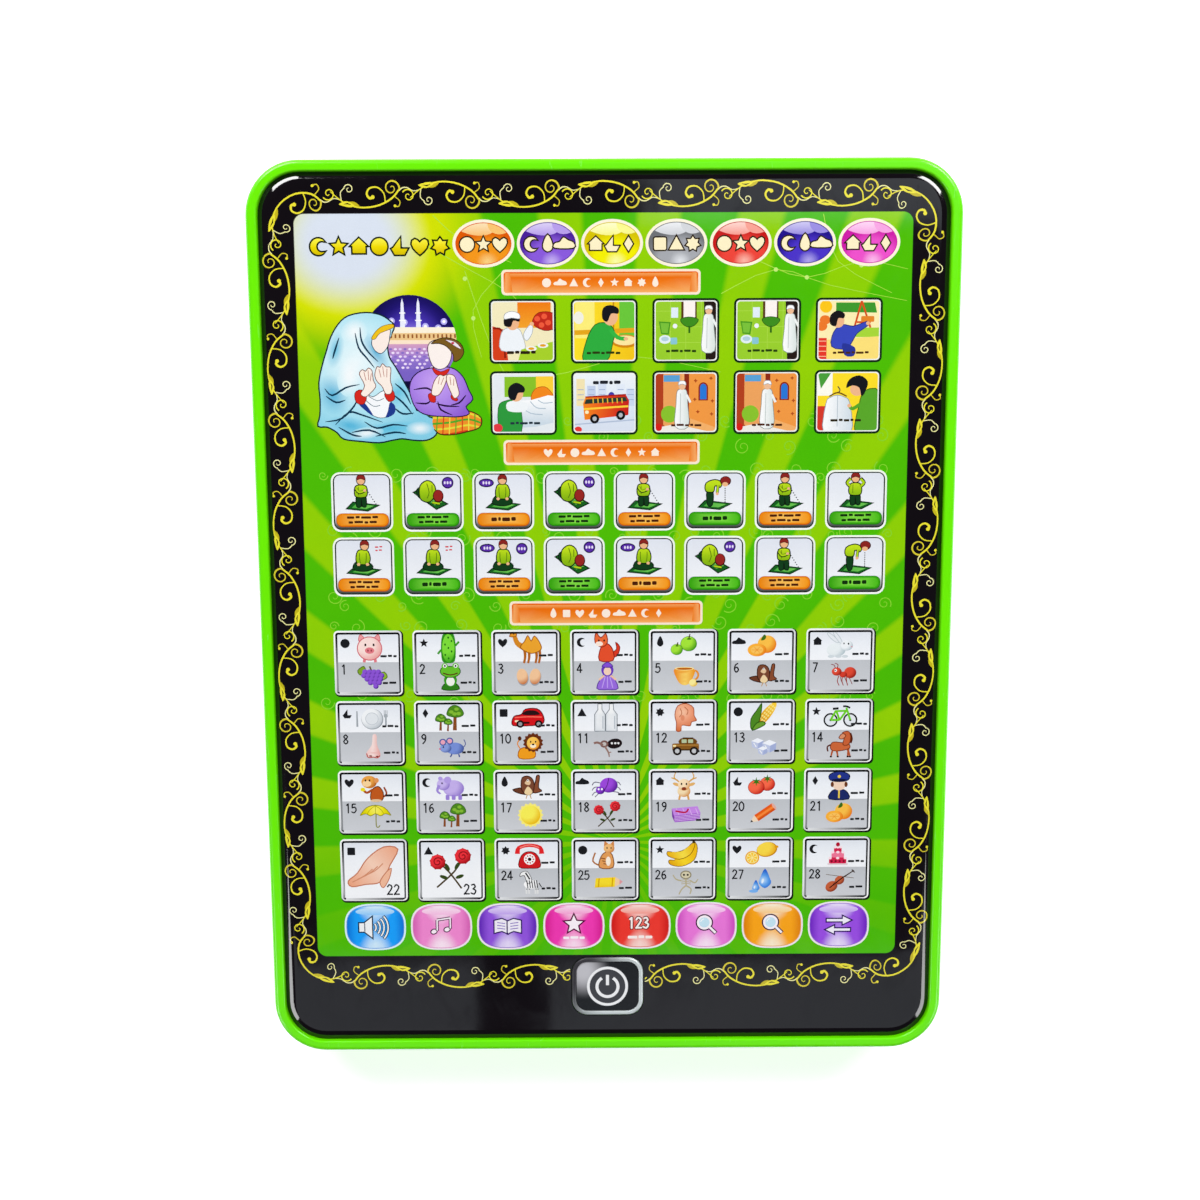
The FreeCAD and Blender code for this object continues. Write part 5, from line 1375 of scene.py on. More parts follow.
def letter_key(index, x, y, material):
    """Picture key with a bevelled metal frame and two halves, a picture in each."""
    upper, lower = LETTER_PICTURES[index]
    p = Print(x, y)
    p.fill(box(0.2, -0.15, *LETTER_KEY["shadow"], 1.3), "141A10")
    shine = fade((-9, 9), (9, -9), WHITE, WHITE, "DCDEE0", WHITE, WHITE)
    p.fill(box(-0.05, 0.1, *LETTER_KEY["rim"], 1.2), shine, 1)
    p.fill(box(-0.05, 0.05, *LETTER_KEY["gap"], 0.7), "0C0E10")
    steps = (7.9, 4, 1.5, -0.5, -3, -5.5, -7.8)
    side = fade((0, 2), (0, -7), "0C0E10", "B4B7BA", "F2F3F4", "8A8D90")
    p.line([(-8.3, step) for step in steps], 0.7, side, curved=False)
    foot = fade((-8, 0), (5, 0), "E8EAEC", "8E9194", "1A1C1E")
    p.line([(-step, -8.05) for step in steps], 0.7, foot, curved=False)
    p.line([(8.25, -step) for step in steps], 0.6, fade((0, -2), (0, -8), "0C0E10", "5A5D60"), curved=False)
    sky = fade((0, 8), (0, 0), "E6EAF2", "F4F7FC", "FAFBFE")
    p.window(box(0, 0, *LETTER_KEY["window"], 0.3), sky, 2)
    if lower:
        p.fill(box(0, -4, 17, 8.6), fade((0, 0), (0, -8), "C4C7CC", "D2D4D9"))
        p.at(0.4, 4, 1.1)
        upper(p)
        p.back()
        p.at(0.8, -3.8, 1.03)
        lower(p)
        p.back()
        draw_number(p, index + 1, -7.3, -2.9, 2.5)
        draw_dashes(p, 5.4, 1.9, ((1.7, 1.1, 0.9), (1.1, 1.6, 1), (2, 1.4))[index % 3])
        draw_dashes(p, 5.5, -5.4, ((1.4, 1.9), (1.8, 0.9, 0.7), (1, 1.2, 1))[index % 3])
    else:
        p.at(0.2, 0.2, 1.6)
        upper(p)
        p.back()
        draw_number(p, index + 1, 3.4, -6.9, 2.8)
    draw_symbol(p, SYMBOL_ORDER[index % 12], -6.1, 5.4, 1.25, "1A1C20")
    p.open()
    return p.build(f"letter_key_{index + 1:02d}", material)


MODE_COLOURS = (
    ("0670D8", "1AA2FF", "A8E0FF"),
    ("D860B4", "F48AD2", "FFD4F0"),
    ("5A1EB4", "9456E0", "D8BCFA"),
    ("D81A90", "F43AB4", "FFC0E8"),
    ("D01414", "F23A30", "FFB8A8"),
    ("D04AC0", "EE7ADC", "FFD0F6"),
    ("E07E00", "FFA81A", "FFE0A0"),
    ("6A1EC0", "9C50E6", "DABEFC"),
)
OVAL_COLOURS = (
    ("E05A00", "F6981A", "FFD98A"),
    ("4A1E9A", "8A5ADC", "CDB8F4"),
    ("D8C400", "F6F000", "FFFFB0"),
    ("6E7074", "A8AAB0", "E8EAEE"),
    ("C81414", "F0463A", "FFC0B0"),
    ("1E0E8A", "4A32C8", "B8ACF0"),
    ("D01AA8", "F052CC", "FFC4F0"),
)


def draw_speaker(p):
    edge = "16304A"
    body = [(-4.4, 1.2), (-3, 1.2), (-0.9, 2.9), (-0.9, -2.9), (-3, -1.2), (-4.4, -1.2)]
    p.fill(grown(body, 0.35), edge)
    p.fill(body, "F6F8FA")
    p.line([(-2.9, 1.2), (-2.9, -1.2)], 0.25, edge)
    for r in (1.6, 2.7, 3.8, 4.9):
        p.fill(ribbon(spiral(-1.4, 0, r, r, -42, 84, 12), 0.85), edge)
        p.fill(ribbon(spiral(-1.4, 0, r, r, -40, 80, 12), 0.4), "F6F8FA")


def draw_book(p):
    for side in (-1, 1):
        page = [
            (0, 1.5), (side * 1.6, 2.2), (side * 3.6, 1.7), (side * 3.6, -1.7), (side * 1.6, -1.2),
            (0, -1.9),
        ]
        p.fill(grown(page, 0.35), "2E1460")
        p.fill(page, "F4F0FA")
    for side in (-1, 1):
        for i in range(3):
            p.line([(side * 0.7, 0.9 - i * 0.8), (side * 2.9, 1.2 - i * 0.8)], 0.22, "7A5CC0")


def draw_notes(p):
    for x, y in ((-2.1, -1.3), (1.5, -0.7)):
        p.oval(x, y, 1.05, 0.85, "4A1440", 20)
        p.oval(x, y, 0.75, 0.55, "FFF4FC", 20)
    p.lines((((-1.2, -1.1), (-1.2, 2)), ((2.4, -0.5), (2.4, 2.6)), ((-1.2, 2), (2.4, 2.6))), 0.85, "4A1440")
    p.lines((((-1.2, -1), (-1.2, 2)), ((2.4, -0.4), (2.4, 2.6)), ((-1.25, 2), (2.45, 2.6))), 0.38, "FFF4FC")


def draw_star_mark(p):
    draw_symbol(p, "star", 0, 0.6, 2.6, "FFF6FC", "5A0A3C", 0.4)
    draw_dashes(p, 0, -3.3, (1.6, 2.2, 1.4), "FFF6FC", 0.7)


def draw_digits_mark(p):
    for weight, colour in ((0.34, "5A0808"), (0.17, "FFF4F0")):
        draw_number(p, 123, -3.2, -0.6, 3, colour, weight)
    draw_dashes(p, 0, -3.2, (2.6, 1.6, 1.9), "FFF4F0", 0.8)


def draw_finder(p):
    p.line([(0.9, -0.4), (2.7, -2.2)], 1.2, "3A0A3A")
    p.oval(-0.5, 0.9, 2.4, 2.4, "3A0A3A")
    p.line([(1, -0.5), (2.6, -2.1)], 0.65, "FFF6FC")
    p.discs(-0.5, 0.9, (2.05, 2.05, "FFF6FC"), (1.45, 1.45, "C9E8F6"))
    p.line(spiral(-0.5, 0.9, 1, 1, 100, 70, 8), 0.25, WHITE)


def draw_arrows(p):
    for sign in (-1, 1):
        arrow = [(-3.2, 0.45), (1.2, 0.45), (1.2, 1.5), (3.4, 0), (1.2, -1.5), (1.2, -0.45), (-3.2, -0.45)]
        placed = [(x * sign, y * 0.75 + sign * 1.35) for x, y in arrow]
        p.fill(grown(placed, 0.35), "2A0A5A")
        p.fill(placed, "F6F2FF")


MODE_MARKS = (
    draw_speaker,
    draw_notes,
    draw_book,
    draw_star_mark,
    draw_digits_mark,
    draw_finder,
    draw_finder,
    draw_arrows,
)


def mode_key(index, x, y, material):
    """Squarish oval key with a pale outline and a glossy gradient."""
    dark, middle, light = MODE_COLOURS[index]
    p = Print(x, y)

    def shade(x, y):
        """Deep at both sides and paler in the middle, with a glint above and one below."""
        base = step_through((mixed(middle, light, 0.35), middle, middle, dark), abs(x) / 7.9)
        upper = 1 - math.hypot(x / 5, (y - 6.2) / 5.4)
        lower = 1 - math.hypot(x / 4.6, (y + 6.6) / 5.6)
        return mixed(base, mixed(light, WHITE, 0.45), 1.5 * max(upper, lower, 0))

    p.fill(barrel(0, 0.1, *MODE_KEY["rim"], 2.7), "F8ECF4" if index else "E2F6FF")
    p.fill(barrel(0, 0.1, *MODE_KEY["edge"], 2.7), mixed(dark, light, 0.3))
    p.fill(barrel(0, 0.1, *MODE_KEY["face"], 2.7), shade, 8)
    gleam = fade((0, 5.8), (0, 3), mixed(light, WHITE, 0.4), mixed(middle, light, 0.5))
    p.fill(barrel(0, 4.5, 10.6, 2, 2.2), gleam, 1)
    MODE_MARKS[index](p)
    return p.build(f"mode_key_{index + 1}", material)


def oval_key(index, x, y, material):
    """Oval key with a cream outline, a light reflection above and a row of symbols."""
    dark, middle, light = OVAL_COLOURS[index]
    p = Print(x, y)
    p.fill(oval(0, 0, *OVAL_KEY["rim"], 0, 44), "FFF6DC")
    p.fill(oval(0, 0, *OVAL_KEY["edge"], 0, 44), dark)
    shade = glow(1, -4.6, 8.4, light, middle, middle, dark, squash=1.1)
    p.window(oval(0, 0, *OVAL_KEY["face"], 0, 44), shade, 6)
    pale = mixed(light, WHITE, 0.3)
    p.fill(oval(-2.6, 5.6, 6.2, 3.4, -14, 30), fade((0, 5), (0, 1.6), pale, mixed(middle, light, 0.5)), 1)
    p.fill(oval(4.6, 5.4, 3.6, 3, 24, 24), mixed(middle, light, 0.65))
    p.open()
    names = [SYMBOL_ORDER[(index * 3 + k) % 12] for k in range(3)]
    for k, name in enumerate(names):
        draw_symbol(p, name, (k - 1) * 4.2, -0.2, 1.8, "FFF2C8", "2E200A", 0.36)
    return p.build(f"oval_key_{index + 1}", material)


def section_bar(index, x, y, material):
    """Orange bar with a cream outline and a row of pale symbols."""
    p = Print(x, y)
    p.fill(box(0, 0, *BAR["rim"], 1.1), "FFEBD2")
    p.fill(
        box(0, 0, *BAR["face"], 0.7), fade((0, 2.6), (0, -2.6), "EC6400", "F07008", "F38420", "FAB268"), 3,
    )
    p.fill(box(0, 1.75, 49, 1, 0.4), fade((0, 2.2), (0, 1.3), "F8A45C", "EE740C"))
    for side in (-1, 1):
        glint = [(side * 24.6, -2.4), (side * 22.8, -2.4), (side * 23.4, 2.4), (side * 24.6, 2.4)]
        p.fill(glint, fade((side * 25, 0), (side * 22.8, 0), "FBB470", "F27C14"))
    for k in range(9):
        name = SYMBOL_ORDER[(k * 5 + index * 2) % 12]
        draw_symbol(p, name, (k - 4) * 3.5, -0.1, 1.15, "FFEEDC")
    return p.build(f"section_bar_{index + 1}", material)


# ---- Pose keys: small figures on a mat

SHIRT = fade((0, 4), (0, -1), "C8E61E", "9CC814", "7EAE10")
SLEEVE = "B4D818"
TROUSERS = "103E1A"
SKIN = "F2B98A"
CAP = "8E2420"
INK = "0A1A0E"


def mat(p, x, y, width, skew=1.6):
    w = width / 2
    shape = [(x - w, y - 0.9), (x + w * 0.3, y - 1.5), (x + w, y - 0.1), (x - w + skew, y + 0.7)]
    p.fill(grown(shape, 0.28), INK)
    p.fill(shape, "14601E")
    inner = [(x + (u - x) * 0.72, y - 0.4 + (v - y + 0.4) * 0.62) for u, v in shape]
    p.fill(inner, fade((x - w, y), (x + w, y), "3EA83A", "7AD05A"))


def figure_head(p, x, y):
    r = 1.05
    p.discs(x, y, (r * 1.22, r * 1.25, INK), (r, r * 1.05, SKIN))
    p.blob([
        (x - r * 1.1, y + r * 0.1), (x - r * 0.9, y + r * 1.1), (x, y + r * 1.45),
        (x + r * 0.9, y + r * 1.1), (x + r * 1.1, y + r * 0.1), (x, y + r * 0.45),
    ], CAP, "3E0A0A", 0.16)


def draw_standing(p, raised):
    mat(p, 0.4, -1.7, 8.4)
    p.blob([
        (-1.2, 0.9), (-1.3, -2.1), (-0.1, -2.1), (0, -0.2), (0.3, -2.1), (1.3, -2), (1.1, 0.9),
    ], TROUSERS, INK, 0.24)
    p.blob([
        (-1.5, 3.3), (-1.8, 1.4), (-1.2, 0.4), (1.1, 0.4), (1.7, 1.5), (1.4, 3.3), (0, 3.7),
    ], SHIRT, INK, 0.28)
    p.line([(-0.7, 3.2), (-0.7, 0.9)], 0.16, "4A6A0A")
    if raised:
        p.lines([[(-1.4, 2.7), (-2.3, 3.7), (-1.3, 4.9)], [(1.4, 2.7), (2.3, 3.7), (1.3, 4.9)]], 0.95, INK)
        p.lines([
            [(-1.4, 2.8), (-2.2, 3.7), (-1.3, 4.7)], [(1.4, 2.8), (2.2, 3.7), (1.3, 4.7)],
        ], 0.6, SLEEVE)
    else:
        p.line([(-1.5, 2.8), (-0.5, 1.6), (1.1, 2.2)], 0.85, INK)
        p.line([(-1.4, 2.8), (-0.5, 1.7), (1, 2.2)], 0.5, SLEEVE)
        p.oval(1, 2.2, 0.42, 0.36, SKIN)
        for i in range(8):
            p.oval(1.5 + i * 0.4, 2.3 - i * 0.62, 0.17, 0.17, "22262A")
    figure_head(p, 0, 4.9)


def draw_bowing(p):
    mat(p, 0.2, -1.7, 8.4)
    p.blob([(-2, 1.7), (-1.8, -2.1), (-0.5, -2.1), (-0.3, 1.4)], TROUSERS, INK, 0.24)
    p.blob([
        (-2.3, 1.6), (-2.2, 3.8), (0.2, 4.7), (2, 3.9), (1.6, 2.6), (0.2, 3), (-0.2, 1.4),
    ], SHIRT, INK, 0.28)
    p.line([(1, 3.2), (0.8, 1.1)], 0.8, INK)
    p.line([(1, 3.2), (0.8, 1.2)], 0.5, SLEEVE)
    p.oval(0.8, 0.9, 0.42, 0.42, SKIN)
    p.oval(3, 4.3, 1.5, 1.3, "3E0A0A")
    p.oval(3, 4.4, 1.25, 1.05, CAP)
    p.oval(2.9, 3.4, 0.8, 0.6, SKIN)
    for i in range(7):
        p.oval(2.9, 2.3 - i * 0.6, 0.15, 0.2, "22262A")


def draw_crouching(p):
    shape = [(-4.3, 1.6), (-2.6, 2.5), (4.3, -1.5), (1.6, -2.8)]
    p.fill(grown(shape, 0.3), INK)
    p.fill(shape, "14601E")
    inner = [(u * 0.74, v * 0.66) for u, v in shape]
    p.fill(inner, fade((-3, 2), (3, -2), "3EA83A", "7AD05A"))
    p.blob([(-3.4, 0.6), (-3.6, 2.4), (-2.3, 3), (-2.2, 0)], TROUSERS, INK, 0.2)
    p.blob([
        (-2.9, 0.6), (-2.7, 3.4), (-0.8, 4.8), (1, 3.8), (1.5, 1.3), (-0.1, -0.9), (-2, -0.7),
    ], SHIRT, INK, 0.3)
    p.lines([[(-0.9, 4), (-0.3, 1.6), (-0.9, 0)], [(0.5, 3.6), (0.5, 1.6)]], 0.2, "4A6A0A")
    p.oval(2.1, 0.6, 1.45, 1.75, "3E0A0A")
    p.oval(2.1, 0.7, 1.2, 1.5, "9A2622")
    p.line([(0.4, -1.1), (2.6, -1.5)], 0.75, INK)
    p.line([(0.5, -1.1), (2.5, -1.45)], 0.45, SLEEVE)


def draw_kneeling(p, turned):
    mat(p, 0.2, -1.6, 8.6, 2)
    p.blob([(-2.7, -1.5), (-2, 0.4), (0.6, 0.6), (2.5, -0.4), (2.3, -1.6), (0, -2.1)], TROUSERS, INK, 0.26)
    p.blob([
        (-1.4, 3.4), (-1.9, 1.2), (-1.3, -0.1), (1.3, -0.1), (2, 1.4), (1.4, 3.4), (0, 3.8),
    ], SHIRT, INK, 0.28)
    for side in (-1, 1):
        p.line([(side * 0.9, 2.9), (side * 0.9, 1.4), (side * 0.7, 0.1)], 0.18, "4A6A0A")
        p.oval(side * 1.2, -0.2, 0.45, 0.4, SKIN)
    figure_head(p, 0.5 if turned else 0, 4.8)


def thought(p, x, y, wide=False):
    rx = 2 if wide else 1.55
    ry = 1.15 if wide else 1.55
    p.discs(x, y, (rx, ry, "1E0C4A"), (rx - 0.3, ry - 0.3, "5A2EA8"))
    for k in range(3):
        p.oval(x + (k - 1) * 0.75, y, 0.26, 0.42, "EADFFA")


POSES = (
    ("stand", "crouch", "kneel", "crouch", "stand", "bow", "stand", "raise"),
    ("turn", "turn", "sit", "crouch", "kneel", "crouch", "stand", "bow"),
)


def pose_key(row, column, x, y, material):
    """Light key with a small figure and a caption bar."""
    p = Print(x, y)
    p.fill(box(0, 0, *POSE_KEY["rim"], 2.3, 5), fade((0, 8), (0, -8), "FAFFF4", "E4EEDA", WHITE), 1)
    p.fill(box(0, 0, *POSE_KEY["gap"], 1.9, 5), "18261C")
    bed = fade((0, -3.6), (0, -7.2), "E9ECF2", "C4C8C8", "6E7270", "2A302C")
    p.window(box(0, 0, *POSE_KEY["window"], 1.5, 5), "E9ECF2")
    p.fill(box(0, 2.2, 15, 10.2), fade((0, 7), (0, -3), "E4E8F2", "F4F6FA"))
    for low in (-3, -4.8, -6):
        p.fill([(-7.5, low), (-7.5, low - 1.9), (7.5, low - 1.9), (7.5, low)], bed)
    pose = POSES[row][column]
    p.at(-0.6 if pose == "crouch" else -0.2, 0.9, 0.98)
    if pose in ("stand", "raise"):
        draw_standing(p, pose == "raise")
    elif pose == "bow":
        draw_bowing(p)
    elif pose == "crouch":
        draw_crouching(p)
    else:
        draw_kneeling(p, pose == "turn")
    p.back()
    if pose == "crouch":
        thought(p, 4, 5)
    if pose in ("kneel", "sit"):
        thought(p, -4.4, 4.9, wide=True)
    if pose == "sit":
        thought(p, 4.7, 4.7)
    if pose == "turn":
        draw_dashes(p, 4, 5.3, (0.9, 0.7), "D8323E", 0.35)
        draw_dashes(p, 4, 4.4, (0.6, 0.8), "D8323E", 0.35)
    p.open()
    green = column % 2 == 1
    rim, *tones = (
        "1E7A08", "3AA80E", "8AE24A", "4ABE18",
    ) if green else ("C85A00", "F08A10", "FFC860", "F99A18")
    p.fill(box(0, -4.75, 13.9, 3.6, 1.6, 5), rim)
    p.fill(box(0, -4.7, 13.5, 3.2, 1.45, 5), tones[0])
    p.fill(box(0, -4.7, 12.6, 2.5, 1.1, 5), fade((-6, 0), (6, 0), tones[0], tones[1], tones[2]), 2)
    ink = "0E3008" if green else "4A1E06"
    if (column + row) % 3 == 2:
        draw_dashes(p, 0, -4.7, (1.5, 0.7, 2.1, 1.2), ink, 1)
    else:
        draw_dashes(p, 0, -4.05, (1.9, 1.1, 2.6, 1.5), ink, 0.62, 0.35)
        draw_dashes(p, 0, -5.35, (1.2, 2.3, 1, 1.9), ink, 0.62, 0.35)
    return p.build(f"pose_key_{row * 8 + column + 1:02d}", material)


# ---- Picture keys: small scenes, each about the middle of its window

def person(p, x, y, shirt, cap, size):
    """A child's head, hair, cap and shoulders."""
    p.at(x, y, size)
    p.blob([
        (-2.6, -5), (-2.8, -1.6), (-1.6, 0.3), (1.4, 0.4), (2.6, -1.4), (3, -5),
    ], shirt, mixed(shirt, BLACK, 0.5), 0.16)
    p.oval(0.2, 1.7, 1.6, 1.8, CHILD_SKIN)
    p.blob([(-1.8, 1), (-1.8, 3), (0, 4), (1.8, 3.2), (1.9, 2), (0.4, 2.2), (-0.2, 0.8)], "181416")
    p.blob([(-1.8, 2.6), (-1.6, 3.9), (0.1, 4.5), (1.8, 3.9), (1.9, 2.7), (0, 2.9)], cap, "9AA0A6", 0.14)
    p.back()


def robed(p, x, y, size):
    """A standing person in a plain white robe."""
    p.at(x, y, size)
    p.blob([
        (-1.3, 3.6), (-1.6, 0), (-1.8, -5.8), (1.7, -5.8), (1.5, 0), (1.2, 3.6), (0, 4.1),
    ], fade((-1.6, 0), (1.6, 0), WHITE, "DCE6E2"), "7E8A86", 0.16)
    p.line([(-0.4, 3), (-0.5, -5.2)], 0.16, "B4C0BC")
    p.line([(1.2, 2.6), (2.2, 0.6)], 0.6, "F2F6F4")
    p.oval(0, 5, 0.95, 1.1, "F0BE96")
    p.blob([(-1, 5.2), (-0.7, 6.2), (0.7, 6.2), (1, 5.2), (0, 5.5)], WHITE, "9AA0A6", 0.14)
    p.back()


def scene_meal(p):
    p.block(0, 0, *SCENE, "F6ECC0")
    p.fill(box(3, 4.6, 8.6, 7.4), fade((0, 8), (0, 1), "F2780E", "F6A42A"))
    p.blob([(2.6, 2), (3.6, 4.4), (6, 5), (8.4, 4.2), (8.6, 1), (5.6, 0.2)], "C42A1A", "7A120A", 0.16)
    for x, y in ((3.8, 3.2), (5.6, 3.8), (6.6, 2.2), (4.9, 1.6)):
        p.oval(x, y, 0.75, 0.7, "F25A3A")
    p.fill([(-8, 1.4), (-4.6, 0.4), (-3.8, -7.6), (-8, -7.6)], "D8401A")
    p.line([(-7.6, 0.8), (-5.2, 0), (-4.6, -6.8)], 0.5, "8E1E0C")
    person(p, -2.8, 0.4, "F2F6FA", WHITE, 1.05)
    p.blob([(0.2, -0.8), (1.6, 1.4), (2.6, 1.6), (2.4, -0.6), (1, -2.4)], "F2F6FA", "9AA8B4", 0.14)
    p.oval(2.4, 1.9, 0.55, 0.5, CHILD_SKIN)
    p.fill([(-0.4, -4.6), (8, -2.6), (8, -8), (-1.4, -8)], "A8D22A")
    for x, y in ((2.2, -4.4), (5.2, -3.6)):
        p.discs(x, y, (1.4, 0.65, "F6F8F2"), (0.8, 0.35, "E8A21A"))
    draw_dashes(p, -0.4, -5.4, (1.8, 1.1, 2.4, 1.2), "2A1E10", 0.75)


def scene_washing(p):
    p.block(0, 0, *SCENE, fade((-6, 0), (6, 0), "FFE22A", "F6C81A"))
    p.fill(box(-5, 3, 5, 9.6), "FFF07A")
    p.oval(-6.6, 3.4, 1.3, 1.6, "F4F2E4")
    p.fill(box(6.2, 3, 4.6, 9.6), "6AC83A")
    p.line([(2.4, 8), (2.4, -2)], 0.4, "C88A0E")
    p.fill([(-8, 0.2), (8, 0.8), (8, -0.4), (-8, -1)], "E8A81A")
    p.oval(5.4, -2.6, 3.6, 1.7, "D88A0E")
    p.oval(5.3, -2.4, 3, 1.25, "FFE9A0")
    p.blob([
        (-5.4, -8), (-4.6, -2.4), (-2.4, 1.6), (0.8, 2), (2.6, 0), (2.2, -3), (0.4, -8),
    ], "2EAE3E", "145A1E", 0.2)
    p.line([(1.6, 0.4), (3.4, -1.6), (5.4, -2)], 1, "34B844")
    p.oval(5.6, -2, 0.6, 0.45, CHILD_SKIN)
    p.oval(1.6, 3.6, 1.9, 2.2, CHILD_SKIN)
    p.blob([(-0.5, 3.2), (-0.3, 5.8), (1.6, 6.6), (3.6, 5.8), (3.6, 4.4), (1.8, 4.4), (0.8, 2.4)], "14161C")
    draw_dashes(p, -0.2, -5.6, (1.1, 2, 0.9, 2.2, 1.2), "2A3A10", 0.6)


def scene_washroom(p):
    p.block(0, 0, *SCENE, "9AD02E")
    for x in (-4, 0, 4):
        p.line([(x, 8), (x, -8)], 0.12, "B4E04E")
    for y in (-3, 1, 5):
        p.line([(-8, y), (8, y)], 0.12, "B4E04E")
    p.fill(box(0.8, 5.2, 4, 5), "5A3A1A")
    p.fill(box(0.9, 5.6, 3, 4.4), "FFF6F0")
    p.blob([
        (-1.4, 2.9), (0.8, 3.5), (3.2, 2.9), (2.4, 1.5), (0.9, 0.9), (-0.6, 1.5),
    ], "3E8E1E", "1E4E0E", 0.16)
    p.line([(0.9, 1.2), (0.9, -0.6)], 0.5, "2E6A16")
    p.fill(box(-2.9, 4.6, 1.8, 2.6), "E4F0FA")
    p.oval(-2.8, 1.2, 0.6, 0.6, "F4F6FA")
    p.fill([(-7, 2.4), (-3.9, 2.2), (-4.4, -1), (-6.4, -0.8)], "4A9A22")
    p.fill([(-6.6, 2), (-4.3, 1.9), (-4.7, -0.6), (-6.2, -0.5)], "7AC23A")
    p.oval(-5.4, -2.2, 1.5, 1.1, "E6F2F6")
    p.oval(-5.4, -2.1, 1, 0.6, "B4D2E0")
    p.fill(box(-3.1, -2.6, 1.7, 1.7, 0.3), "8AC8D8")
    p.fill([(4.6, 8), (8, 8), (8, -8), (5.2, -8)], "241814")
    robed(p, 5.9, 0.4, 0.95)
    draw_dashes(p, -1.2, -5.2, (1, 1.9, 0.8, 1.7, 1.1), "24400C", 0.6)


def scene_swing(p):
    p.block(0, 0, *SCENE, "FFF0B4")
    p.oval(-6, 6, 1.6, 1.6, "FFC81A")
    p.fill([(-3.4, 7), (6.6, 7), (7.2, 4.4), (-3.4, 4.6)], "3E9A2E")
    p.lines((((3.2, 7.4), (0.4, -3)), ((3.2, 7.4), (6.8, -3)), ((2, 2), (5.6, 2))), 0.5, "D8501A")
    p.fill(box(2.6, -0.6, 10.8, 2.4), "A8D83A")
    p.fill(box(4.8, 2.8, 3.4, 1.5, 0.3), "E8862A")
    p.fill([(-8, -2.6), (8, -1.6), (8, -8), (-8, -8)], "FFE27A")
    for x, y in ((-7, 1), (-6.2, 2.6)):
        p.oval(x, y, 1.4, 1.2, "F07A2A")
    p.fill(box(-7, -4.8, 2.6, 5.6), "E83A2A")
    for i in range(4):
        p.line([(-8, -2.8 - i * 1.3), (-5.8, -2.8 - i * 1.3)], 0.2, "FFC8A0")
    p.blob([
        (-4.4, -4.2), (-4, -0.6), (-1.8, 1.4), (1.2, 1), (4.6, 2.2), (5, 1.2), (2.2, -0.8), (1, -2.8),
        (-0.6, -4.8),
    ], "3A4AC0", "161E66", 0.2)
    p.blob([(-1.6, -3.4), (1.6, -4.4), (1.4, -6.6), (-1, -6.4)], "2A3698")
    p.oval(-2.8, 2.4, 1.6, 1.8, CHILD_SKIN)
    p.blob([(-4.9, 1.6), (-4.8, 3.8), (-3, 5), (-1.2, 4.2), (-1.4, 3), (-2.8, 3), (-3.4, 1)], "181418")
    p.oval(4.9, 1.7, 0.5, 0.5, CHILD_SKIN)
    draw_dashes(p, 0.6, -5.8, (0.9, 1.8, 1.2, 0.8, 2, 1), "4A2A10", 0.55)


def scene_bed(p):
    p.block(0, 0, *SCENE, "E8EEF2")
    p.fill(box(-0.8, 4.2, 8.2, 5.2), "8AC42A")
    p.fill(box(5.6, 4.2, 4.6, 5.4), "FFD23A")
    p.blob([(2, 1), (3, 3.6), (5.6, 4.2), (7.4, 2.6), (8, 0.6), (4.6, 0)], "F68A1E", "B4540A", 0.16)
    p.blob([
        (-8, -2), (-3.8, 0.4), (2, 0.8), (8, 1.8), (8, -5), (-8, -6.4),
    ], fade((0, 1), (0, -5), WHITE, "CFDDE8"))
    p.lines((
        ((1.8, 0.4), (3.4, -1.2), (5.8, -1.4)), ((-0.6, -1), (1.8, -2.6), (5, -3)),
        ((3.8, 0.8), (5.2, 0), (7.6, 0.2)),
    ), 0.22, "A8BCCC")
    p.blob([(-6.6, -1.2), (-4.8, 0.6), (-1.2, 0.2), (-0.6, -7.6), (-6, -7.6)], "2E9A3E", "145A20", 0.16)
    p.blob([(-4.2, 0.2), (-1.2, 0.6), (1.2, -0.4), (0.2, -2.2), (-4, -2)], "F4F8FA")
    p.oval(-1.9, 2.6, 1.9, 2.2, CHILD_SKIN)
    p.blob([
        (-3.8, 1.4), (-3.8, 4), (-1.8, 5.3), (0.2, 4.2), (0.2, 2.8), (-1.4, 2.6), (-2.2, 0.8),
    ], "14161C")
    p.oval(-6.8, -6.4, 1.3, 1.1, "E83A44")
    draw_dashes(p, 0.4, -5.2, (1.1, 0.8, 2, 1, 1.6), "243440", 0.6)


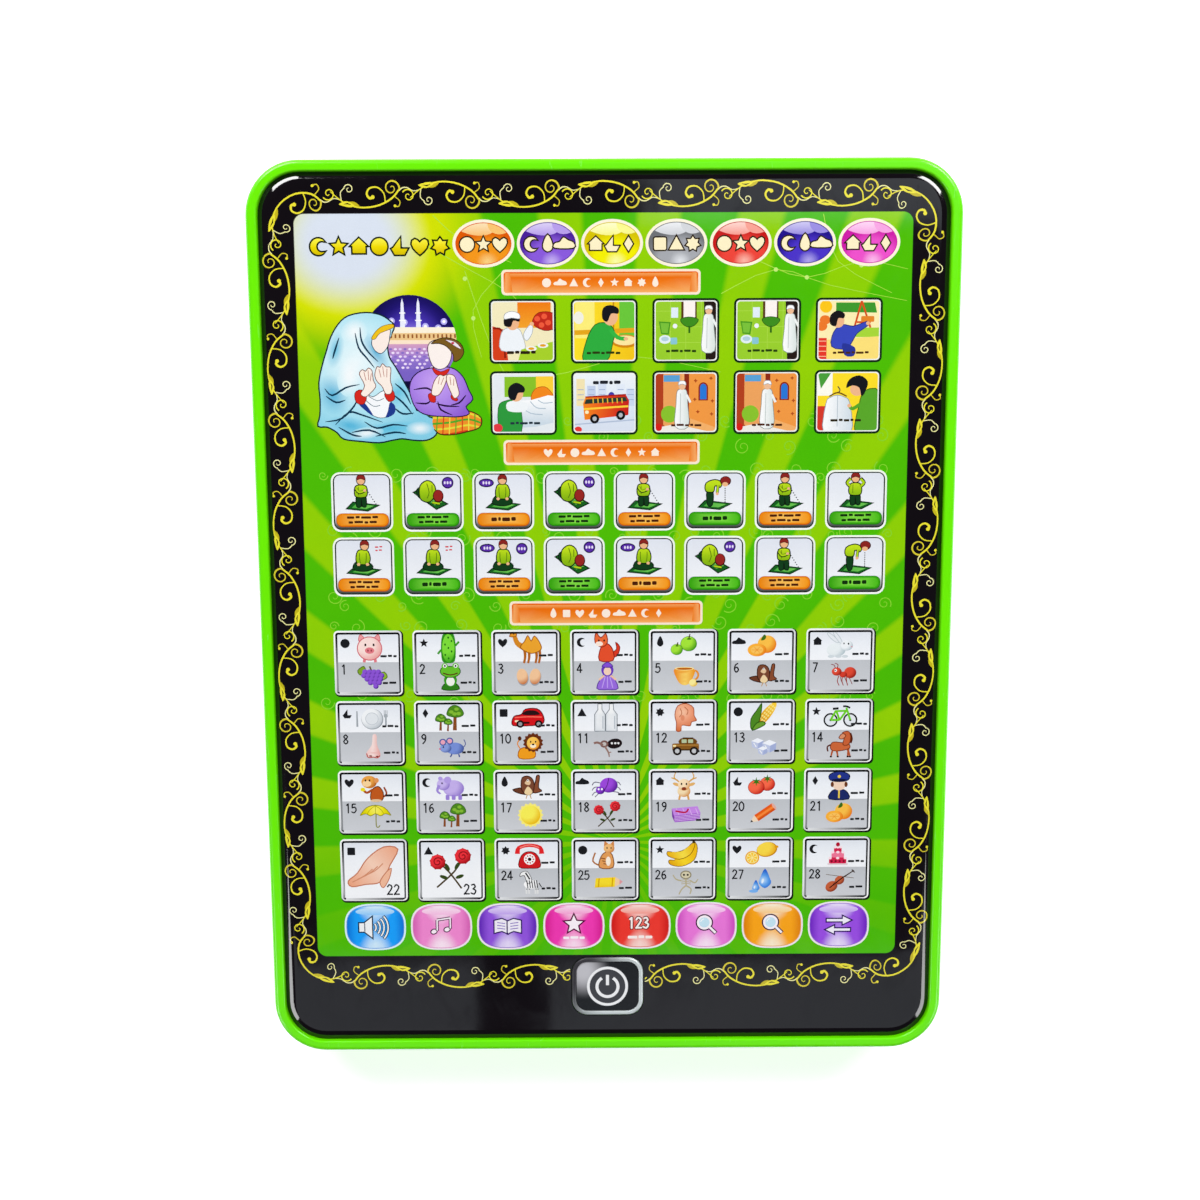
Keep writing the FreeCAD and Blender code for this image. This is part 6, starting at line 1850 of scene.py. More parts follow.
def scene_bus(p):
    p.block(0, 0, *SCENE, fade((0, 8), (0, -2), "F2F6FA", "DCE8F6"))
    for x, h, tone in (
        (-6.2, 7, "F6E6B4"), (-3.4, 5.2, "C6D4EE"), (-0.6, 6.4, "D8E2F4"), (4.2, 5.6, "E4ECF8"),
        (6.8, 4.4, "CCDAF0"),
    ):
        p.fill(box(x, h / 2 - 0.8, 2.2, h), tone)
        for k in range(3):
            p.line([(x - 0.8, 0.8 + k * 1.3), (x + 0.8, 0.8 + k * 1.3)], 0.2, "9CAED0")
    p.oval(1.8, 1.6, 0.9, 1.2, "3A3AA8")
    p.fill(box(0, -6.4, 17, 5.2), "DCE4F2")
    p.line([(-8, -5.6), (8, -4.4)], 0.35, "B4C2DA")
    p.fill([
        (-5.6, -0.2), (-5, 1.4), (5.6, 2), (6.4, 0.6), (6.2, -3.2), (-5.2, -4.4),
    ], fade((-5, 0), (6, 0), "F6861E", "E8401E", "C8201A"), 1)
    p.fill([(-5.3, -0.3), (-4.8, 0.9), (5.5, 1.5), (5.9, 0.4)], "2A3A30")
    for k in range(7):
        x = -3 + k * 1.25
        p.line([(x, 1.2), (x + 0.1, -0.1)], 0.28, "E8C23A")
    p.line([(-5.4, -1.6), (6.2, -0.9)], 0.5, "FFD23A")
    p.line([(-5, 1.5), (5.6, 2.1)], 0.35, "A81A12")
    p.oval(-4.6, -2.4, 0.5, 0.45, "FFF6C8")
    for x, y in ((-2.6, -4.1), (4.2, -3.2)):
        p.discs(x, y, (1.2, 1.25, "141416"), (0.55, 0.6, "B8BCC2"))
    draw_dashes(p, 0.6, 5.2, (1.5, 2.1, 0.9, 1.7), "20242C", 0.85)
    p.oval(-6.9, -6.9, 1, 0.8, "E83A34")


def scene_doorway(p, leaving=True):
    p.block(0, 0, *SCENE, "F7B26A")
    p.fill(box(-7, 0.4, 3, 15), "B4401E")
    p.fill(box(-3.4, 1, 4.8, 13.6), "F0A45E")
    p.fill(box(-3.6, 6.2, 4.2, 1.7), "5AA2D8")
    p.oval(-4.2, -3, 2.2, 2.2, "8AC42E")
    p.fill(box(0.4, 1.2, 1.5, 14), "8E2A14")
    p.fill([(0.9, 8), (8.2, 8), (8.2, -6.6), (0.9, -4)], "F49A44")
    p.fill(box(4.6, 2.2, 2.5, 3.4), "8E2A14")
    p.fill(oval(4.6, 3.8, 1.25, 1.4), "8E2A14")
    p.fill(box(4.6, 2.3, 1.7, 3), "2A78D8")
    p.fill(oval(4.6, 3.8, 0.85, 1), "2A78D8")
    for x, y in ((2.6, 5.6), (6.6, 6.2), (2.4, 0.8), (7, 0.4), (3.2, -2.4), (6.8, -3)):
        p.fill(star(x, y, 0.55, 0.5, 4), "B4501E")
    p.fill([(-2.6, -5.6), (8.2, -8), (-8, -8), (-8, -6.6)], "F2EEE6")
    robed(p, -0.9 if leaving else 0.2, -0.6, 0.98)
    p.oval(-7, -6.4, 0.9, 1, "D8201A")
    draw_dashes(p, 0.2, -5.9, (1.1, 1.9, 1, 0.8, 1.8), "4A1E0A", 0.55)


def scene_arriving(p):
    scene_doorway(p, leaving=False)


def scene_dressing(p):
    p.block(0, 0, *SCENE, "FFE02A")
    p.fill(box(-6.2, 4.8, 4.4, 6.4), "FFFDF0")
    p.fill([(-7.8, 7.4), (-4.4, 7.4), (-7, 3.4)], "4AA03A")
    p.fill(box(-6.8, -4.6, 2.8, 7), "D83A2A")
    p.line([(-2.6, 4), (-2, 3), (-2.6, 2.2)], 0.28, "3A3A40")
    p.line([(-4.8, 1.4), (-2.6, 2.4), (-0.2, 1.4)], 0.35, "6E4A1A")
    p.blob([
        (-6, -8.4), (-5.6, -0.4), (-4.4, 1.2), (-2.6, 1.7), (-0.8, 1.2), (0.6, -0.4), (1, -8.4),
    ], fade((-6, 0), (1, 0), WHITE, "D4E0E8"), "8A9AA6", 0.18)
    p.line([(-2.6, 1.6), (-2.6, -6.4)], 0.18, "B0BEC8")
    p.blob([(2.2, -8.4), (3, -1), (4.4, 2.8), (8.4, 2.4), (8.4, -8.4)], "5AA82A", "2A5A10", 0.2)
    p.line([(3.4, -0.6), (1.4, -1.8), (0.6, -1.2)], 0.9, "5AA82A")
    p.oval(0.5, -1, 0.55, 0.5, CHILD_SKIN)
    p.oval(2.4, 3.2, 1.8, 1.7, CHILD_SKIN)
    p.blob([
        (-0.4, 3.6), (0.4, 5.8), (3, 6.8), (5.2, 5.2), (4.6, 2.6), (3.6, 1.4), (3, 3.6), (1.2, 4.2),
    ], "14161C")
    draw_dashes(p, -0.4, -4.8, (1.9, 1, 1.4, 0.8, 1.6), "2A2410", 0.6)


SCENES = (
    scene_meal,
    scene_washing,
    scene_washroom,
    scene_washroom,
    scene_swing,
    scene_bed,
    scene_bus,
    scene_doorway,
    scene_arriving,
    scene_dressing,
)


def picture_key(index, x, y, material):
    p = Print(x, y)
    p.fill(box(0, 0, *PICTURE_KEY["rim"], 1.4), "0E2A12")
    p.fill(box(0, 0, *PICTURE_KEY["frame"], 0.9), "F4F6F2")
    p.window(box(0, 0, *PICTURE_KEY["window"], 0.8), WHITE)
    SCENES[index](p)
    p.open()
    return p.build(f"picture_key_{index + 1:02d}", material)


# ---- The large picture, the title and the border

def night_town(p):
    """A round night view: sky, two plain towers, lit walls and a hedge."""
    sky = glow(30, 27.5, 12.5, "9A86F0", "4A36B8", "1E1270", "0C0630")
    p.window(oval(29.4, 26, 12.2, 12, 0, 48), sky, 8)
    for x, y in ((24.9, 31.4), (38.4, 31.2), (36.9, 29.6), (28.2, 31), (33.6, 30)):
        p.discs(x, y, (0.85, 0.85, "B8B0F8"), (0.42, 0.42, WHITE))
    for x in (27.7, 31.8):
        p.fill([
            (x - 0.65, 29.4), (x - 0.45, 33.6), (x - 0.35, 35.8), (x, 37.2), (x + 0.35, 35.8),
            (x + 0.45, 33.6), (x + 0.65, 29.4),
        ], "EEF0FF")
        p.block(x, 33.4, 1.5, 0.3, WHITE)
        p.block(x, 31.5, 1.7, 0.3, WHITE)
    p.fill([(16, 29.9), (42, 29.7), (42, 28.2), (16, 28.2)], "FFF4DC")
    p.fill([(16, 28.3), (42, 28.3), (42, 26.4), (16, 26.4)], "F0C88A")
    for i in range(17):
        p.block(23.6 + i * 1.1, 27.5, 0.45, 1, "9A5A2A", 0.15)
    p.fill([(16, 26.5), (42, 26.5), (42, 25.4), (16, 25.4)], "FFE8CC")
    p.fill([
        (16, 25.5), (42, 25.5), (42, 16), (16, 16),
    ], fade((0, 25.4), (0, 18.6), "D8A0C4", "9A7AD2", "7A62C4"), 2)
    for row in range(6):
        for i in range(13):
            x = 23.2 + i * 1.25 + (row % 2) * 0.6
            p.oval(x, 24.2 - row * 0.95, 0.42, 0.3, ("E4CCF4", "8A70C8", "F2E2FA")[(i + row) % 3])
    p.open()


CUFF = "D8281E"
CUFF_EDGE = "6A0E0A"


def hand(p, points, lines):
    p.blob(points, "FFF1E6", "7A3E34", 0.2)
    p.lines(lines, 0.16, "B4685A")


def seated_reader(p):
    """The larger seated figure, in a pale blue cloak."""
    cloak = [
        (18.3, 33.4), (13.8, 32.6), (11.2, 30.5), (9.2, 27.2), (7.9, 23.4), (6.7, 19.7), (5.8, 15.5),
        (6, 11.3), (5.8, 7.2), (5.2, 4.6), (7.5, 4.4), (10, 3), (11.7, 1.3), (15.8, 0.7), (20.8, 0.3),
        (24.2, 0.9), (27, 1.3), (30, 0.9), (33.3, 0.9), (35.6, 2.2), (36.2, 4.6), (35, 6.3), (31.7, 7.2),
        (30.4, 9.2), (29.2, 12.6), (27.5, 15.9), (25.4, 19.7), (23.9, 22.2), (23.6, 25.6), (24.6, 28),
        (25.4, 30), (24.4, 31.3), (22, 32.8),
    ]
    outline = smooth(cloak)
    p.fill(grown(outline, 0.36), "06202E")
    cloth = glow(16, 21, 21, "F0FBFE", "D2F2FA", "A8E2F2", "86D0E8")
    p.window(outline, cloth, 8)
    spots = (
        (9.2, 12.5, 4.2, 5.6, 20, "2FA8D4"),
        (20.6, 23.6, 2.6, 6, 30, "2FA8D4"),
        (13.5, 4.6, 6, 2.4, -12, "38AED8"),
        (24, 3.8, 8, 1.9, 6, "4ABADE"),
        (10.2, 24, 2.2, 5, -14, "4ABADE"),
        (26, 13, 3.4, 5, -40, "58C0E0"),
        (13.6, 17.4, 3.2, 5.4, -8, WHITE),
        (17.6, 2.6, 4.6, 1.6, 8, WHITE),
        (31.6, 3.8, 3.6, 1.9, 0, WHITE),
        (15.2, 28.8, 3.6, 3.2, 30, WHITE),
    )
    for x, y, rx, ry, turn, code in spots:
        p.fill(oval(x, y, rx, ry, turn, 26), patch(cloth, x, y, rx, ry, turn, code, 0.9), 5)
    folds = (
        [(16.7, 29.8), (17, 26.4), (18.6, 23.6), (21.2, 21)],
        [(15.4, 28.4), (16.2, 24.6), (18.2, 22), (20.2, 19.4)],
        [(11.2, 27.2), (10, 23.8), (9.4, 21.8)],
        [(7.1, 14.2), (9, 12.4), (12.6, 14.4), (16.2, 15.2)],
        [(7.4, 12.2), (10, 10.6), (12.4, 11.2)],
        [(7, 5.6), (11.2, 6.4), (14.6, 9.6), (15.4, 11.6)],
        [(9.6, 4.8), (13.2, 8), (16.4, 7.4), (22, 5.4)],
        [(10.4, 4.2), (14, 2.2), (16.4, 1.8)],
        [(17.2, 5.6), (20.4, 3.9), (24.6, 4.8), (28.4, 4.4)],
        [(20, 1.8), (25, 2.8), (28, 2.4)],
        [(24.8, 12.6), (27.4, 10.4), (29.8, 7.4)],
        [(25.4, 15.4), (27.8, 13.2), (29.4, 10)],
        [(25, 9.2), (27.2, 7.6), (30.2, 7.8)],
        [(13.8, 2.8), (18.4, 3.4), (22.6, 1.6)],
    )
    p.lines(folds, 0.16, "083650", 0.12, 0.5)
    p.open()
    face = [
        (19.6, 25.9), (20.2, 28), (22, 29.6), (24.4, 29.4), (24.3, 27.2), (24, 25.6), (23.3, 24.2),
        (22, 23.1), (20.7, 23.6), (19.9, 24.7),
    ]
    p.blob(face, "FFEFE6", "0E3A5A", 0.2)
    p.blob([
        (19.6, 27), (20.7, 28.7), (22.5, 30.1), (25, 30.6), (25.4, 29.8), (23.6, 29), (21.7, 28.2),
        (20.5, 26.8),
    ], "F2C41A", "8A6A0A", 0.16)
    p.blob([
        (17.4, 13), (19.6, 12), (22.4, 13.6), (24, 11.6), (24.4, 8.6), (22.4, 6.6), (19.4, 7.2),
        (16.8, 9.8),
    ], "FAFCFE", "20404E", 0.16)
    p.blobs([
        [(24, 10.6), (25.3, 9.6), (25, 7.6), (22.8, 6.6), (23.4, 8.4)],
        [(15.8, 10.2), (17.6, 8.4), (19.6, 7), (18.2, 9.4), (16.9, 10.8)],
    ], "1E3A8E")
    p.lines((
        ((17.6, 11.2), (19.6, 9.6), (21.4, 9.8)), ((18.4, 12.2), (20.6, 11), (22.4, 11.6)),
    ), 0.18, "5A7482")
    p.blobs([
        [(14.9, 13), (16.6, 13.8), (17.9, 11.8), (17, 10.1), (15.2, 10.6)],
        [(22.6, 12.8), (24.8, 13.6), (25.2, 11.4), (23.6, 10.8)],
    ], CUFF, CUFF_EDGE, 0.16)
    left = [
        (16.2, 17.8), (17, 19), (17.8, 18.6), (18.6, 19.4), (19.5, 18.7), (19.8, 16.3), (20.4, 14.7),
        (19, 13), (17.6, 12), (16.4, 12.8), (17.5, 14.9),
    ]
    hand(p, left, (((17.4, 18.4), (17.9, 16.2)), ((18.5, 18.8), (18.6, 16.4)), ((19.3, 18), (19, 16))))
    right = [
        (20.2, 17.6), (20.8, 19.7), (21.6, 19.6), (22.3, 20.5), (23.2, 19.7), (24.4, 19.4), (24.2, 16.3),
        (24.7, 14.2), (24.2, 12.8), (22.9, 12.8), (22, 14.7), (20.8, 15.9),
    ]
    hand(p, right, (((21.3, 19.2), (21.8, 17)), ((22.3, 19.8), (22.6, 17.2)), ((23.4, 19.2), (23.3, 17))))


def seated_child(p):
    """The smaller seated figure, in purple, with a round cap, on a checked mat."""
    mat_edge = smooth([
        (35.6, 7.4), (40, 7.8), (44.6, 8.2), (47.6, 6.5), (47.2, 4), (44, 2.9), (40.6, 2.2), (36.8, 2.3),
        (35, 4.4),
    ])
    p.window(mat_edge, "F2922A")
    for i in range(4):
        p.line(
            [(34.6, 6.4 - i * 1.5), (39.6, 6.8 - i * 1.5), (44.4, 7.6 - i * 1.5), (48.4, 6 - i * 1.2)], 0.5,
            ("E8DC3A", "4EA82A", "E8DC3A", "D8401A")[i],
        )
    for i in range(8):
        p.line([(36.4 + i * 1.6, 8.6), (35.8 + i * 1.7, 1.6)], 0.3, ("4EA82A", "D8401A", "F2E24A")[i % 3])
    p.open()
    p.line(mat_edge[4:-3], 0.3, "4A2A0A", curved=False)
    body = smooth([
        (36.6, 19.4), (33, 18.8), (30.4, 17.2), (29.3, 14.6), (29.6, 11.8), (31, 8.8), (33.6, 7.4),
        (37.5, 7), (41.7, 6.9), (44.4, 7.6), (43.6, 9.4), (45.4, 11.3), (44.4, 13.6), (43.2, 16.6),
        (41.4, 18.6), (39.4, 19.4),
    ])
    p.fill(grown(body, 0.28), "1E0838")
    p.window(body, glow(36, 15.5, 10.5, "CDA6F6", "B088EA", "8E5CD4"), 4)
    p.lines((
        [(30.2, 13.8), (33.6, 14.2), (35.4, 13)], [(30.6, 10.4), (33.4, 10.2), (34.6, 11)],
        [(36, 10.2), (38.4, 9.6), (42, 9.4)], [(36.4, 10.8), (37.2, 8.6), (40.2, 7.2)],
        [(43.8, 12.4), (42, 10.4), (39.8, 9.8)],
    ), 0.14, "220A3C", 0.12, 0.46)
    p.open()
    p.blob([(35.2, 19.4), (37.4, 18.4), (39.6, 19.2), (38.6, 17.6), (36.2, 17.6)], CUFF, CUFF_EDGE, 0.14)
    p.blob([
        (34.1, 23.6), (34.6, 25.8), (37, 26.6), (39.6, 25.4), (40.2, 22.6), (39.2, 20), (37.2, 19),
        (35.2, 20),
    ], "FFF4EE", "3A1E14", 0.2)
    cap = [
        (35, 25.6), (37.2, 26.9), (40.2, 26.9), (42.6, 25.6), (43.4, 23.4), (42.4, 21.6), (40.8, 21),
        (40.6, 22.8), (39, 24.8), (37, 25.6),
    ]
    p.blob(cap, "7A5A20", "2A1A08", 0.2)
    p.blob([(38.6, 26.6), (41.2, 26), (42.8, 24.2), (41.6, 24.6), (39.8, 25.8)], "F2E8F4", "6A3A2A", 0.14)
    p.oval(40.6, 25.7, 0.4, 0.3, "C83A5A")
    p.blobs([
        [(34, 12.6), (35.6, 12.8), (35.8, 10.6), (34.4, 10.8)],
        [(40, 12.4), (41.6, 11.4), (41.2, 10.8), (40, 11.4)],
    ], CUFF, CUFF_EDGE, 0.14)
    left = [
        (34.8, 13), (35.6, 16), (37, 17.6), (38, 17.3), (39, 17.6), (38.4, 15.2), (36.9, 12.6),
        (35.6, 12.2),
    ]
    hand(p, left, (((37, 17), (36.6, 15.2)), ((38.1, 16.9), (37.3, 15))))
    right = [
        (38.8, 15.9), (39, 17.6), (40.2, 17.6), (41, 17), (41.6, 14.7), (42, 12.6), (40.8, 11.5),
        (39.8, 13.2),
    ]
    hand(p, right, (((39.7, 17), (39.9, 15)), ((40.7, 16.6), (40.6, 14.8))))


def large_picture(material):
    p = Print(-80, 48)
    night_town(p)
    seated_reader(p)
    seated_child(p)
    return p.build("large_picture", material)


def title_row(material):
    """A row of bold yellow symbols with dark outlines."""
    p = Print(-57.8, 98.2)
    for k, name in enumerate(("moon", "star", "house", "circle", "boat", "heart", "flower")):
        x = (k - 3) * 5.2
        draw_symbol(
            p, name, x, 0, 2.05, fade((x, 2), (x, -2), "FFF84A", "F2DE00", "D8BE00"), "14200A", 0.42,
        )
    return p.build("title_row", material)


def backdrop_swirls(material):
    """Thin pale scrolls and a network of fine lines behind the keys."""
    p = Print()
    p.window(box(PANEL["x"], PANEL["y"], PANEL["width"] - 1, PANEL["height"] - 1))
    pale = "8CD832"
    rows = ((39.6, 26), (23.8, 22), (6.2, 24), (-0.6, 18), (-20.1, 20), (48, 12), (54, 9))
    for row, (y, count) in enumerate(rows):
        for k in range(count):
            share = (k + 0.5 + 0.3 * math.sin(k * 2.4 + row)) / count
            if y > 46:
                x = -14 + share * 90
            else:
                x = -77 + share * 153
            r = 1.3 + 0.9 * abs(math.sin(k * 1.7 + row * 2.1))
            turn = 520 if (k + row) % 2 else -520
            shift = 1.4 * math.sin(k * 3.1 + row)
            p.fill(ribbon(spiral(x, y + shift, r, r * 0.15, k * 77, turn, 26), 0.28, 0.16), pale)
    for points in (
        [(-44, 106), (-37, 100), (-24, 94)],
        [(-47, 99), (-38, 94), (-24, 86), (-20, 80)],
        [(-26, 92), (-34, 82), (-32, 70)],
        [(-36, 92), (-30, 74), (-24, 62)],
        [(40, 94), (52, 90), (66, 94), (78, 92)],
        [(30, 86), (44, 92), (58, 88), (78, 84)],
        [(56, 106), (60, 94), (74, 86)],
        [(-24, 64), (-10, 66), (8, 70), (30, 66)],
    ):
        p.line(points, 0.2, "B4E64A", 0.12)
    for x, y in ((-36, 90), (-34, 80), (52, 90), (66, 93), (44, 92)):
        p.oval(x, y, 0.55, 0.55, "C8F07A")
    p.open()
    return p.build("backdrop_swirls", material, level=swirl_level)


# ---- Scrolled vine border

# The first unit starts before the middle of the first corner, by a lead along the unit.
VINE = {
    "half_width": 84.4, "top": 111.1, "bottom": -98.4, "corner": 14, "units": 36, "unit": 21.3, "lead": 7.3,
}
GOLD = "EFE436"
DEEP_GOLD = "C8B81E"
DARK_GOLD = "DDCD34"
PALE_GOLD = "F4F0A8"


def vine_path(distance, out):
    """A point of the face at a distance along the border's loop, and out from it."""
    w = VINE["half_width"]
    r = VINE["corner"]
    height = VINE["top"] - VINE["bottom"]
    middle = (VINE["top"] + VINE["bottom"]) / 2
    legs = [(2 * (w - r), 0), (height - 2 * r, -90), (2 * (w - r), -180), (height - 2 * r, -270)]
    starts = [(-(w - r), height / 2), (w, height / 2 - r), (w - r, -height / 2), (-w, -(height / 2 - r))]
    arc = math.pi * r / 2
    distance %= vine_length()
    for (length, turn), (x, y) in zip(legs, starts):
        a = math.radians(turn)
        along = (math.cos(a), math.sin(a))
        outward = (-along[1], along[0])
        if distance <= length:
            px = x + along[0] * distance + outward[0] * out
            return px, middle + y + along[1] * distance + outward[1] * out
        distance -= length
        if distance <= arc or turn == legs[-1][1]:
            bend = distance / r
            cx = x + along[0] * length - outward[0] * r
            cy = y + along[1] * length - outward[1] * r
            reach = r + out
            px = cx + reach * (outward[0] * math.cos(bend) + along[0] * math.sin(bend))
            py = cy + reach * (outward[1] * math.cos(bend) + along[1] * math.sin(bend))
            return px, middle + py
        distance -= arc


def vine_length():
    w, r = VINE["half_width"], VINE["corner"]
    return 4 * (w - r) + 2 * (VINE["top"] - VINE["bottom"] - 2 * r) + 2 * math.pi * r


def vine_unit():
    """Strokes of one unit of the vine, on a straight line: outline and colour of each."""
    stem = smooth([
        (-2, 0.8), (0.6, -1.3), (3.4, -2.7), (7, -3.2), (11, -2.6), (14.4, -0.9), (16.3, 1.2),
    ], False)
    curl = spiral(14.3, 1.6, 2.2, 0.3, -10, 500, 30)
    inner = smooth([
        (12.6, -2), (12.3, 0.3), (10.6, 1.8), (8.5, 1.6), (7.7, 0.2), (8.5, -0.9), (9.4, -0.5),
    ], False)
    second = spiral(18.8, -0.3, 1.75, 0.25, 150, -470, 24)
    link = smooth([(16.3, 1), (17.3, 1.7), (18.6, 1.7), (20.2, 0.9), (22, 1.3)], False)
    tail = smooth([(15.2, -0.5), (16.5, -1.6), (16.2, -2.9), (15.2, -2.8)], False)
    top = smooth([(0.9, -1.4), (0.7, 0.6), (1.8, 1.7)], False) + spiral(2.9, 1.4, 1.3, 0.25, 165, -440, 20)
    return [
        (ribbon(top, 0.24, 0.16, 0.26), PALE_GOLD),
        (ribbon(link, 0.34, 0.18, 0.26), PALE_GOLD),
        (ribbon(second, 0.34, 0.2, 0.28), GOLD),
        (ribbon(tail, 0.26, 0.3, 0.26), DARK_GOLD),
        (ribbon(stem, 0.2, 0.45, 0.42), GOLD),
        (ribbon(curl, 0.5, 0.2, 0.32), DARK_GOLD),
        (ribbon(inner, 0.28, 0.75, 0.45), GOLD),
        (oval(9.3, -0.6, 0.5, 0.5, 0, 12), GOLD),
        (oval(15.2, -2.8, 0.36, 0.36, 0, 10), GOLD),
        (smooth([(5.8, -3), (5, -2.1), (4, -1.7), (3, -1.8), (3.8, -2.3), (4.6, -2.8)]), DEEP_GOLD),
        (smooth([(4.4, -2.8), (3.3, -1.9), (1.9, -1.6), (0.2, -2.3), (1.4, -2.8), (3, -3.1)]), GOLD),
        (ribbon([(3.4, -2.5), (2.5, -2.2), (1.4, -2.35)], 0.1, 0.08, 0.34), "241C04"),
    ]


def vine_border(material):
    """The vine runs round the panel in units that turn over each time, and stops at the key."""
    p = Print()
    notch = KEY_WIDTH / 2 + 0.5
    right = [(notch, -92), (notch, -116), (FILM_HALF_WIDTH, -116), (FILM_HALF_WIDTH, 116)]
    p.window(right + [(-x, y) for x, y in reversed(right)])
    pitch = vine_length() / VINE["units"]
    stretch = pitch / VINE["unit"]
    start = -math.pi * VINE["corner"] / 4 - VINE["lead"] * stretch
    strokes = vine_unit()
    for unit in range(VINE["units"]):
        flip = 1 if unit % 2 else -1
        for outline, colour in strokes:
            p.fill([vine_path(start + unit * pitch + u * stretch, flip * v) for u, v in outline], colour)
    return p.build("vine_border", material)


def power_mark(material):
    """White ring and power symbol on the key's face."""
    p = Print(0, KEY_Y)
    white = "F2F2F4"
    outer = spiral(0, 0, 5.35, 5.35, 0, 360, 44)[:-1]
    p.fill(grown(outer, 0.36), "C8CACE")
    p.fill(grown(outer, 0.26), white)
    p.fill(grown(outer, -0.42), "34343A")
    p.fill(ribbon(spiral(0, -0.1, 2.9, 2.9, 122, 296, 36), 0.85), white)
    p.line([(0, 3.3), (0, 0.3)], 0.85, white)
    return p.build("power_mark", material, "power_key", key_level)


def print_face():
    material = print_material()
    backdrop_swirls(material)
    first, pitch, y = OVAL_ROW
    for i in range(7):
        oval_key(i, first + i * pitch, y, material)
    first, pitch, top, step = PICTURE_ROWS
    for i in range(10):
        picture_key(i, first + i % 5 * pitch, top - i // 5 * step, material)
    first, pitch, top, step = POSE_ROWS
    for row in range(2):
        for column in range(8):
            pose_key(row, column, first + column * pitch, top - row * step, material)
    first, pitch, top, step = LETTER_ROWS
    for i in range(28):
        letter_key(i, first + i % 7 * pitch, top - i // 7 * step, material)
    first, pitch, y = MODE_ROW
    for i in range(8):
        mode_key(i, first + i * pitch, y, material)
    for i, (x, y) in enumerate(BARS):
        section_bar(i, x, y, material)
    large_picture(material)
    title_row(material)
    vine_border(material)
    power_mark(material)


# ---- CAD materials

def key_face_material():
    """Dark glossy key face with a painted reflection in its upper left corner: a soft pale patch, printed
    on the real key, laid into the face's colour.
    """
    shader = Shader("key_face")
    # painted reflection: the face's colour turns pale towards its upper left corner
    pale = shader.ramp(shader.distance(-6.6, KEY_Y + 4.4, 0.9), 1, 7.6, 1, 0)
    base = shader.mix(pale, rgb("16181C"), rgb("BDBCC2"))
    grain = shader.noise(2.5, 3)
    return shader.finish(base, shader.ramp(grain, 0.3, 0.7, 0.14, 0.22), shader.bump(grain, 0.002))


def key_rim_material():
    """Satin silver rim, with painted shade at its upper left and a painted highlight at its lower right, as
    the real key's print has them.
    """
    shader = Shader("key_rim")
    across, up, _level = shader.split(shader.place)
    # painted shade and highlight: the rim's colour runs from dark at the upper left to bright at the lower
    # right
    slope = shader.math("MULTIPLY", shader.math("SUBTRACT", up, KEY_Y), 0.6)
    tone = shader.ramp(shader.math("SUBTRACT", across, slope), -10, 5)
    base = shader.mix(tone, rgb("3E3C42"), rgb("DDE5E6"))
    grain = shader.noise(3, 4, 0.6)
    rough = shader.ramp(grain, 0.3, 0.7, 0.34, 0.46)
    return shader.finish(base, rough, shader.bump(grain, 0.004), Metallic=0.35)


def board_material():
    """Green circuit board with solder-masked tracks."""
    shader = Shader("circuit_board")
    node = shader.tree.nodes.new("ShaderNodeTexBrick")
    node.inputs["Scale"].default_value = 0.35
    node.inputs["Mortar Size"].default_value = 0.035
    node.inputs["Color1"].default_value = rgb("1E6A32")
    node.inputs["Color2"].default_value = rgb("236F38")
    node.inputs["Mortar"].default_value = rgb("4FA05A")
    shader.link(shader.place, node.inputs["Vector"])
    fine = shader.noise(3, 2)
    return shader.finish(
        node.outputs["Color"], shader.ramp(fine, 0.3, 0.7, 0.25, 0.4),
        shader.bump(node.outputs["Fac"], 0.03),
    )


def paint(material, *nodes):
    for node in nodes:
        mesh = NODES[node].data
        mesh.materials.clear()
        mesh.materials.append(material)


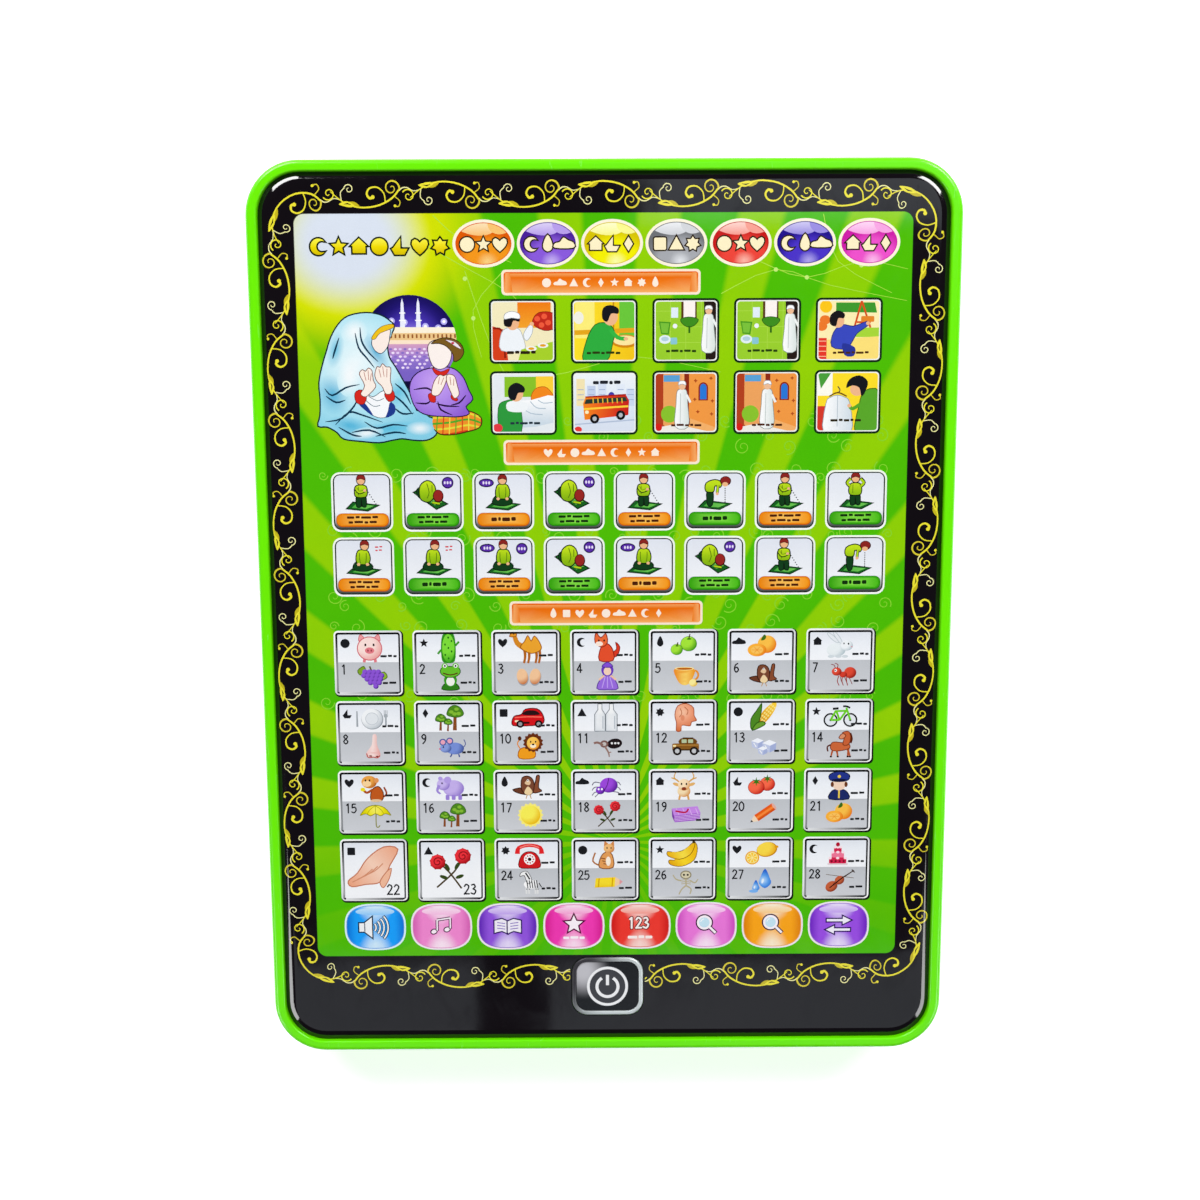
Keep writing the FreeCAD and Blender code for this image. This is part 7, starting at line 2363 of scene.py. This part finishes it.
def paint_cad():
    lime = moulded("case_lime", "6CEE00", 0.96, (0.2, 0.25), 1.6, 0.0015)
    back = moulded("case_back_lime", "6CEE00", 0.96, (0.34, 0.46), 4, 0.012)
    paint(lime, "front_shell")
    paint(back, "back_shell", "battery_door")
    paint(film_material(), "printed_film")
    paint(
        moulded("clear_sheet", "D8DEE2", 0.95, (0.1, 0.2), 1), "membrane_upper_sheet", "membrane_spacer",
        "membrane_lower_sheet", "membrane_tail",
    )
    paint(
        patched("carbon_ink", "16181A", "2A2C30", 2, rough=(0.6, 0.8)), "upper_contacts", "lower_contacts",
    )
    paint(key_face_material(), "power_key")
    paint(key_rim_material(), "power_key_rim")
    paint(moulded("switch_black", "17181A"), "power_switch_body")
    paint(moulded("switch_stem", "8C2A22"), "power_switch_stem")
    paint(board_material(), "main_board")
    paint(moulded("black_resin", "0C0C0D", 0.8, (0.15, 0.3)), "chip_blob")
    paint(moulded("capacitor_sleeve", "1C2230"), "capacitors")
    paint(patched("resistor_glaze", "20211F", "B8BAB4", 0.8, (0.6, 0.66), (0.25, 0.4)), "resistors")
    steel = metal("plated_steel", "BFC1BC", (0.22, 0.38))
    paint(
        steel, "case_screws", "battery_door_screw", "board_screws", "tail_clamp_screws", "speaker_screws",
        "crystal",
    )
    paint(moulded("white_nylon", "E4E2DA", 0.92, (0.4, 0.55)), "tail_clamp_bar")
    paint(patched("cell_jacket", "2A6FB8", "D8A43A", 0.06, (0.52, 0.56), (0.25, 0.4)), "battery_cells")
    paint(
        metal("spring_steel", "C8C4B4", (0.18, 0.32)), "battery_contact_plates", "battery_springs",
        "speaker_terminals",
    )
    paint(moulded("lead_black", "141416", 0.9, (0.4, 0.55)), "battery_lead_black")
    paint(moulded("lead_red", "B81414", 0.9, (0.4, 0.55)), "battery_lead_red")
    paint(moulded("lead_white", "DCDCD8", 0.9, (0.4, 0.55)), "speaker_leads")
    paint(patched("gasket_foam", "1E1F21", "34363A", 3, rough=(0.8, 0.95), depth=0.08), "speaker_gasket")
    paint(
        metal("speaker_steel", "A4A6A4", (0.3, 0.45)), "speaker_basket", "speaker_top_plate",
        "speaker_yoke",
    )
    paint(patched("ferrite", "232427", "3A3B3E", 1.2, rough=(0.6, 0.8)), "speaker_magnet")
    paint(patched("cone_paper", "2A2724", "3C3833", 2.4, rough=(0.75, 0.9), depth=0.05), "speaker_cone")
    paint(metal("coil_copper", "B8683A", (0.25, 0.4)), "voice_coil")


# ---- Floor, lights and camera

def stage():
    """Plain pale floor."""
    bpy.ops.mesh.primitive_plane_add(size=6, location=(0, 0, -0.0002))
    floor = bpy.context.object
    floor.name = "floor"
    shader = Shader("floor")
    tone = shader.mix(shader.noise(0.01, 2), rgb("FBFBFB"), rgb(WHITE))
    fine = shader.bump(shader.noise(0.4, 2), 0.02)
    glow_through = {"Emission Color": rgb(WHITE), "Emission Strength": 0.52}
    floor.data.materials.append(shader.finish(tone, 0.8, fine, **glow_through))


def area_light(name, place, target, width, height, power, tint=(1, 1, 1)):
    lamp = bpy.data.lights.new(name, "AREA")
    lamp.shape = "RECTANGLE"
    lamp.size = width
    lamp.size_y = height
    lamp.energy = power
    lamp.color = tint
    holder = bpy.data.objects.new(name, lamp)
    bpy.context.scene.collection.objects.link(holder)
    holder.location = place
    aim = Vector(target) - Vector(place)
    holder.rotation_euler = aim.to_track_quat("-Z", "Y").to_euler()


def lights():
    """Soft lights on the diagonals, and weak cards that the film reflects."""
    world = bpy.data.worlds.new("studio")
    bpy.context.scene.world = world
    world.use_nodes = True
    world.node_tree.nodes["Background"].inputs[0].default_value = (0.95, 0.97, 1, 1)
    world.node_tree.nodes["Background"].inputs[1].default_value = 0.04
    face = (0, 0, 0.017)
    area_light("back_left", (-0.70, 1.06, 0.82), face, 0.66, 0.52, 16.6)
    area_light("back_right", (0.88, 0.94, 0.82), face, 0.62, 0.52, 15.6)
    area_light("front_left", (-1.00, -0.78, 0.80), face, 0.5, 0.5, 5)
    area_light("front_right", (1.00, -0.78, 0.80), face, 0.5, 0.5, 4.4)
    cool = (0.84, 0.92, 1)
    area_light("sheen_left", (-0.36, -0.66, 0.95), (-0.36, -0.11, 0), 0.48, 0.36, 0.24, cool)
    area_light("sheen_right", (0.40, -0.66, 0.95), (0.40, -0.11, 0), 0.90, 0.36, 0.48, cool)
    area_light("sheen_top", (0.50, 0.62, 1.40), (0.50, 0.62, 0), 0.90, 0.76, 1.7, cool)


def camera():
    """Looks down on the face from above its upper half, turned by a quarter of a degree."""
    eye = Vector((-0.0029, 0.0651, 0.4115))
    target = Vector((-0.0016, 0.0062, 0.017))
    roll = math.radians(0.25)
    lens = bpy.data.cameras.new("camera")
    lens.sensor_width = 36
    lens.lens = 45
    holder = bpy.data.objects.new("camera", lens)
    bpy.context.scene.collection.objects.link(holder)
    back = (eye - target).normalized()
    right = Vector((0, 1, 0)).cross(back).normalized()
    up = back.cross(right)
    turn = Matrix((right, up, back)).transposed() @ Matrix.Rotation(-roll, 3, "Z")
    holder.matrix_world = Matrix.Translation(eye) @ turn.to_4x4()
    bpy.context.scene.camera = holder


bpy.context.scene.view_settings.view_transform = "Standard"
paint_cad()
print_face()
stage()
lights()
camera()
